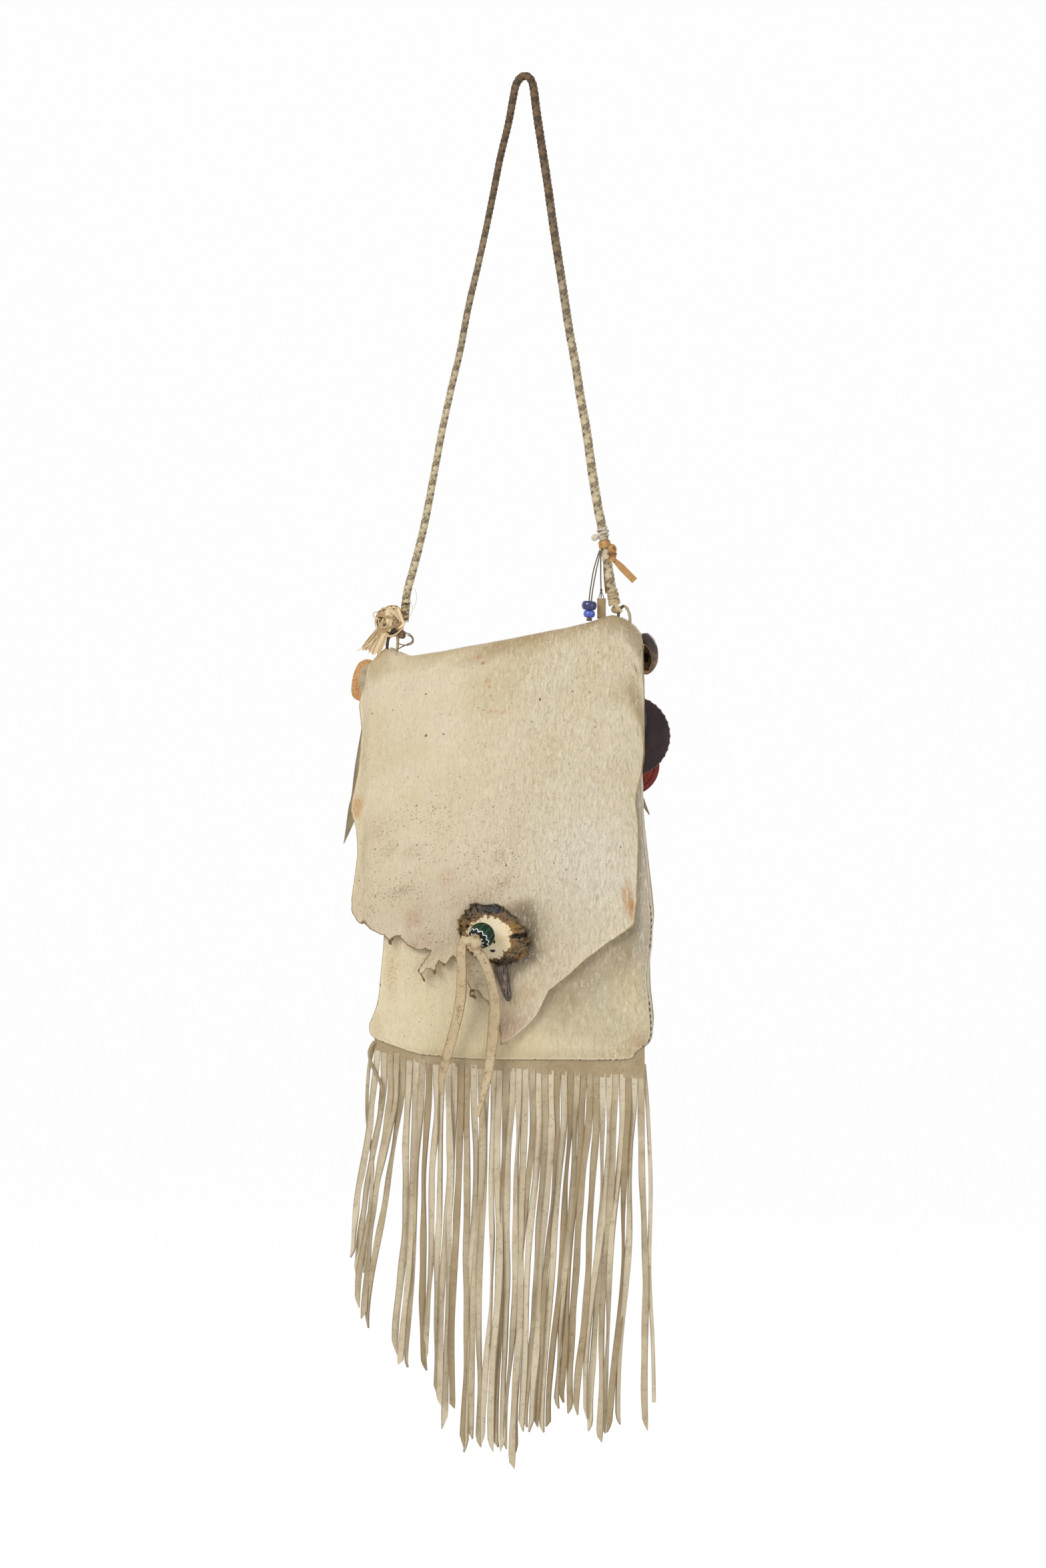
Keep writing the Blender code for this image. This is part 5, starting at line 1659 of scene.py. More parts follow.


# Stained spots, specks and patches of painted shade on the hide: x, z, half width, half height, colour as
# seen, strength, ragged, soft and grainy.
HIDE_STAINS_AND_SHADE = tuple(StainOrShade(*row) for row in (
    # The next seven rows are painted shade: a band under the fold's crown and the two raised corners in
    # shade.
    (-14, -423, 34, 6.5, (166, 136, 92), 0.55, 0.35, 0.7),
    (34, -412, 34, 6, (188, 160, 114), 0.45, 0.4, 0.7),
    (-66, -430, 30, 6, (186, 162, 118), 0.45, 0.4, 0.8),
    (-98, -430, 9, 5, (158, 140, 108), 0.7, 0.3, 0.7),
    (-112, -440, 8, 9, (176, 150, 106), 0.6, 0.3, 0.7),
    (74, -408, 15, 8, (160, 144, 116), 0.6, 0.35, 0.8),
    (83, -418, 8, 10, (176, 160, 132), 0.5, 0.35, 0.8),
    (84.5, -468, 7, 11, (152, 126, 88), 0.65, 0.3, 0.8),
    (70.5, -458, 8, 6, (188, 168, 134), 0.4, 0.4, 0.8),
    (82.4, -440.5, 1.7, 1.9, (166, 118, 74), 0.7, 0.15, 0.5),
    (-34.5, -432, 2, 1.8, (190, 140, 92), 0.65, 0.25, 0.6),
    (-31.6, -437, 1.4, 1.1, (170, 112, 66), 0.8, 0.2, 0.5),
    (-28.7, -450, 1.5, 1.6, (200, 146, 98), 0.65, 0.2, 0.6),
    (-26.5, -454.5, 1.2, 1.3, (200, 146, 98), 0.65, 0.2, 0.6),
    (-25.7, -473, 1.6, 1.2, (204, 146, 96), 0.6, 0.2, 0.6),
    (-21.8, -473, 1.2, 1, (204, 146, 96), 0.6, 0.2, 0.6),
    (-16.6, -473.8, 2.4, 1.2, (206, 156, 108), 0.5, 0.3, 0.6),
    (11.2, -464, 0.8, 1.1, (110, 58, 34), 0.95, 0.1, 0.4),
    (-74, -460, 0.8, 0.6, (122, 90, 58), 0.9, 0.1, 0.4),
    (-74, -491, 1, 1.1, (118, 82, 50), 0.9, 0.1, 0.4),
    (-61, -490, 0.7, 0.7, (118, 86, 56), 0.9, 0.1, 0.4),
    (35.4, -458, 0.9, 0.6, (128, 98, 66), 0.9, 0.1, 0.4),
    (48.3, -458.6, 0.7, 0.6, (128, 98, 66), 0.8, 0.1, 0.4),
    (29.5, -479.6, 0.8, 0.9, (136, 110, 78), 0.8, 0.1, 0.4),
    (-126, -545, 5.2, 7.8, (204, 156, 106), 0.95, 0.2, 0.4, 0.3),
    (-118, -600, 8, 45, (206, 188, 158), 0.35, 0.3, 0.8),
    (-78, -636, 50, 36, (196, 177, 151), 0.6, 0.25, 0.9),
    (-35, -575, 75, 45, (218, 204, 178), 0.35, 0.3, 0.9),
    (48, -590, 40, 44, (230, 220, 204), 0.6, 0.3, 0.8),
    (77.5, -613, 4.2, 11.5, (198, 148, 88), 0.85, 0.45, 0.5, 0.4),
    (80.5, -622, 2.6, 8, (186, 130, 68), 0.75, 0.5, 0.5),
    (-2, -650, 44, 46, (206, 190, 160), 0.45, 0.3, 0.8),
    (-28, -607, 24, 7, (170, 120, 88), 0.6, 0.4, 0.7, 0.85),
    (-81.7, -626, 8, 7, (170, 116, 84), 0.6, 0.4, 0.8, 0.7),
    (-79.5, -644, 8, 6, (176, 124, 96), 0.5, 0.4, 0.8, 0.6),
    (-58.5, -597.7, 6, 6, (178, 124, 90), 0.6, 0.4, 0.8, 0.8),
    (-19.5, -580.8, 4, 6, (160, 112, 80), 0.65, 0.5, 0.7, 0.9),
    (-91, -607, 8, 4, (126, 100, 70), 0.6, 0.4, 0.8, 0.9),
    (-101.6, -576.6, 7, 6, (130, 102, 72), 0.55, 0.4, 0.8, 0.9),
    (-83.8, -576.6, 8, 5, (150, 116, 84), 0.5, 0.4, 0.8, 0.9),
    (-106, -560, 14, 9, (150, 124, 92), 0.4, 0.4, 0.8, 0.9),
    # The next eight rows are painted shadow of the rosette along its right side, mixed with grime, and
    # painted shade under the rosette and the knot.
    (-6, -620, 11, 5.5, (128, 104, 78), 0.6, 0.12, 0.8),
    (0, -626, 9, 8, (104, 86, 64), 0.7, 0.1, 0.8),
    (4.6, -641, 6, 14, (78, 64, 50), 0.9, 0.1, 0.7),
    (11, -640, 9, 20, (158, 138, 108), 0.55, 0.2, 0.9, 0.3),
    (2, -657, 9, 7, (104, 88, 68), 0.7, 0.15, 0.8),
    (-17, -663, 7, 6, (72, 60, 48), 0.85, 0.15, 0.7),
    (-10, -667, 12, 6, (112, 94, 72), 0.6, 0.3, 0.8),
    (-41, -657, 7, 12, (140, 120, 94), 0.6, 0.3, 0.8),
    (0, -684, 10, 7, (190, 152, 114), 0.5, 0.4, 0.6, 0.5),
    (-12, -710, 14, 14, (176, 144, 120), 0.75, 0.35, 0.8),
    (54, -612, 1.2, 2.4, (150, 116, 82), 0.6, 0.4, 0.6, 0.6),
    (62, -586, 2, 3.5, (166, 132, 96), 0.5, 0.5, 0.7, 0.8),
))

# Stained spots and patches of painted shade on the front panel, in the same columns as on the hide.
PANEL_STAINS_AND_SHADE = tuple(StainOrShade(*row) for row in (
    (-99, -668, 4.5, 22, (186, 140, 92), 0.6, 0.5, 0.7, 0.8),
    (-112, -706, 6, 10, (196, 168, 124), 0.4, 0.4, 0.7),
    (85, -722, 6, 7, (178, 136, 88), 0.6, 0.5, 0.7),
    (74, -727, 12, 4, (196, 160, 112), 0.5, 0.5, 0.7, 0.5),
    # The next three rows are painted shade under the lid's diagonal edge.
    (26, -692, 18, 17, (146, 126, 96), 0.55, 0.25, 1),
    (47, -671, 20, 17, (142, 122, 93), 0.66, 0.25, 1),
    (70, -651, 18, 15, (150, 132, 104), 0.6, 0.25, 1),
    (66, -712, 24, 12, (196, 180, 146), 0.55, 0.3, 0.8),
    # The next two rows are painted shade under the lid's right corner and along the panel's right strip in
    # the lid's shadow.
    (82, -640, 13, 15, (150, 136, 112), 0.7, 0.2, 0.9),
    (88, -560, 7, 110, (188, 178, 160), 0.8, 0.1, 0.6),
    (60, -690, 12, 30, (208, 198, 168), 0.5, 0.2, 0.9),
    (-60, -700, 45, 25, (232, 219, 184), 0.5, 0.3, 0.8),
    (0, -731, 95, 5, (198, 178, 138), 0.4, 0.4, 0.7),
))


@dataclass
class FrontPanel:
    """The front hide under the lid, with a rounded edge where it turns into the seam."""

    form: BagForm
    step: float = 3.0
    rounding: float = 5.0
    roll: float = 1.55

    def relief(self, x: float, z: float, edge: float) -> float:
        """Gives how far the panel stands out from the plain form.

        Args:
            x: The place from left to right.
            z: Its height.
            edge: How far it is from the edge.

        Returns:
            The distance, outwards.
        """
        free = ease(-640, -700, z + 0.55 * max(0.0, -x - 40)) + ease(0, 60, x) * ease(-650, -690, z)
        soft = lump(x / 42, z / 30, 1.7)
        drawn = lump(x / 11, z / 55, 4.4)
        run = x + z + 655
        folds = 1.1 * math.sin(run / 8.5) * ease(-15, 25, x) * ease(95, 70, x) * ease(40, 0, abs(run))
        return min(1.0, free) * (0.9 * soft + 0.45 * drawn + 0.3 + folds) * ease(0, 12, edge)

    def build(self) -> None:
        """Makes the panel."""
        form = self.form
        side = rounded_line(PANEL_EDGE, 2.5)
        sheet = CutSheet(side, self.step)
        outer, inner = [], []
        for (x, z), edge in zip(sheet.points, sheet.edge):
            share = 1 - min(1.0, edge / self.rounding)
            mouth = ease(-470, -440, z - 0.19 * x)
            sink = self.roll * (1 - math.sqrt(max(0.0, 1 - share * share))) * (1 - mouth)
            face = form.front_face(x, z)
            lift = self.relief(x, z, edge)
            outer.append((x, face + sink - lift, z))
            inner.append((x, face + form.hide - lift * 0.9, z))
        edges = np.clip(sheet.edge / 2.5, 0, 1)
        made = sheet.form(outer, inner, edge=edges, torn=[0.0] * len(sheet.points))
        finish = Buckskin("panel_finish", cream=shade(230, 215, 180), warm=shade(221, 204, 164),
                          grey=shade(223, 209, 181), edge_tint=shade(120, 98, 70), speckled=0.22,
                          crease_middle=60, stains_and_shade=PANEL_STAINS_AND_SHADE)
        piece = show("front_panel_skin", made, finish.paint(), Body.BAG, ("front_panel",))


@dataclass
class Gusset:
    """The suede strip between the panels, its two holed tabs and the stitches along its seams."""

    form: BagForm
    thick: float = 2.0
    seam_edge: float = 0.6
    fringe_hide: float = 1.4
    left_hole: Point = (-99.0, -429.5)
    right_hole: Point = (74.5, -410.0)
    left_foot: Point = (-99.8, -449.0)
    right_foot: Point = (76.0, -424.0)
    hole_radius: float = 1.8
    tab_half: float = 4.5
    tab_top: float = 3.0
    stitch_step: float = 4.8
    stitch_long: float = 3.1
    stitch_radius: float = 0.55

    def inset(self, line: Sequence[Point], distance: float) -> list[Point]:
        """Moves a line to its left.

        Args:
            line: The line.
            distance: How far it moves.

        Returns:
            The moved line.
        """
        found = []
        for i, (x, z) in enumerate(line):
            x0, z0 = line[max(0, i - 1)]
            x1, z1 = line[min(len(line) - 1, i + 1)]
            long = math.hypot(x1 - x0, z1 - z0)
            found.append((x - (z1 - z0) / long * distance, z + (x1 - x0) / long * distance))
        return found

    def tab(self, hole: Point, foot: Point) -> list[tuple[float, float, float, float]]:
        """Gives the stations of a tab, from its foot to its rounded top.

        Args:
            hole: The middle of its hole.
            foot: Where it leaves the strip.

        Returns:
            Stations of x, height, front and back.
        """
        steps = [(foot[0], foot[1], -self.tab_half, self.tab_half)]
        steps += [(foot[0] + (hole[0] - foot[0]) * t, foot[1] + (hole[1] - 3 - foot[1]) * t,
                   -self.tab_half, self.tab_half) for t in (0.25, 0.5, 0.75, 1.0)]
        for turn in (0.0, 0.4, 0.8, 1.15):
            half = self.tab_half * math.cos(turn) ** 0.7
            steps.append((hole[0], hole[1] - 1 + (self.tab_top + 1) * math.sin(turn), -half, half))
        return steps

    def build(self) -> None:
        """Makes the strip and its stitches."""
        form = self.form
        seam = rounded_line(PANEL_EDGE, 3.0)
        middle = self.inset(seam, self.thick / 2 + self.seam_edge)
        stations = []
        for x, z in middle:
            front = form.front_inside(x, z) + form.touch
            low = ease(-700, -712, z)
            front += low * (self.fringe_hide + form.touch)
            stations.append((x, z, front, form.back_face(x, z) - form.hide - form.touch))
        stations = [*self.tab(self.left_hole, self.left_foot)[::-1], *stations,
                    *self.tab(self.right_hole, self.right_foot)]
        flat = [(x, z) for x, z, _, _ in stations]
        outer, inner = self.inset(flat, -self.thick / 2), self.inset(flat, self.thick / 2)
        spans, rings, edges = (0, 0.08, 0.3, 0.5, 0.7, 0.92, 1), [], []
        for i, ((ox, oz), (ix, iz), (x, z, front, back)) in enumerate(zip(outer, inner, stations)):
            ring = []
            for side, (px, pz), (qx, qz) in ((1, (ox, oz), (ix, iz)), (-1, (ix, iz), (ox, oz))):
                for t in spans[:: side]:
                    pucker = 0.5 * lump(i * 0.55, t * 2.2, 1.0)
                    proud = 0.9 + 1.7 * ease(60, 80, x) * ease(-470, -520, z) + pucker
                    bow = proud * math.sin(math.pi * t) * ease(-440, -470, z)
                    away = ((px - qx) * side / self.thick * bow, (pz - qz) * side / self.thick * bow)
                    ring.append((px + away[0], front + (back - front) * t, pz + away[1]))
                    edges.append(1 - ease(0, 0.12, min(t, 1 - t)))
            rings.append(metres(ring))
        made = Form().rings(rings, edge=edges, tone=0.5)
        mesh = made.mesh("gusset_strip")
        turn = Vector((self.right_hole[0] - self.left_hole[0], 0, self.right_hole[1] - self.left_hole[1]))
        suede = Suede("gusset_suede", shade(214, 205, 184), shade(182, 172, 150))
        piece = show("gusset_strip", mesh, suede.paint(), Body.BAG, ("gusset",))
        for name, hole in (("left_punch", self.left_hole), ("right_punch", self.right_hole)):
            drill = Form()
            start = Vector((hole[0], 0, hole[1])) * MM - turn.normalized() * 4 * MM
            wall = [(self.hole_radius * MM, 0), (self.hole_radius * MM, 8 * MM)]
            add_turned(drill, wall, start, turn, 20)
            cut_away(piece, drill, name)
        self.stitch(seam)

    def stitch(self, seam: Sequence[Point]) -> None:
        """Sews both seams with a waxed thread.

        Args:
            seam: The panels' outline.
        """
        form, made, draw = self.form, Form(), random.Random(SEED)
        line = even([(x, 0.0, z) for x, z in seam], self.stitch_step)
        outline = self.inset([(p.x, p.z) for p in line], 0.75)
        for i, ((x, z), place) in enumerate(zip(outline[1:-1], line[1:-1])):
            along = (line[i + 2] - line[i]).normalized()
            for depth in (form.front_inside(place.x, z) - 0.2,
                          form.back_face(place.x, z) - form.hide + 0.2):
                lean = draw.uniform(-0.5, 0.5)
                seen = ease(612, 622, -z) * ease(656, 646, -z) + ease(682, 690, -z) * ease(726, 718, -z)
                middle = Vector((x + (1.3 * min(1.0, seen) - 0.35) * ease(60, 85, x), depth, z))
                reach = along * self.stitch_long / 2 + Vector((0, lean, 0))
                ends = [middle - reach, middle - reach * 0.4, middle + reach * 0.4, middle + reach]
                points = [Vector(p) for p in metres(ends)]
                radius = [self.stitch_radius * MM * k for k in (0.55, 1.0, 1.0, 0.55)]
                add_tube(made, points, radius, draw.random(), sides=6)
        thread = Lace("seam_thread", shade(112, 86, 60), shade(54, 39, 27), rough=0.6)
        show("seam_stitches", made, thread.paint(), Body.BAG, ())


def cut_away(piece: bpy.types.Object, shape: Form, name: str) -> None:
    """Cuts a shape out of a piece and keeps the result as its mesh.

    Args:
        piece: The piece.
        shape: What is taken away.
        name: The cutter's name while it exists.
    """
    cutter = add_object(name, shape.mesh(name))
    cut = piece.modifiers.new(name, "BOOLEAN")
    cut.operation = "DIFFERENCE"
    cut.solver = "EXACT"
    cut.object = cutter
    bpy.context.view_layer.update()
    graph = bpy.context.evaluated_depsgraph_get()
    made = bpy.data.meshes.new_from_object(piece.evaluated_get(graph))
    piece.modifiers.clear()
    old, piece.data = piece.data, made
    bpy.data.meshes.remove(old)
    bpy.data.objects.remove(cutter, do_unlink=True)


@dataclass
class Fringe:
    """One strip of suede in the bottom seam, cut into strands that twist, wave and lie together."""

    form: BagForm
    strands: int = 42
    tip_places: tuple[float, ...] = (
        -130.2, -127.0, -123.5, -120.5, -117.5, -97.0, -93.0, -89.0, -76.0, -73.0, -68.0, -63.5,
        -60.5, -54.0, -47.0, -43.5, -39.5, -36.0, -30.5, -26.0, -21.5, -18.0, -14.0, -10.0,
        -7.0, -2.0, 1.5, 5.0, 9.0, 13.5, 18.0, 22.0, 26.5, 33.0, 39.5, 45.5, 50.0, 54.5, 58.5,
        63.0, 68.0, 91.0,
    )
    left: float = -112.5
    right: float = 89.5
    lap: float = 9.0
    thick: float = 1.4
    slit_tops: tuple[Point, ...] = ((-113, -724), (-80, -734), (-41.5, -738), (4, -741.5),
                                    (50, -744.5), (90, -746))
    tips: tuple[Point, ...] = (
        (-130.5, -889), (-127, -902), (-122, -925), (-117.5, -935), (-96.5, -964),
        (-89.5, -962.5), (-74.5, -966), (-61, -1008), (-53.5, -1003.5), (-46, -1031),
        (-40, -1025), (-23.5, -1035), (-13.5, -1026.5), (-8, -1043), (-0.5, -1014),
        (4, -1017.5), (18.5, -1011), (26, -999), (39.5, -1010), (46, -1005.5),
        (55, -1021), (65.5, -1013), (91, -1014.5),
    )
    steps: int = 60

    def seam_depth(self, x: float) -> float:
        """Gives how far back the strip lies at x."""
        return self.form.front_inside(x, read_line(BOTTOM_LINE, x)) + self.form.touch

    def header(self, made: Form) -> None:
        """Adds the strip's uncut top.

        Args:
            made: The form that it goes into.
        """
        across = np.linspace(self.left, self.right, 120)
        rings, edges = [], []
        spans = (0.0, 0.15, 0.35, 0.55, 0.75, 0.9, 1.0)
        for x in across:
            top, foot = read_line(BOTTOM_LINE, x) + self.lap, read_line(self.slit_tops, x) - 1.5
            depth, ring = self.seam_depth(x), []
            for face in (0, 1):
                for t in spans[:: 1 - 2 * face]:
                    wave = 0.5 * lump(x / 6, t * 1.5, 9.0) * t
                    ring.append((x, depth + self.thick * face + wave, top + (foot - top) * t))
                    edges.append(0.35 * ease(0.6, 0.45, t))
            rings.append(metres(ring))
        made.rings(rings, tone=0.2, edge=edges, along=0.0)

    def build(self) -> None:
        """Makes the fringe."""
        made, draw, areas = Form(), random.Random(SEED + 5), []
        self.header(made)
        pitch = (self.right - self.left) / self.strands
        for i in range(self.strands):
            start = self.left + pitch * (i + 0.5)
            tip = self.tip_places[i]
            top = read_line(self.slit_tops, start) + 1.0
            foot = read_line(self.tips, tip) + draw.uniform(-2, 12)
            wide, cut = draw.uniform(0.98, 1.16), draw.uniform(4, 10)
            phase, second, third = (draw.uniform(0, math.tau) for _ in range(3))
            swing = draw.uniform(0.25, 1.15) * draw.choice((-1, 1))
            layer = draw.uniform(-1.5, 1.7)
            points, width, turns = [], [], []
            for k in range(self.steps + 1):
                t = k / self.steps
                free = ease(0.0, 0.2, t)
                x = start + (tip - start) * (0.45 * t + 0.55 * ease(0.1, 1.0, t))
                together = 1.7 * math.sin(math.tau * (start / 21 + 0.55 * t) + 1.3 * math.sin(start / 33))
                wander = 1.2 * math.sin(4.6 * t + phase) + 0.8 * math.sin(11 * t + second)
                x += free * (together * ease(0.05, 0.5, t) * ease(1.1, 0.6, t) + wander)
                y = self.seam_depth(start) + self.thick / 2
                y += free * (layer + 1.0 * math.sin(7 * t + third))
                points.append(Vector((x, y, top + (foot - top) * t)) * MM)
                full = pitch * (1.03 + (wide - 1.03) * free) - 0.35 * t
                full += (0.35 * math.sin(9 * t + second) + 0.3 * math.sin(31 * t + phase)) * free
                left_over = (1 - t) * (top - foot)
                width.append(full * (0.12 + 0.88 * min(1.0, left_over / cut)) * MM)
                turns.append(free * swing * math.sin(5.2 * t + third)
                             + 0.25 * math.sin(13 * t + phase) * free)
            areas.append(line_length(points) * sum(width) / len(width))
            for k in range(self.steps + 1):
                points[k].x += (0.5 * full - width[k] / MM / 2) * MM * (1 if i % 3 else -1) * 0.8
            add_ribbon(made, points, width, self.thick * MM, draw.uniform(0.05, 1.0), RIGHT,
                       turns, draw.uniform(-0.12, 0.12))
        self.loose_ends(made)
        suede = Suede("fringe_suede", shade(217, 203, 174), shade(168, 148, 114),
                      edge=shade(126, 104, 74), edge_share=0.6, speckled=0.7, blotch=0.45)
        piece = show("fringe_strip", made, suede.paint(), Body.BAG, ("fringe",))

    def loose_ends(self, made: Form) -> None:
        """Adds the thin brown strands that lie loose at the left end.

        Args:
            made: The form that it goes into.
        """
        routes = (
            ([(-112.5, -9.5, -719.5), (-116.4, -10.2, -727), (-114.5, -10.5, -737), (-108.5, -10.3, -749),
              (-106.8, -9.8, -757), (-108.6, -9.4, -766)], 2.3, 0),
            ([(-113, -6, -722), (-117, -6.5, -742), (-118, -7, -775),
              (-114, -7.2, -812), (-116.5, -7, -850), (-120, -6.8, -893)], 2.6, 0.45),
            ([(89, -5, -737), (92, -5.5, -775), (94, -5.8, -830), (93, -5.5, -893),
              (95.5, -5.4, -943), (96.5, -5.2, -990)], 3, 0.9),
        )
        for route, wide, tone in routes:
            points = even(metres(route), 4 * MM)
            width = [wide * MM] * len(points)
            turns = [0.5 * math.sin(0.35 * k) for k in range(len(points))]
            add_ribbon(made, points, width, 1.1 * MM, tone, RIGHT, turns)


# The strap and what is tied to it

STRAP_ROUTE: tuple[Point, ...] = (
    (-90.5, -405.5), (-88.5, -384.5), (-84.5, -369), (-80, -352), (-74.5, -328.5),
    (-68, -294), (-62, -262), (-55, -229.5), (-48.5, -202), (-42.5, -170),
    (-35.5, -140), (-28.5, -108), (-23, -80.5), (-18.5, -57.5), (-12.5, -32.5),
    (-8.7, -12), (-6.8, -3.4), (-3.7, 1.8), (0, 3.5), (3.5, 2), (5.9, -2.8),
    (7.2, -11), (9, -25.5), (12.5, -48.5), (17, -78), (20.5, -103.5), (25, -133.5),
    (28.5, -156), (33, -186), (38, -213.5), (41.5, -236.5), (46, -262),
    (50.5, -294), (55, -321.5), (58, -336), (60.3, -351.5), (63.5, -372),
    (67.2, -393),
)


def strap_line(step: float) -> list[Vector]:
    """Follows the strap's middle from its left end over the top to its right end."""
    return even([(x * MM, 0.0, z * MM) for x, z in STRAP_ROUTE], step * MM)


def strap_leg(side: int, top: float, bottom: float, step: float = 0.5) -> list[Vector]:
    """Gives the strap's middle line between two heights of one leg.

    Args:
        side: The left leg (-1) or the right one (1).
        top: The upper height, in millimetres.
        bottom: The lower height, in millimetres.
        step: How far apart the points lie, in millimetres.

    Returns:
        The line, downwards.
    """
    line = strap_line(step)
    peak = max(range(len(line)), key=lambda i: line[i].z)
    leg = line[: peak + 1][::-1] if side < 0 else line[peak:]
    return [p for p in leg if bottom * MM <= p.z <= top * MM]


def add_wraps(form: Form, line: Sequence[Vector], radius: float, cord: float, turns: float,
              tone: tuple[float, float], flat: float = 1.0, start: float = 0.0) -> None:
    """Winds a cord round a stretch of the strap.

    Args:
        form: The form that it goes into.
        line: The strap's middle line there.
        radius: How far out the cord's middle is.
        cord: Half the cord's width.
        turns: How many turns it makes.
        tone: Its lowest and highest tone.
        flat: How thick it is for its width.
        start: The turn that it begins at, in radians.
    """
    frames, count, points = frames_along(line, RIGHT), len(line) - 1, []
    total = max(8, int(abs(turns) * 14))
    for k in range(total + 1):
        at = k / total * count
        low = min(count - 1, int(at))
        place = line[low].lerp(line[low + 1], at - low)
        _, side, front = frames[low]
        angle = start + math.tau * turns * k / total
        points.append(place + between(side, front, angle) * radius)
    way = (line[-1] - line[0]).normalized()
    rings = tube_rings(points, cord, 8, flat, way)
    shades = [tone[0] + (tone[1] - tone[0]) * (0.5 + 0.5 * noise.noise(p * PLACE_SCALE)) for p in points]
    form.rings(rings, tone=[value for value in shades for _ in range(8)])


@dataclass
class Strap:
    """A round braid of four laces, thick below and thinner on its upper left leg."""

    diameter: float = 7.0
    pitch: float = 14.6
    around: int = 32
    step: float = 0.72
    core: float = 2.35
    lace: float = 0.72
    lift: float = 0.42
    end: Place = (-90.5, 0.0, -405.5)
    whipped: Point = (-391.0, -404.8)
    wrapped: Point = (-382.0, -393.0)
    build_up: tuple[Point, ...] = ((0, 1), (0.06, 0.93), (0.2, 0.82), (0.36, 0.78), (0.46, 0.86),
                                   (0.54, 1), (0.75, 1), (0.9, 1.1), (1, 1.1))
    strand_tones: tuple[float, ...] = (0.22, -0.16, 0.00, -0.36)

    def surface(self, angle: float, along: float) -> tuple[float, float]:
        """Gives the braid's surface.

        Args:
            angle: The place round the strap.
            along: The place along it, in millimetres.

        Returns:
            How far out the surface is, in millimetres, and how light it is.
        """
        turn = angle / math.pi + 0.25
        one, two = 2 * along / self.pitch + turn, 2 * along / self.pitch - turn
        over = self.lift * math.cos(math.pi * (one + two))
        found = []
        for place, sign, first in ((one, 1, 0), (two, -1, 2)):
            off = 2 * abs(place - round(place))
            high = math.sqrt(max(0.0, 1 - off**3.2)) * (1 + sign * over)
            found.append((high, first + round(place) % 2, off))
        (low, _, _), (high, strand, off) = sorted(found)
        # Painted shade in the grooves where the laces meet, and a painted highlight along the middle of
        # each lace.
        seam = ease(0.0, 0.28, high - low) * ease(0.1, 0.75, high)
        light = 0.14 + 0.50 * seam + self.strand_tones[strand] + 0.12 * (1 - off)
        return self.core + self.lace * (high - 0.16 * (1 - seam)), light

    def build(self) -> None:
        """Makes the strap and its whipped ends."""
        line = strap_line(self.step)
        frames = frames_along(line, None)
        rings, tones, reached = [], [], 0.0
        total = line_length(line)
        for i, place in enumerate(line):
            reached += (place - line[max(0, i - 1)]).length
            size = read_line(self.build_up, reached / total)
            size *= 1 + 0.035 * lump(reached * 90, 3.0, 0)
            _, side, front = frames[i]
            ring = []
            for angle in angles(self.around):
                far, light = self.surface(angle, reached / MM)
                ring.append(place + between(side, front, angle) * far * size * MM)
                tones.append(light)
            rings.append(ring)
        made = Form().rings(rings, tone=tones)
        braid = Lace("braid_leather", shade(204, 188, 154), shade(84, 66, 44), shade(112, 88, 62),
                     shade(36, 26, 18), (-0.27, -0.06), 0.62, 500.0, 0.0003)
        piece = show("strap_braid", made, braid.paint(), Body.STRAP, ("braided_strap",))
        self.whip()

    def whip(self) -> None:
        """Makes the dark whipping on the left end and the diagonal wraps on the right one."""
        dark = Lace("whipping_lace", shade(186, 160, 118), shade(72, 52, 33), rough=0.6)
        left, right = Form(), Form()
        leg = strap_leg(-1, *self.whipped)
        for start, tone in ((0, (0, 0.35)), (2.1, (0.55, 1)), (4.2, (0.1, 0.6))):
            add_wraps(left, leg, 2.75 * MM, 1.35 * MM, 2.3, tone, 0.5, start)
        show("left_whipping_turns", left, dark.paint(), Body.STRAP, ("left_whipping",))
        leg = strap_leg(1, *self.wrapped)
        add_wraps(right, leg, 3.95 * MM, 0.95 * MM, 4.6, (0.3, 0.9), 0.5)
        add_wraps(right, leg[3:-1], 4.25 * MM, 0.8 * MM, -1.7, (0.1, 0.8), 0.5, 2.0)
        add_wraps(right, leg[-7:], 4.15 * MM, 0.8 * MM, 2.4, (0.35, 0.95), 0.6, 1.0)
        pale = Lace("right_wrap_lace", shade(206, 184, 142), shade(84, 62, 40), rough=0.65)
        show("right_wrap_turns", right, pale.paint(), Body.STRAP, ("right_wrap",))


@dataclass
class TieLoop:
    """A thong loop through a hole in the gusset's tab, up to the knot above it. Millimetres."""

    name: str
    node: str
    route: tuple[Place, ...]
    light: Colour
    dark: Colour
    right_tone: float
    half_width: float = 1.65
    flat: float = 0.68

    def build(self) -> None:
        """Makes the loop as a closed, slightly twisted thong."""
        middle = sum(p[0] for p in self.route) / len(self.route) * MM
        line = even(metres([*self.route, *self.route[:3]]), 0.7 * MM)
        start = round(len(line) / (len(self.route) + 2))
        end = min(range(len(line) // 2, len(line)), key=lambda i: (line[i] - line[start]).length)
        line = line[start:end]
        made = Form()
        sizes = [self.half_width * MM * (1 + 0.09 * math.sin(0.9 * i)) for i in range(len(line))]
        rings = tube_rings([*line, line[0]], [*sizes, sizes[0]], 12, self.flat, Vector((0.25, 1, 0)))[:-1]
        tones = [self.right_tone if p.x > middle else 0.12 for ring in rings for p in ring]
        made.rings(rings, closed=True, tone=tones)
        finish = Lace(self.name + "_thong", self.light, self.dark, rough=0.7)
        show(self.name, made, finish.paint(), Body.STRAP, (self.node,))


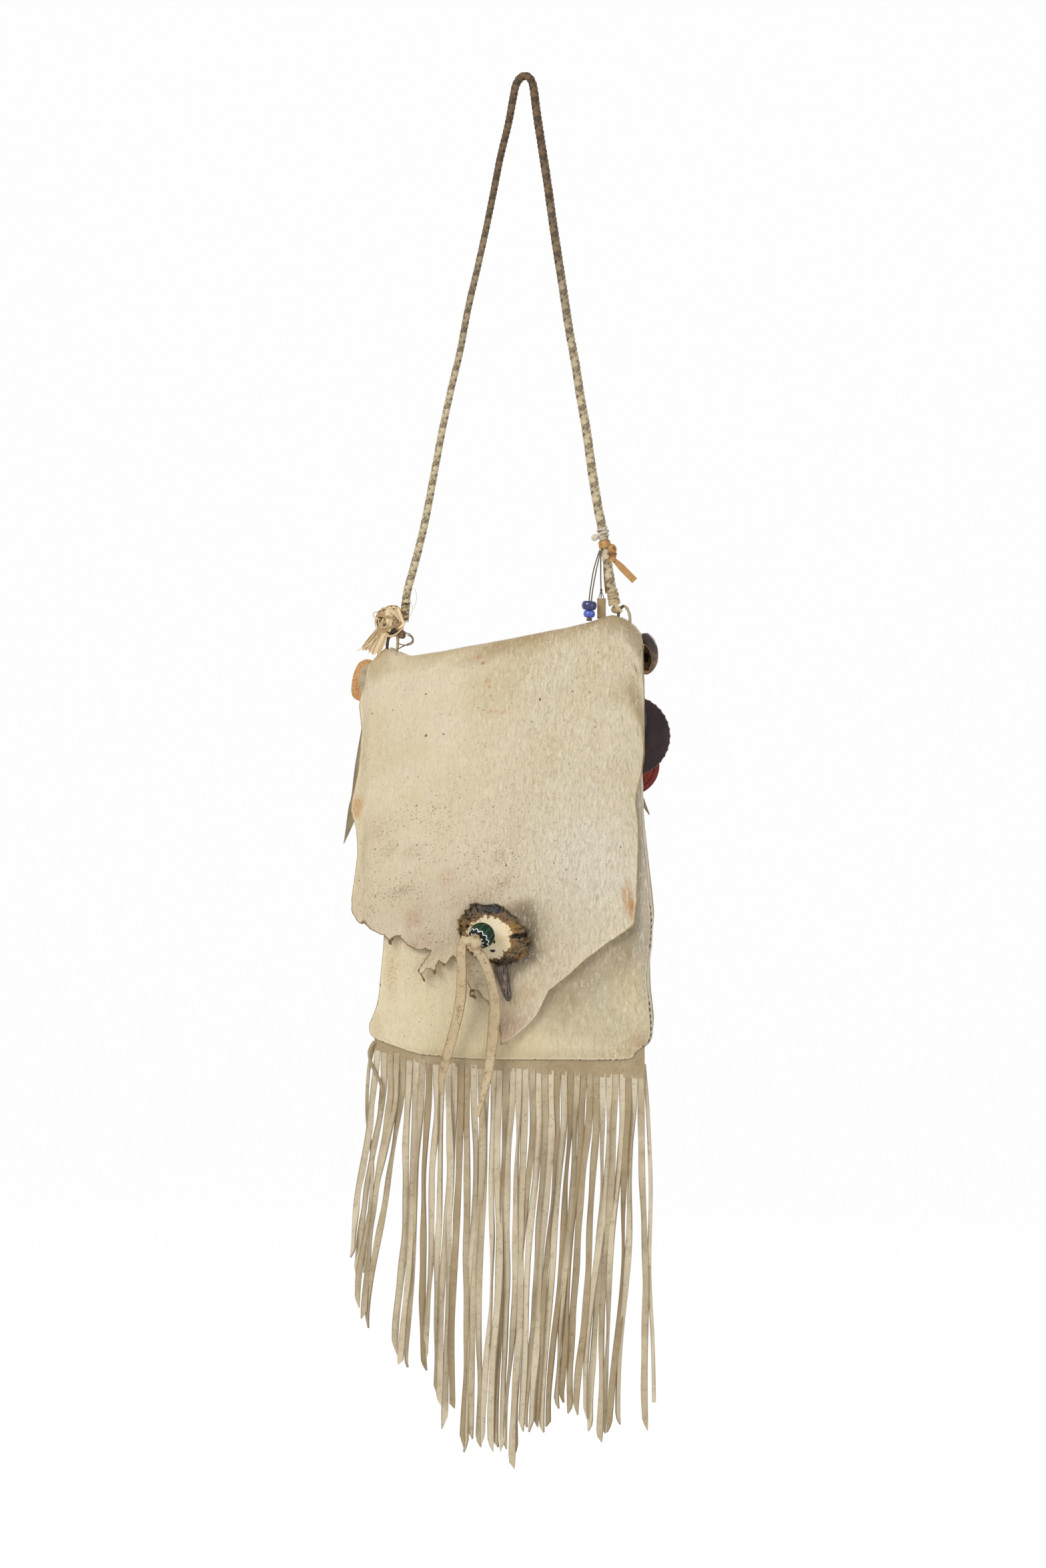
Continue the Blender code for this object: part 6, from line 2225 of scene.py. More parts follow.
@dataclass
class LeftTie:
    """The straw knot with its frayed tail, the dark knots, the thread and its loose fibres."""

    centre: Place = (-101.0, -1.0, -405.8)
    radii: Place = (10.5, 8.0, 11.0)
    fibre_step: float = 1.3
    dark_knot: Place = (-92.0, -3.0, -415.2)
    dark_radius: float = 3.5
    loops: int = 40
    tail_fibres: int = 15
    tail_tops: tuple[Point, Point] = ((-112.0, -412.0), (-102.5, -414.0))
    tail_ends: tuple[Point, Point] = ((-124.0, -427.2), (-109.5, -431.2))
    loop_route: tuple[Place, ...] = (
        (-99.3, 0.2, -431), (-102.6, 0.2, -428.6), (-103.3, 0, -424), (-102.4, -1.5, -418.5),
        (-100.6, -2.6, -413.8), (-98, -3, -412.6), (-95.6, -2.2, -415), (-95.3, -0.6, -420),
        (-95.7, 0.1, -425.5), (-96.6, 0.2, -429.8),
    )

    def fibre(self, made: Form, route: Sequence[Sequence[float]], half: float, flat: float, tone: float,
              across: Vector | None = None) -> None:
        """Adds one tapered fibre.

        Args:
            made: The form that it goes into.
            route: The points that it goes through, in millimetres.
            half: Half its width, in millimetres.
            flat: How thick it is for its width.
            tone: Its shade.
            across: The direction that its width lies in.
        """
        points = even(metres(route), self.fibre_step * MM)
        last = len(points) - 1
        sizes = [half * MM * min(1.0, 0.35 + 6 * min(k, last - k) / last) for k in range(last + 1)]
        add_tube(made, points, sizes, tone, sides=6, flat=flat, across=across)

    def straw(self) -> None:
        """Makes the straw knot, its tail and the strand over the whipping."""
        made, draw = Form(), random.Random(SEED + 11)
        middle = Vector(self.centre)
        add_ball(made, middle * MM, [r * 0.7 * MM for r in self.radii], 0.25, 2.5, 0.4, 20, 12)
        for k in range(self.loops):
            way = Vector((draw.gauss(0, 0.6), draw.gauss(0, 1.0), draw.gauss(0, 0.6))).normalized()
            first = way.orthogonal().normalized()
            second = way.cross(first)
            start, long = draw.uniform(0, math.tau), draw.uniform(1.6, 4.6)
            reach, bow = draw.uniform(0.66, 1.08), draw.uniform(-0.6, 0.6)
            route = []
            for t in np.linspace(0, 1, 9):
                angle = start + long * t
                out = between(first, second, angle)
                out += way * bow * math.sin(2.2 * math.pi * t)
                out.normalize()
                grow = reach + 0.10 * math.sin(7 * t + k) + 0.16 * max(0.0, t - 0.85) * (k % 5)
                route.append(middle + on_skin(out, self.radii, grow))
            self.fibre(made, route, draw.uniform(0.8, 2.5), draw.uniform(0.12, 0.3),
                       draw.uniform(0.15, 1.0), way)
        self.tail(made, draw)
        over = [(-95.5, -5, -395), (-94.2, -5.3, -398), (-93.2, -5.6, -402),
                (-90.9, -5.8, -407), (-93, -6.2, -409.5), (-97, -6.6, -411.5)]
        self.fibre(made, over, 1.25, 0.4, 0.85, Vector((1, 0, 0.3)))
        self.fibre(made, [(x - 2.1, y + 0.7, z + 0.3) for x, y, z in over], 0.9, 0.4, 0.55,
                   Vector((1, 0, 0.3)))
        straw = Lace("straw_fibre", shade(234, 210, 168), shade(158, 124, 82), rough=0.6, grain=1.0,
                     relief=0.0005, stretch=(900, 900, 300))
        show("straw_knot", made, straw.paint(), Body.STRAP, ("straw_binding",))

    def tail(self, made: Form, draw: random.Random) -> None:
        """Adds the frayed tail.

        Args:
            made: The form that it goes into.
            draw: What picks each fibre's place.
        """
        (x0, z0), (x1, z1) = self.tail_tops
        (x2, z2), (x3, z3) = self.tail_ends
        for k in range(self.tail_fibres):
            share = (k + draw.uniform(0.2, 0.8)) / self.tail_fibres
            top = (x0 + (x1 - x0) * share, draw.uniform(-5.5, -2.6), z0 + (z1 - z0) * share)
            far = draw.uniform(0.86, 1.06)
            end = (x2 + (x3 - x2) * share, draw.uniform(-5.6, -2.4), z2 + (z3 - z2) * share)
            end = tuple(a + (b - a) * far for a, b in zip(top, end))
            bend = draw.uniform(-1.3, 1.3)
            middle = tuple((a + b) / 2 + bend * n for a, b, n in zip(top, end, (0.9, 0.3, 0.4)))
            first = (top[0] + 4.5, top[1] + 1.5, top[2] + 4.5)
            self.fibre(made, [first, top, middle, end], draw.uniform(0.7, 1.9), draw.uniform(0.18, 0.4),
                       draw.uniform(0.45, 1.0), Vector((1, draw.uniform(-0.8, 0.8), 0.5)))
        stray = [(-108, -4, -414), (-113, -5, -419), (-119, -5.5, -424.5), (-126.3, -5, -427.6)]
        self.fibre(made, stray, 0.5, 0.5, 0.8)
        self.fibre(made, [(-110, -3, -398), (-113.6, -4, -399.5), (-112.8, -5, -402.5), (-108, -5, -404)],
                   0.6, 0.5, 0.7)

    def build(self) -> None:
        """Makes the tie's pieces."""
        self.straw()
        dark, middle = Form(), Vector(self.dark_knot)
        add_wound_knot(dark, middle * MM, [self.dark_radius * MM] * 3, 0.95 * MM, 7, 31, 0.7, 0.5)
        for x, z, lean in ((-97.5, -411.6, 0.4), (-99.6, -413.2, -0.3), (-101.6, -413.8, 0.2)):
            start = Vector((x - 2.4, -6.0, z + 2.4 * lean))
            self.fibre(dark, [start, (x, -7.4, z), (x + 2.6, -6.2, z - 2.0)], 1.0, 0.8, 0.2)
        finish = Lace("dark_knot_lace", shade(142, 112, 74), shade(40, 28, 18), rough=0.5)
        show("dark_knot_turns", dark, finish.paint(), Body.STRAP, ("dark_knot",))
        TieLoop("left_loop", "left_tie_loop", self.loop_route, shade(184, 162, 126), shade(78, 58, 38),
                0.95).build()
        self.threads()

    def threads(self) -> None:
        """Makes the waxed thread's loops and the loose fibres."""
        made = Form()
        routes = (
            [(-88.1, -3, -415.6), (-86.3, -3.2, -416.2), (-84.2, -3.6, -418.4), (-84.6, -3.8, -420.8),
             (-87.4, -3.6, -422.3), (-91, -3.2, -424), (-95.2, -3, -426.2)],
            [(-89.5, -4.6, -414), (-86, -5, -415.2), (-83.6, -5.2, -418.6), (-84.2, -5.2, -421.8),
             (-88, -5, -423.4), (-92.5, -4.6, -422.9), (-95.5, -4, -421.5)],
        )
        for route, tone in zip(routes, (0.3, 0.7)):
            add_tube(made, even(metres(route), 0.8 * MM), 0.42 * MM, tone, sides=8)
        thread = Lace("waxed_thread_finish", shade(140, 104, 78), shade(54, 36, 26), rough=0.5)
        show("waxed_thread_loops", made, thread.paint(), Body.STRAP, ("waxed_thread",))
        wisps = Form()
        for route in (
            [(-82.8, -2, -380.8), (-81.2, -2.4, -385.3), (-81.4, -2.6, -390), (-83.3, -2.8, -396.5)],
            [(-86.2, -3, -388.6), (-85, -3.2, -392.5), (-84.3, -3.2, -396.3), (-85.5, -3.4, -400),
             (-88.3, -4, -405.5)],
        ):
            add_tube(wisps, even(metres(route), 0.9 * MM), 0.17 * MM, 0.7, sides=5)
        hair = Lace("wisp_fibre", shade(204, 190, 160), shade(150, 124, 90), rough=0.6)
        show("loose_fibres", wisps, hair.paint(), Body.STRAP, ())


@dataclass
class RightTie:
    """The ochre lace, the string knot, the right corner's loop and the knot at the strap's end."""

    band: Point = (-344.8, -351.0)
    band_radius: float = 4.15
    tail: tuple[Place, ...] = ((64.6, -2, -357.6), (68, -2, -360.6), (71.4, -1.7, -364),
                               (76.5, -1.3, -369.2), (82.2, -1.4, -375))
    strand: tuple[Place, ...] = ((59.6, 4.5, -346), (60, 4.6, -356), (60.3, 4.5, -366),
                                 (60.9, 4.5, -376), (61.8, 4.5, -384))
    string_ball: Place = (52.2, -1.0, -342.6)
    string_band: Point = (-335.5, -343.0)
    ochre_knot: Place = (65.2, -2.2, -351.4)
    end_knot: Place = (68.3, -0.6, -396.4)
    rows: int = 9
    loop_route: tuple[Place, ...] = (
        (74.5, 0.2, -411.6), (71, 0.2, -409.6), (69.9, 0, -404.5), (70.3, -0.6, -398.6),
        (72.2, -0.9, -395), (74.8, -0.8, -394), (77.3, -0.4, -397.2), (78.7, 0, -402.5),
        (78.2, 0.2, -408.2), (76.6, 0.2, -411.2),
    )

    def build(self) -> None:
        """Makes the tie's pieces."""
        made, leg = Form(), strap_leg(1, *self.band)
        line = [leg[i] for i in np.linspace(0, len(leg) - 1, self.rows).astype(int)]
        half = self.rows // 2
        rings, tones = [], []
        for shift, order in ((0.45, range(self.rows)), (-0.5, range(self.rows - 1, -1, -1))):
            skin = self.band_radius + shift
            for i in order:
                edge = math.sqrt(max(0.0, 1 - (abs(i - half) / half) ** 4))
                far = (skin - 0.3 * (1 - edge)) * MM
                _, side, front = frames_along(line, RIGHT)[i]
                for k in range(28):
                    tones.append(0.35 + 0.45 * lump(k / 3.0, i / 2.0, 6) + 0.25 * edge)
                rings.append([line[i] + between(side, front, a) * far for a in angles(28)])
        made.rings(rings, closed=True, tone=tones)
        radii = metres([(3.7, 3.7, 4.2)])[0]
        add_wound_knot(made, Vector(self.ochre_knot) * MM, radii, 1.7 * MM, 5, 8, 0.5, 0.6)
        for k in range(4):
            height = -355.4 - 1.5 * k
            ring = [Vector((66.2 + 2.2 * math.cos(a) - 0.3 * k, -2.0 + 2.2 * math.sin(a),
                            height + 0.7 * math.cos(a))) * MM
                    for a in angles(14, 1)]
            made.rings(tube_rings(ring, 0.85 * MM, 8, 0.6, Vector((0, 0, 1))), tone=0.25 + 0.2 * k)
        tail = even(metres(self.tail), 1.5 * MM)
        grow = [5.2 * MM * min(1.0, 0.55 + 0.06 * k) for k in range(len(tail))]
        add_ribbon(made, tail, grow, 0.9 * MM, 0.62, Vector((0.7, 0, 0.72)), cup=0.05)
        strand = even(metres(self.strand), 2 * MM)
        add_ribbon(made, strand, [3.0 * MM] * len(strand), 0.8 * MM, 0.3, RIGHT)
        ochre = Lace("ochre_lace", shade(200, 154, 98), shade(112, 74, 36), rough=0.85, grain=330)
        show("ochre_lace_tie", made, ochre.paint(), Body.STRAP, ("ochre_tie",))
        string = Form()
        leg = strap_leg(1, *self.string_band)
        add_wraps(string, leg, 4.1 * MM, 0.75 * MM, 2.6, (0.3, 0.95), 0.8, 0.5)
        add_wraps(string, leg[2:-2], 4.4 * MM, 0.65 * MM, -1.3, (0.1, 0.6), 0.8, 2.5)
        ball = Vector(self.string_ball) * MM
        add_wound_knot(string, ball, [2.7 * MM] * 3, 0.8 * MM, 8, 5, 0.8, 0.75)
        link = [self.string_ball, (54.4, -3.6, -341.2), (56.6, -4.6, -340.0)]
        add_tube(string, even(metres(link), MM), 0.8 * MM, 0.7, sides=8)
        pale = Lace("string_fibre", shade(222, 212, 194), shade(132, 112, 90), rough=0.8, grain=900)
        show("string_turns", string, pale.paint(), Body.STRAP, ("string_knot",))
        TieLoop("right_loop", "right_tie_loop", self.loop_route, shade(180, 164, 132),
                shade(84, 68, 48), 0.8).build()
        knot = Form()
        radii = metres([(3.9, 3.5, 3.3)])[0]
        add_wound_knot(knot, Vector(self.end_knot) * MM, radii, 1.3 * MM, 7, 21, 0.5, 0.55)
        add_tube(knot, even(metres([(66.3, -2.8, -391), (69.4, -3.8, -395), (72.4, -2.4, -398.4)]), MM),
                 1.3 * MM, 0.9, sides=8, flat=0.5, across=Vector((0.6, 0, 0.8)))
        pale = Lace("end_knot_thong", shade(200, 180, 140), shade(92, 70, 44), rough=0.7)
        show("strap_end_knot", knot, pale.paint(), Body.STRAP, ())


@dataclass
class BeadString:
    """Two grey cords with a dark and a light blue bead and a short red-brown one. Millimetres."""

    hang: Place = (56.0, -1.2, -352.2)
    route: tuple[Place, ...] = ((54.6, -1.2, -356), (51.4, -1.2, -367), (49.2, -1.2, -380),
                                (48.1, -1.2, -389), (48.1, -1.2, -398), (48.1, -1.2, -405))
    twin: tuple[Place, ...] = ((56.2, -1.6, -351.8), (55.6, -1.8, -357), (53.4, -2, -367),
                               (51, -2, -380), (49.6, -1.8, -390.6))
    cord: float = 1.0
    bore: float = 1.3

    def bead(self, name: str, node: str, finish: Glass, slot: str, soft: float) -> None:
        """Makes a bead in the place of a frame's bead.

        Args:
            name: The bead's name.
            node: The node that it replaces.
            finish: Its glass.
            slot: A material slot's name, which is not used.
            soft: How rounded its side is, from 0 to 1.
        """
        low, high = (Vector(corner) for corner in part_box(node))
        middle, radius, half = (low + high) / 2, (high.x - low.x) / 2, (high.z - low.z) / 2
        bore, profile = self.bore * MM, []
        for k in range(17):
            angle = -math.pi / 2 + math.pi * k / 16
            bulge = radius - half * soft * (1 - abs(math.cos(angle)) ** 0.75)
            profile.append((bulge, half * math.sin(angle) * (1 - 0.04 * math.cos(2 * angle))))
        profile = [(bore, -half * 0.9), (bore + (profile[0][0] - bore) * 0.5, -half), *profile,
                   (bore + (profile[0][0] - bore) * 0.5, half), (bore, half * 0.9)]
        made = Form()
        add_turned(made, profile, middle, (0.06, 0, 1), 44, True)
        show(name, made, finish.paint(), Body.BEADS, (node,))

    def build(self) -> None:
        """Makes the cords and the beads."""
        finish = Lace("bead_cord_fibre", shade(124, 110, 88), shade(66, 52, 38), rough=0.7, grain=900)
        material = finish.paint()
        for name, route, nodes in (("bead_cord_line", (self.hang, *self.route), ("bead_cord",)),
                                   ("bead_cord_twin", self.twin, ())):
            points, made = even(metres(route), 1.5 * MM), Form()
            add_tube(made, points, self.cord / 2 * MM, 0.6, sides=8)
            piece = show(name, made, material, Body.BEADS, nodes)
        cobalt = Glass("cobalt_glass", shade(14, 20, 86), shade(24, 34, 108), 0.12, 0.4)
        self.bead("cobalt_bead", "dark_blue_bead", cobalt, "cobalt_glass", 0.75)
        sky_blue = Glass("sky_blue_glass", shade(52, 78, 176), shade(84, 112, 200), 0.22, 0.3)
        self.bead("blue_bead", "light_blue_bead", sky_blue, "sky_glass", 0.9)
        red_brown = Glass("red_brown_glass", shade(66, 34, 38), shade(104, 64, 60), 0.35, 0.2)
        self.bead("red_brown_bead", "tube_bead", red_brown, "purple_glass", 0.25)


@dataclass
class Strip:
    """A short tan strip on its own grey cord. Millimetres."""

    route: tuple[Place, ...] = ((57, 2.4, -352.2), (56.8, 2.5, -361), (56.9, 2.7, -374),
                                (57.2, 2.9, -387.6))
    knot: Place = (57.1, 2.8, -381.6)
    strip: tuple[Place, ...] = ((57.35, 2.9, -387.9), (57.4, 2.9, -395), (57.4, 2.9, -403.2))
    width: float = 6.4
    thick: float = 1.4

    def build(self) -> None:
        """Makes the cord and the strip."""
        made, points = Form(), even(metres(self.route), 1.5 * MM)
        add_tube(made, points, 0.5 * MM, 0.5, sides=8)
        add_ball(made, Vector(self.knot) * MM, [0.95 * MM] * 3, 0.3, 3, 0.3, 12, 8)
        for side in (-1, 1):
            end = [self.knot, (57.2 + 1.1 * side, 2.4, -384.8), (57.2 + 2.0 * side, 2.4, -388.4)]
            add_tube(made, even(metres(end), MM), 0.3 * MM, 0.4, sides=6)
        cord = Lace("strip_cord_fibre", shade(132, 116, 94), shade(76, 60, 44), rough=0.7, grain=900)
        piece = show("strip_cord_line", made, cord.paint(), Body.STRIP, ("strip_cord",))
        strip, points = Form(), even(metres(self.strip), 1.5 * MM)
        add_ribbon(strip, points, [self.width * MM] * len(points), self.thick * MM, 0.5, RIGHT)
        hide = Suede("tan_strip_hide", shade(188, 164, 122), shade(146, 122, 84), blotch=0.5)
        show("tan_hide_strip", strip, hide.paint(), Body.STRIP, ("tan_strip",))


# What closes the lid

@dataclass
class Closure:
    """The antler rosette, the striped bead, the knot with its two thong ends, and the horn tip."""

    rosette_outline: tuple[Point, ...] = (
        (-49.6, -628.8), (-44.8, -620.5), (-40.3, -616.6), (-32.7, -616.2), (-25, -616.9), (-21.2, -616.4),
        (-13.6, -621.2), (-4.6, -630.1), (2.4, -635.2), (4.3, -642.9), (1.8, -653), (-4.6, -659.4),
        (-12.3, -661.6), (-19.3, -662.8), (-25.1, -659.8), (-35.2, -657.7), (-45.7, -648.1),
        (-49, -638.2),
    )
    core: Place = (-26.6, 0.0, -641.6)
    core_wide: float = 17.2
    core_tall: float = 15.6
    bead_axis: Vector = field(default_factory=lambda: Vector((-0.50, -0.55, -0.50)).normalized())
    bead_radius: float = 9.75
    bead_length: float = 17.0
    bead_bore: float = 2.2
    knot_shift: Place = (1.2, -0.6, 3.0)
    folds: tuple[tuple[Place, Place, float], ...] = (
        ((-2.6, -3, 1.2), (4.4, 2.6, 3), 1), ((2.2, -3.6, -0.2), (4.2, 2.8, 3.4), 0.95),
        ((0.4, -2.6, -3.6), (4.6, 2.2, 2), 0.35),
    )
    left_tail: tuple[Place, ...] = (
        (-43.8, -37.6, -640.8), (-46.2, -40.6, -645.5), (-47, -39.2, -654), (-46.6, -36, -665),
        (-47.4, -30.5, -684), (-50.6, -26, -702), (-55.5, -23, -720), (-60, -20.5, -736),
        (-62.6, -19.5, -749), (-62.2, -19.5, -759),
    )
    thong_thick: float = 1.7
    left_widths: tuple[Point, ...] = ((0, 6), (0.1, 7.6), (0.35, 8.2), (0.6, 7.6), (0.8, 7.4), (0.9, 5.2),
                                      (1, 2))
    right_tail: tuple[Place, ...] = (
        (-37.5, -44.8, -647.5), (-34, -43.6, -651.5), (-30.6, -40.2, -658), (-27.5, -36.5, -666),
        (-24, -31.5, -680), (-22.6, -28, -692), (-23.6, -25, -709), (-26, -22, -733),
        (-29, -20, -750), (-35.2, -19, -775),
    )
    right_widths: tuple[Point, ...] = (
        (0, 6.5), (0.08, 7.6), (0.25, 7.2), (0.42, 9.2), (0.6, 8), (0.75, 7.4), (0.86, 5.4), (1, 2.6),
    )

    def rosette(self) -> None:
        """Makes the sawn antler burr."""
        low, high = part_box("antler_rosette")
        centre_x, centre_z = (low[0] + high[0]) / 2 / MM, (low[2] + high[2]) / 2 / MM
        front, back = low[1] / MM, high[1] / MM
        angles = [math.atan2(z - centre_z, x - centre_x) for x, z in self.rosette_outline]
        reaches = [math.hypot(z - centre_z, x - centre_x) for x, z in self.rosette_outline]
        order = np.argsort(angles)
        turn, reach = np.array(angles)[order], np.array(reaches)[order]
        face_rows, around = 40, 180
        shares = [*np.linspace(0.03, 0.94, face_rows), 0.97, 0.99, 1.0, 0.995, 0.97, 0.9]
        depths = [*[None] * face_rows, 0.78, 0.6, 0.4, 0.22, 0.08, 0.0]
        rings, heights = [], []
        for share, depth in zip(shares, depths):
            ring = []
            for k in range(around):
                angle = -math.pi + math.tau * k / around
                far = float(np.interp(angle, turn, reach, period=math.tau)) * share
                knob = ring_lump(angle, 4, 2.5)
                knob += 0.7 * ring_lump(angle, 11, 4)
                far *= 1 + 0.085 * knob * share**6
                x, z = centre_x + far * math.cos(angle), centre_z + far * math.sin(angle)
                height = self.rosette_height(x, z, share) if depth is None else depth
                ring.append((x * MM, (back - (back - front) * height) * MM, z * MM))
                heights.append(height)
            rings.append(ring)
        made = Form().rings(rings, height=heights)
        antler = Antler("antler_finish", self.core, self.core_wide, self.core_tall)
        show("antler_burr", made, antler.paint(), Body.LID, ("antler_rosette",))

    def rosette_height(self, x: float, z: float, share: float) -> float:
        """Gives the height of the burr's face.

        Args:
            x: The place from left to right.
            z: Its height on the bag.
            share: How far out it is, from 0 to 1.

        Returns:
            A share of the burr's thickness.
        """
        inner = math.hypot((x - self.core[0]) / self.core_wide, (z - self.core[2]) / self.core_tall)
        jag = lump(x / 2.6, z / 2.6, 1.0) * 0.10
        rim = ease(0.96, 1.06, inner + jag)
        here = Vector((x, 0, z))
        knobs = 0.5 + 0.5 * noise.noise(here / 4.2) + 0.35 * noise.noise(here / 1.7)
        angle = math.atan2(z - self.core[2], x - self.core[0])
        ray = Vector((math.cos(angle) * 7, math.sin(angle) * 7, inner * 0.8))
        ridge = abs(noise.noise(ray)) + 0.5 * abs(noise.noise(here / 2.2 + Vector((7, 0, 0))))
        bark = 0.60 + 0.34 * knobs - 0.42 * ease(0.16, 0.0, ridge) - 0.25 * ease(0.8, 0.98, share)
        crack = ease(1.6, 0.2, abs(z + 639.6 - 0.12 * (x + 6))) * ease(-9.5, -7.5, x) * ease(3, 0, x)
        flat = 0.74 + 0.012 * noise.noise(here / 1.2) - 0.03 * inner
        return min(1.0, max(0.1, flat * (1 - rim) + bark * rim - 0.4 * crack * rim))

    def bead(self) -> None:
        """Makes the striped barrel bead."""
        low, high = (Vector(corner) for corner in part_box("chevron_bead"))
        middle, half = (low + high) / 2, self.bead_length / 2
        profile = [(self.bead_bore * MM, -half * 0.86 * MM),
                   (self.bead_radius * 0.5 * MM, -half * 0.97 * MM)]
        for k in range(25):
            angle = math.radians(-66 + 132 * k / 24)
            profile.append((self.bead_radius * math.cos(angle) ** 0.75 * MM, half * math.sin(angle) * MM))
        profile += [(self.bead_radius * 0.5 * MM, half * 0.97 * MM),
                    (self.bead_bore * MM, half * 0.86 * MM)]
        made = Form()
        add_turned(made, profile, middle, self.bead_axis, 72, True)
        made.data["share"] = [value / (half * MM) for value in made.data["along"]]
        glass = StripedGlass("striped_green_glass")
        show("striped_bead", made, glass.paint(), Body.LID, ("chevron_bead",))

    def knot(self) -> None:
        """Makes the knot and the two thong ends that hang from it."""
        low, high = (Vector(corner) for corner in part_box("closure_knot"))
        middle, made = (low + high) / 2 + Vector(self.knot_shift) * MM, Form()
        radii = [(high[n] - low[n]) / 2 for n in range(3)]
        add_wound_knot(made, middle, radii, 2.9 * MM, 5, 3, 0.45, 0.6)
        for place, size, tone in self.folds:
            add_ball(made, middle + Vector(place) * MM, metres([size])[0], 0.22, 1.6, tone, 28, 16)
        collar = middle - self.bead_axis * 4.6 * MM
        side = self.bead_axis.orthogonal().normalized()
        other = self.bead_axis.cross(side)
        ring = [collar + between(side, other, a) * 3.4 * MM for a in angles(24, 1)]
        made.rings(tube_rings(ring, 1.3 * MM, 8, 0.6, self.bead_axis), tone=0.2)
        thong = Suede("thong_hide", shade(209, 189, 153), shade(170, 144, 106), grime=shade(104, 76, 50),
                      edge=shade(144, 114, 78), edge_share=0.75, blotch=1.0, speckled=3.0)
        material = thong.paint()
        show("closure_thong_knot", made, material, Body.LID, ("closure_knot",))
        for name, node, route, widths, twist in (
            ("left_thong", "left_thong_tail", self.left_tail, self.left_widths, 0.35),
            ("right_thong", "right_thong_tail", self.right_tail, self.right_widths, -0.3),
        ):
            points, made = even(metres(route), 2 * MM), Form()
            last = len(points) - 1
            width = [read_line(widths, k / last) * MM for k in range(last + 1)]
            turns = [twist * math.sin(4.2 * k / last + 0.4) for k in range(last + 1)]
            add_ribbon(made, points, width, self.thong_thick * MM, 0.7, RIGHT, turns, 0.07)
            piece = show(name, made, material, Body.LID, (node,))

    def horn(self) -> None:
        """Makes the horn tip."""
        low, high = (Vector(corner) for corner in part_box("horn_tip"))
        depth = (low.y + high.y) / 2 / MM
        route = [(-18.4, depth, -662.4), (-16.3, depth, -670.0), (-14.4, depth - 0.2, -678.5),
                 (-12.7, depth + 0.4, -685.0), (-11.9, depth + 1.2, -689.2)]
        points, made = even(metres(route), 0.7 * MM), Form()
        last = len(points) - 1
        rings = []
        frames = frames_along(points, RIGHT)
        for i, place in enumerate(points):
            t = i / last
            far = 4.8 * MM * (1 - 0.36 * t) * (1 - t**7) ** 0.5 * (0.86 + 0.14 * ease(0, 0.15, t))
            far += 0.15 * MM
            _, side, front = frames[i]
            ring = []
            for angle in angles(32):
                groove = 1 + 0.06 * ring_lump(angle, 2.4, t * 2)
                ring.append(place + (side * math.cos(angle) + front * math.sin(angle) * 0.9) * far * groove)
            rings.append(ring)
        made.rings(rings)
        show("dark_horn_tip", made, Horn("dark_horn").paint(), Body.LID, ("horn_tip",))

    def build(self) -> None:
        """Makes the closure's pieces."""
        self.rosette()
        self.bead()
        self.knot()
        self.horn()


# The charms behind the corners

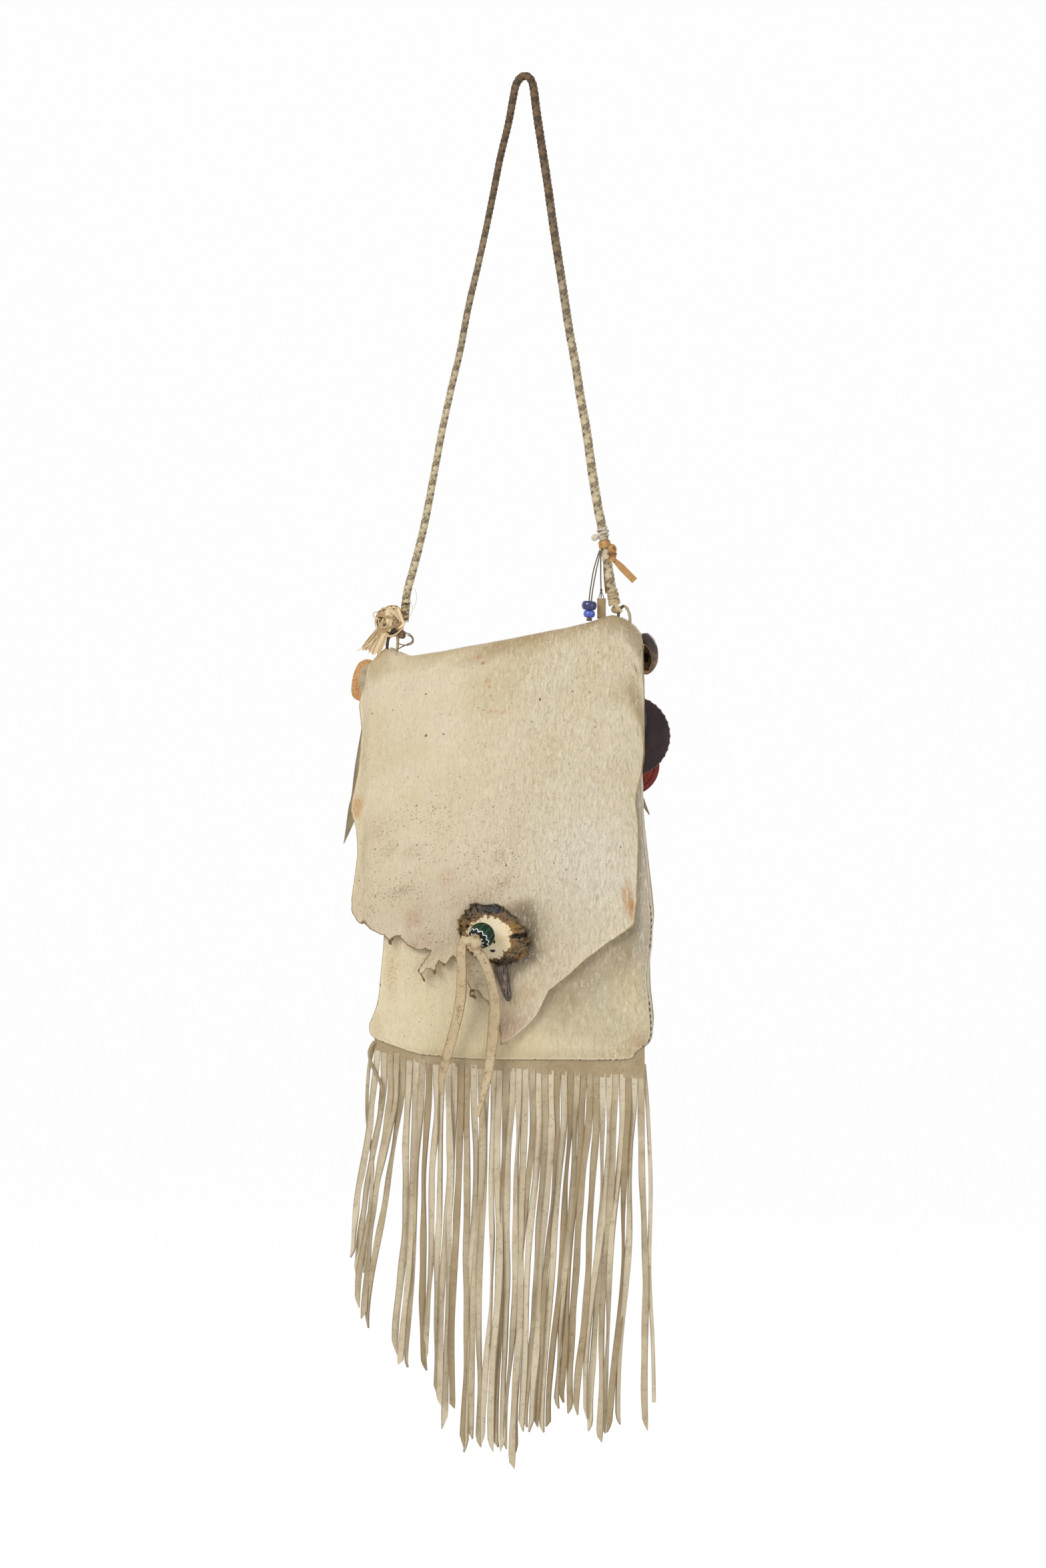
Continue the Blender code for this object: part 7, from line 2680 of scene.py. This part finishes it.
@dataclass
class RightCharms:
    """A domed button, two leather discs, a nut hull and their thong. Millimetres."""

    button: Point = (77.5, -479.0)
    button_radius: float = 15.0
    button_dome: float = 4.6
    purple: Point = (79.0, -491.0)
    purple_radius: float = 30.9
    teeth: int = 36
    tooth: float = 0.6
    red: Point = (78.5, -513.0)
    red_radius: float = 23.0
    groove: Point = (17.5, 19.5)
    hull_centre: Place = (91.3, 17.4, -429.2)
    hull_radii: Place = (9.4, 8.2, 16.2)
    hull_opening: Vector = field(default_factory=lambda: Vector((-0.42, -0.80, -0.42)).normalized())
    thong: tuple[Point, ...] = ((79, -418), (78.8, -440), (78.6, -470), (79, -500),
                                (82.5, -526), (89, -541), (94, -550.5))
    thong_width: float = 5.0

    def disc(self, name: str, node: str, centre: Point, reach: Callable[[float], float],
             relief: Callable[[float, float], float], finish: Tooled) -> None:
        """Makes a leather disc with relief on its front.

        Args:
            name: The disc's name.
            node: The node that it replaces.
            centre: Its middle.
            reach: Its radius for a turn.
            relief: How far its front is sunk, for a turn and a radius.
            finish: Its leather.
        """
        front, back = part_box(node)[0][1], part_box(node)[1][1]
        face_rows = 44
        shares = [*np.linspace(0.02, 0.97, face_rows), 0.985, 1.0, 1.0, 0.985, 0.7, 0.3]
        depths = [*[0.0] * face_rows, 0.06, 0.22, 0.78, 1.0, 1.0, 1.0]
        rings, edges = [], []
        for share, depth in zip(shares, depths):
            ring = []
            for turn in angles(216):
                far = reach(turn) * share
                sunk = relief(turn, far) * MM if depth == 0.0 else 0.0
                y = front + (back - front) * depth + sunk
                ring.append(((centre[0] + far * math.cos(turn)) * MM, y,
                             (centre[1] + far * math.sin(turn)) * MM))
                edges.append(ease(0.955, 0.99, share) if depth < 0.9 else 0.0)
            rings.append(ring)
        made = Form().rings(rings, edge=edges)
        show(name, made, finish.paint(), Body.RIGHT_CHARMS, (node,))

    def discs(self) -> None:
        """Makes the two leather discs."""
        def pinked(turn: float) -> float:
            """Gives the pinked disc's radius."""
            return self.purple_radius - self.tooth * abs(math.sin(turn * self.teeth / 2)) ** 0.7

        def smooth_face(turn: float, far: float) -> float:
            """Gives the plain disc's slight unevenness."""
            return 0.25 + 0.25 * noise.noise(Vector((far * math.cos(turn), far * math.sin(turn), 0)) / 9)

        def tooled_face(turn: float, far: float) -> float:
            """Gives the ring groove and the tool marks inside it.

            Args:
                turn: The angle about the disc's middle.
                far: The distance from it, in millimetres.

            Returns:
                How far the front is sunk there, in millimetres.
            """
            inner, outer = self.groove
            ring = ease(0.8, 0.2, abs(far - (inner + outer) / 2))
            marks = 0.5 + 0.5 * math.cos(turn * 24)
            petals = marks**3 * ease(8.5, 10, far) * ease(16.5, 15, far)
            centre = ease(0.6, 0.1, abs(far - 7.0))
            beads = (0.5 + 0.5 * math.cos(turn * 48)) ** 2 * ease(0.9, 0.3, abs(far - 21.2))
            return 0.05 + 0.6 * ring + 0.4 * petals + 0.45 * centre + 0.25 * beads

        self.disc("pinked_disc", "purple_disc", self.purple, pinked, smooth_face,
                  Tooled("purple_leather", shade(42, 28, 31), shade(64, 46, 48), shade(112, 88, 78), 0.62))
        self.disc("tooled_disc", "red_disc", self.red, lambda turn: self.red_radius, tooled_face,
                  Tooled("red_leather", shade(118, 36, 26), shade(150, 58, 42), shade(84, 30, 25), 0.5,
                         1100.0))

    def hull(self) -> None:
        """Makes the nut hull as an open shell."""
        way = self.hull_opening
        first = way.orthogonal().normalized()
        second = way.cross(first)
        rings, insides = [], []
        rim, steps = math.radians(57), 22
        outer = [(math.pi - (math.pi - rim) * k / steps, 1.0, 0.0) for k in range(steps + 1)]
        inner = [(math.pi - (math.pi - rim) * k / steps, 0.80, 1.0) for k in range(steps, -1, -1)]
        for polar, scale, inside_here in [*outer, (rim - 0.03, 0.9, 0.5), *inner]:
            ring = []
            for turn in angles(48):
                out = between(way, between(first, second, turn), polar)
                rough = 0.05 * noise.noise(out * 2.6) + 0.10 * inside_here * noise.noise(out * 5)
                size = scale * (0.97 + rough)
                ring.append((Vector(self.hull_centre) + on_skin(out, self.hull_radii, size)) * MM)
                insides.append(inside_here)
            rings.append(ring)
        made = Form().rings(rings, inside=insides)
        show("open_nut_hull", made, Hull("nut_hull_finish").paint(), Body.RIGHT_CHARMS, ("nut_hull",))

    def build(self) -> None:
        """Makes the charms and their thong."""
        low, high = (Vector(corner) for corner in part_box("domed_button"))
        profile = [(self.button_radius * math.sin(a) * MM, self.button_dome * (1 - math.cos(a)) * MM)
                   for a in (math.pi / 2 * k / 18 for k in range(1, 19))]
        profile += [(self.button_radius * 0.985 * MM, self.button_dome * 1.05 * MM),
                    (self.button_radius * 0.94 * MM, self.button_dome * 1.1 * MM)]
        made = Form()
        add_turned(made, profile, (self.button[0] * MM, low.y, self.button[1] * MM), (0, 1, 0), 64)
        show("teal_button", made, Enamel("teal_enamel_finish").paint(), Body.RIGHT_CHARMS,
             ("domed_button",))
        self.discs()
        self.hull()
        low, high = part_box("right_charm_thong")
        near, far = low[1] / MM + CHARM_THONG_HALF, high[1] / MM - CHARM_THONG_HALF
        route = [(79.0, near, -411.0)]
        route += [(x, near + (far - near) * min(1.0, (i + 1) / 2), z)
                  for i, (x, z) in enumerate(self.thong)]
        add_charm_thong("right_charm_lace", "right_charm_thong", route, self.thong_width,
                        Body.RIGHT_CHARMS, ((0, 1), (0.8, 1.05), (0.92, 0.8), (1, 0.15)))


def add_charm_thong(name: str, node: str, route: Sequence[Place], width: float, body: Body,
                    taper: Sequence[Point]) -> None:
    """Makes the flat thong that charms hang on.

    Args:
        name: The piece's name.
        node: The node that it replaces.
        route: The points that it goes through, in millimetres.
        width: Its full width, in millimetres.
        body: The body that it rides on.
        taper: How wide it is along its length, as a share of its width.
    """
    points, made = even(metres(route), 2 * MM), Form()
    last = len(points) - 1
    widths = [width * read_line(taper, k / last) * MM for k in range(last + 1)]
    add_ribbon(made, points, widths, 1.5 * MM, 0.5, RIGHT, (), 0.06)
    hide = Suede(name + "_hide", shade(182, 170, 140), shade(138, 124, 96), blotch=0.5, speckled=0.6)
    piece = show(name, made, hide.paint(), body, (node,))


@dataclass
class LeftCharms:
    """A slice of a branch and its thong with a pointed end. Millimetres."""

    centre: Point = (-119.4, -449.5)
    radii: Point = (11.8, 16.0)
    face: tuple[float, float, float, float] = (-116.2, -450.3, 8.6, 14.0)
    outline: tuple[Point, ...] = (
        (0, 1), (0.7, 0.98), (1.18, 1.03), (1.6, 1), (2.09, 0.94), (2.6, 0.87), (3.02, 0.87),
        (3.35, 0.96), (3.6, 1.05), (3.8, 1.14), (3.9, 1.15), (4.1, 1.09), (4.5, 1.01), (5.5, 0.97),
    )
    thong: tuple[Point, ...] = ((-110, -438), (-115.5, -452), (-118.5, -472), (-120.4, -488),
                                (-124.8, -514.5), (-127.2, -535.6), (-129.7, -546), (-132, -557),
                                (-136.5, -572.4))
    thong_width: float = 7.0

    def build(self) -> None:
        """Makes the slice and its thong."""
        low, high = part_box("wood_slice")
        front, thick = low[1] / MM, (high[1] - low[1]) / MM
        rings, rims, marks = [], [], []
        turns, reaches = zip(*self.outline)
        face_rows = 30
        shares = [*np.linspace(0.03, 0.985, face_rows), 1.0, 1.0, 0.97, 0.6]
        for i, share in enumerate(shares):
            ring = []
            for turn in angles(96):
                knob = 1 + 0.02 * ring_lump(turn, 3, 1)
                far = share * knob * float(np.interp(turn, turns, reaches, period=math.tau))
                x = self.centre[0] + self.radii[0] * far * math.cos(turn)
                z = self.centre[1] + self.radii[1] * far * math.sin(turn)
                inner = math.hypot((x - self.face[0]) / self.face[2], (z - self.face[1]) / self.face[3])
                slope = 2.4 * min(1.0, max(0.0, inner - 1) / 0.6)
                depth = slope if i <= face_rows else (thick * 0.9 if i == face_rows + 1 else thick)
                ring.append((x * MM, (front + depth) * MM, z * MM))
                rims.append(ease(0.94, 1.04, inner) if i < face_rows + 3 else 0.0)
                marks.append(0.5 + 0.5 * math.sin(share * 60))
            rings.append(ring)
        made = Form().rings(rings, rim=rims, ring=marks)
        show("branch_slice", made, BranchSlice("branch_wood").paint(), Body.LEFT_CHARMS, ("wood_slice",))
        low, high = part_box("left_charm_thong")
        near, far = low[1] / MM + CHARM_THONG_HALF, high[1] / MM - CHARM_THONG_HALF
        route = [(-107.5, near, -432.0)] + [(x, far, z) for x, z in self.thong]
        add_charm_thong("left_charm_lace", "left_charm_thong", route, self.thong_width,
                        Body.LEFT_CHARMS, ((0, 0.8), (0.5, 0.95), (0.8, 1), (0.88, 0.8), (1, 0.06)))


# The studio

@dataclass
class Studio:
    """The camera, a pale floor that turns up into a backdrop, and soft lamps."""

    distance: float = 3.0
    frame_height: float = 1.1755
    sensor: float = 36.0
    aim: Point = (-0.0015, -0.52725)
    floor_height: float = -1.3
    floor_front: float = -7.0
    wall_back: float = 7.0
    wall_top: float = 3.0
    half_width: float = 7.0
    world_light: float = 0.52

    def camera(self) -> None:
        """Makes the camera at the photograph's viewpoint."""
        lens = bpy.data.cameras.new("camera")
        lens.sensor_width = self.sensor
        lens.lens = self.sensor * self.distance / self.frame_height
        lens.clip_end = 50.0
        camera = add_object("camera", lens)
        camera.location = (self.aim[0], -self.distance, self.aim[1])
        camera.rotation_euler = (math.pi / 2, 0, 0)
        bpy.context.scene.camera = camera

    def stage(self) -> None:
        """Makes the floor and the backdrop as one sheet with a round bend."""
        bend, points = 0.9, []
        for k in range(13):
            angle = math.pi / 2 * k / 12
            points.append((self.wall_back - bend + bend * math.sin(angle),
                           self.floor_height + bend - bend * math.cos(angle)))
        line = [(self.floor_front, self.floor_height), *points, (self.wall_back, self.wall_top)]
        places = [(side * self.half_width, y, z) for y, z in line for side in (-1, 1)]
        faces = [(2 * i, 2 * i + 1, 2 * i + 3, 2 * i + 2) for i in range(len(line) - 1)]
        made = Form().take(places, faces)
        mesh = made.mesh("backdrop", 80)
        mesh.materials.append(pale_surface("backdrop_white", 1.07, 0.86))
        piece = add_object("backdrop", mesh)

    def lamp(self, name: str, place: Place, aim: Place, size: float, power: float) -> None:
        """Adds a soft square lamp.

        Args:
            name: The lamp's name.
            place: Where it is.
            aim: What it points at.
            size: The length of its sides.
            power: How strong it is, in watts.
        """
        light = bpy.data.lights.new(name, "AREA")
        light.size = size
        light.energy = power
        piece = add_object(name, light)
        piece.location = place
        piece.rotation_euler = (Vector(aim) - Vector(place)).to_track_quat("-Z", "Y").to_euler()

    def light(self) -> None:
        """Lights the bag from above and the left, with weaker lamps from the right and from behind."""
        world = bpy.data.worlds.new("pale_room")
        world.use_nodes = True
        tree = world.node_tree
        ground = tree.nodes["Background"]
        ground.inputs["Color"].default_value = (1.0, 1.0, 1.0, 1.0)
        path = tree.nodes.new("ShaderNodeLightPath")
        seen = path.outputs["Is Camera Ray"]
        for other in ("Is Glossy Ray", "Is Transmission Ray"):
            either = tree.nodes.new("ShaderNodeMath")
            either.operation = "MAXIMUM"
            tree.links.new(seen, either.inputs[0])
            tree.links.new(path.outputs[other], either.inputs[1])
            seen = either.outputs[0]
        strength = tree.nodes.new("ShaderNodeMapRange")
        tree.links.new(seen, strength.inputs["Value"])
        strength.inputs["To Min"].default_value = self.world_light
        tree.links.new(strength.outputs["Result"], ground.inputs["Strength"])
        bpy.context.scene.world = world
        middle = (0.0, 0.0, -0.6)
        self.lamp("key_lamp", (-1.7, -2.2, 1.0), middle, 1.3, 48)
        self.lamp("fill_lamp", (2.2, -2.4, -0.2), middle, 1.8, 14)
        self.lamp("back_lamp", (1.4, 1.9, 0.9), middle, 1.5, 34)

    def build(self) -> None:
        """Makes the camera, the stage and the lamps."""
        self.camera()
        self.stage()
        self.light()
        bpy.context.scene.view_settings.view_transform = "Standard"


def main() -> None:
    """Builds the bag's pieces in order."""
    Studio().build()
    form = BagForm()
    for group in (Strap(), LeftTie(), RightTie(), BeadString(), Strip(), Hide(form), FrontPanel(form),
                  Gusset(form), Fringe(form), Closure(), RightCharms(), LeftCharms()):
        group.build()
        log.info("%s is ready", type(group).__name__)


if __name__ == "__main__":
    main()
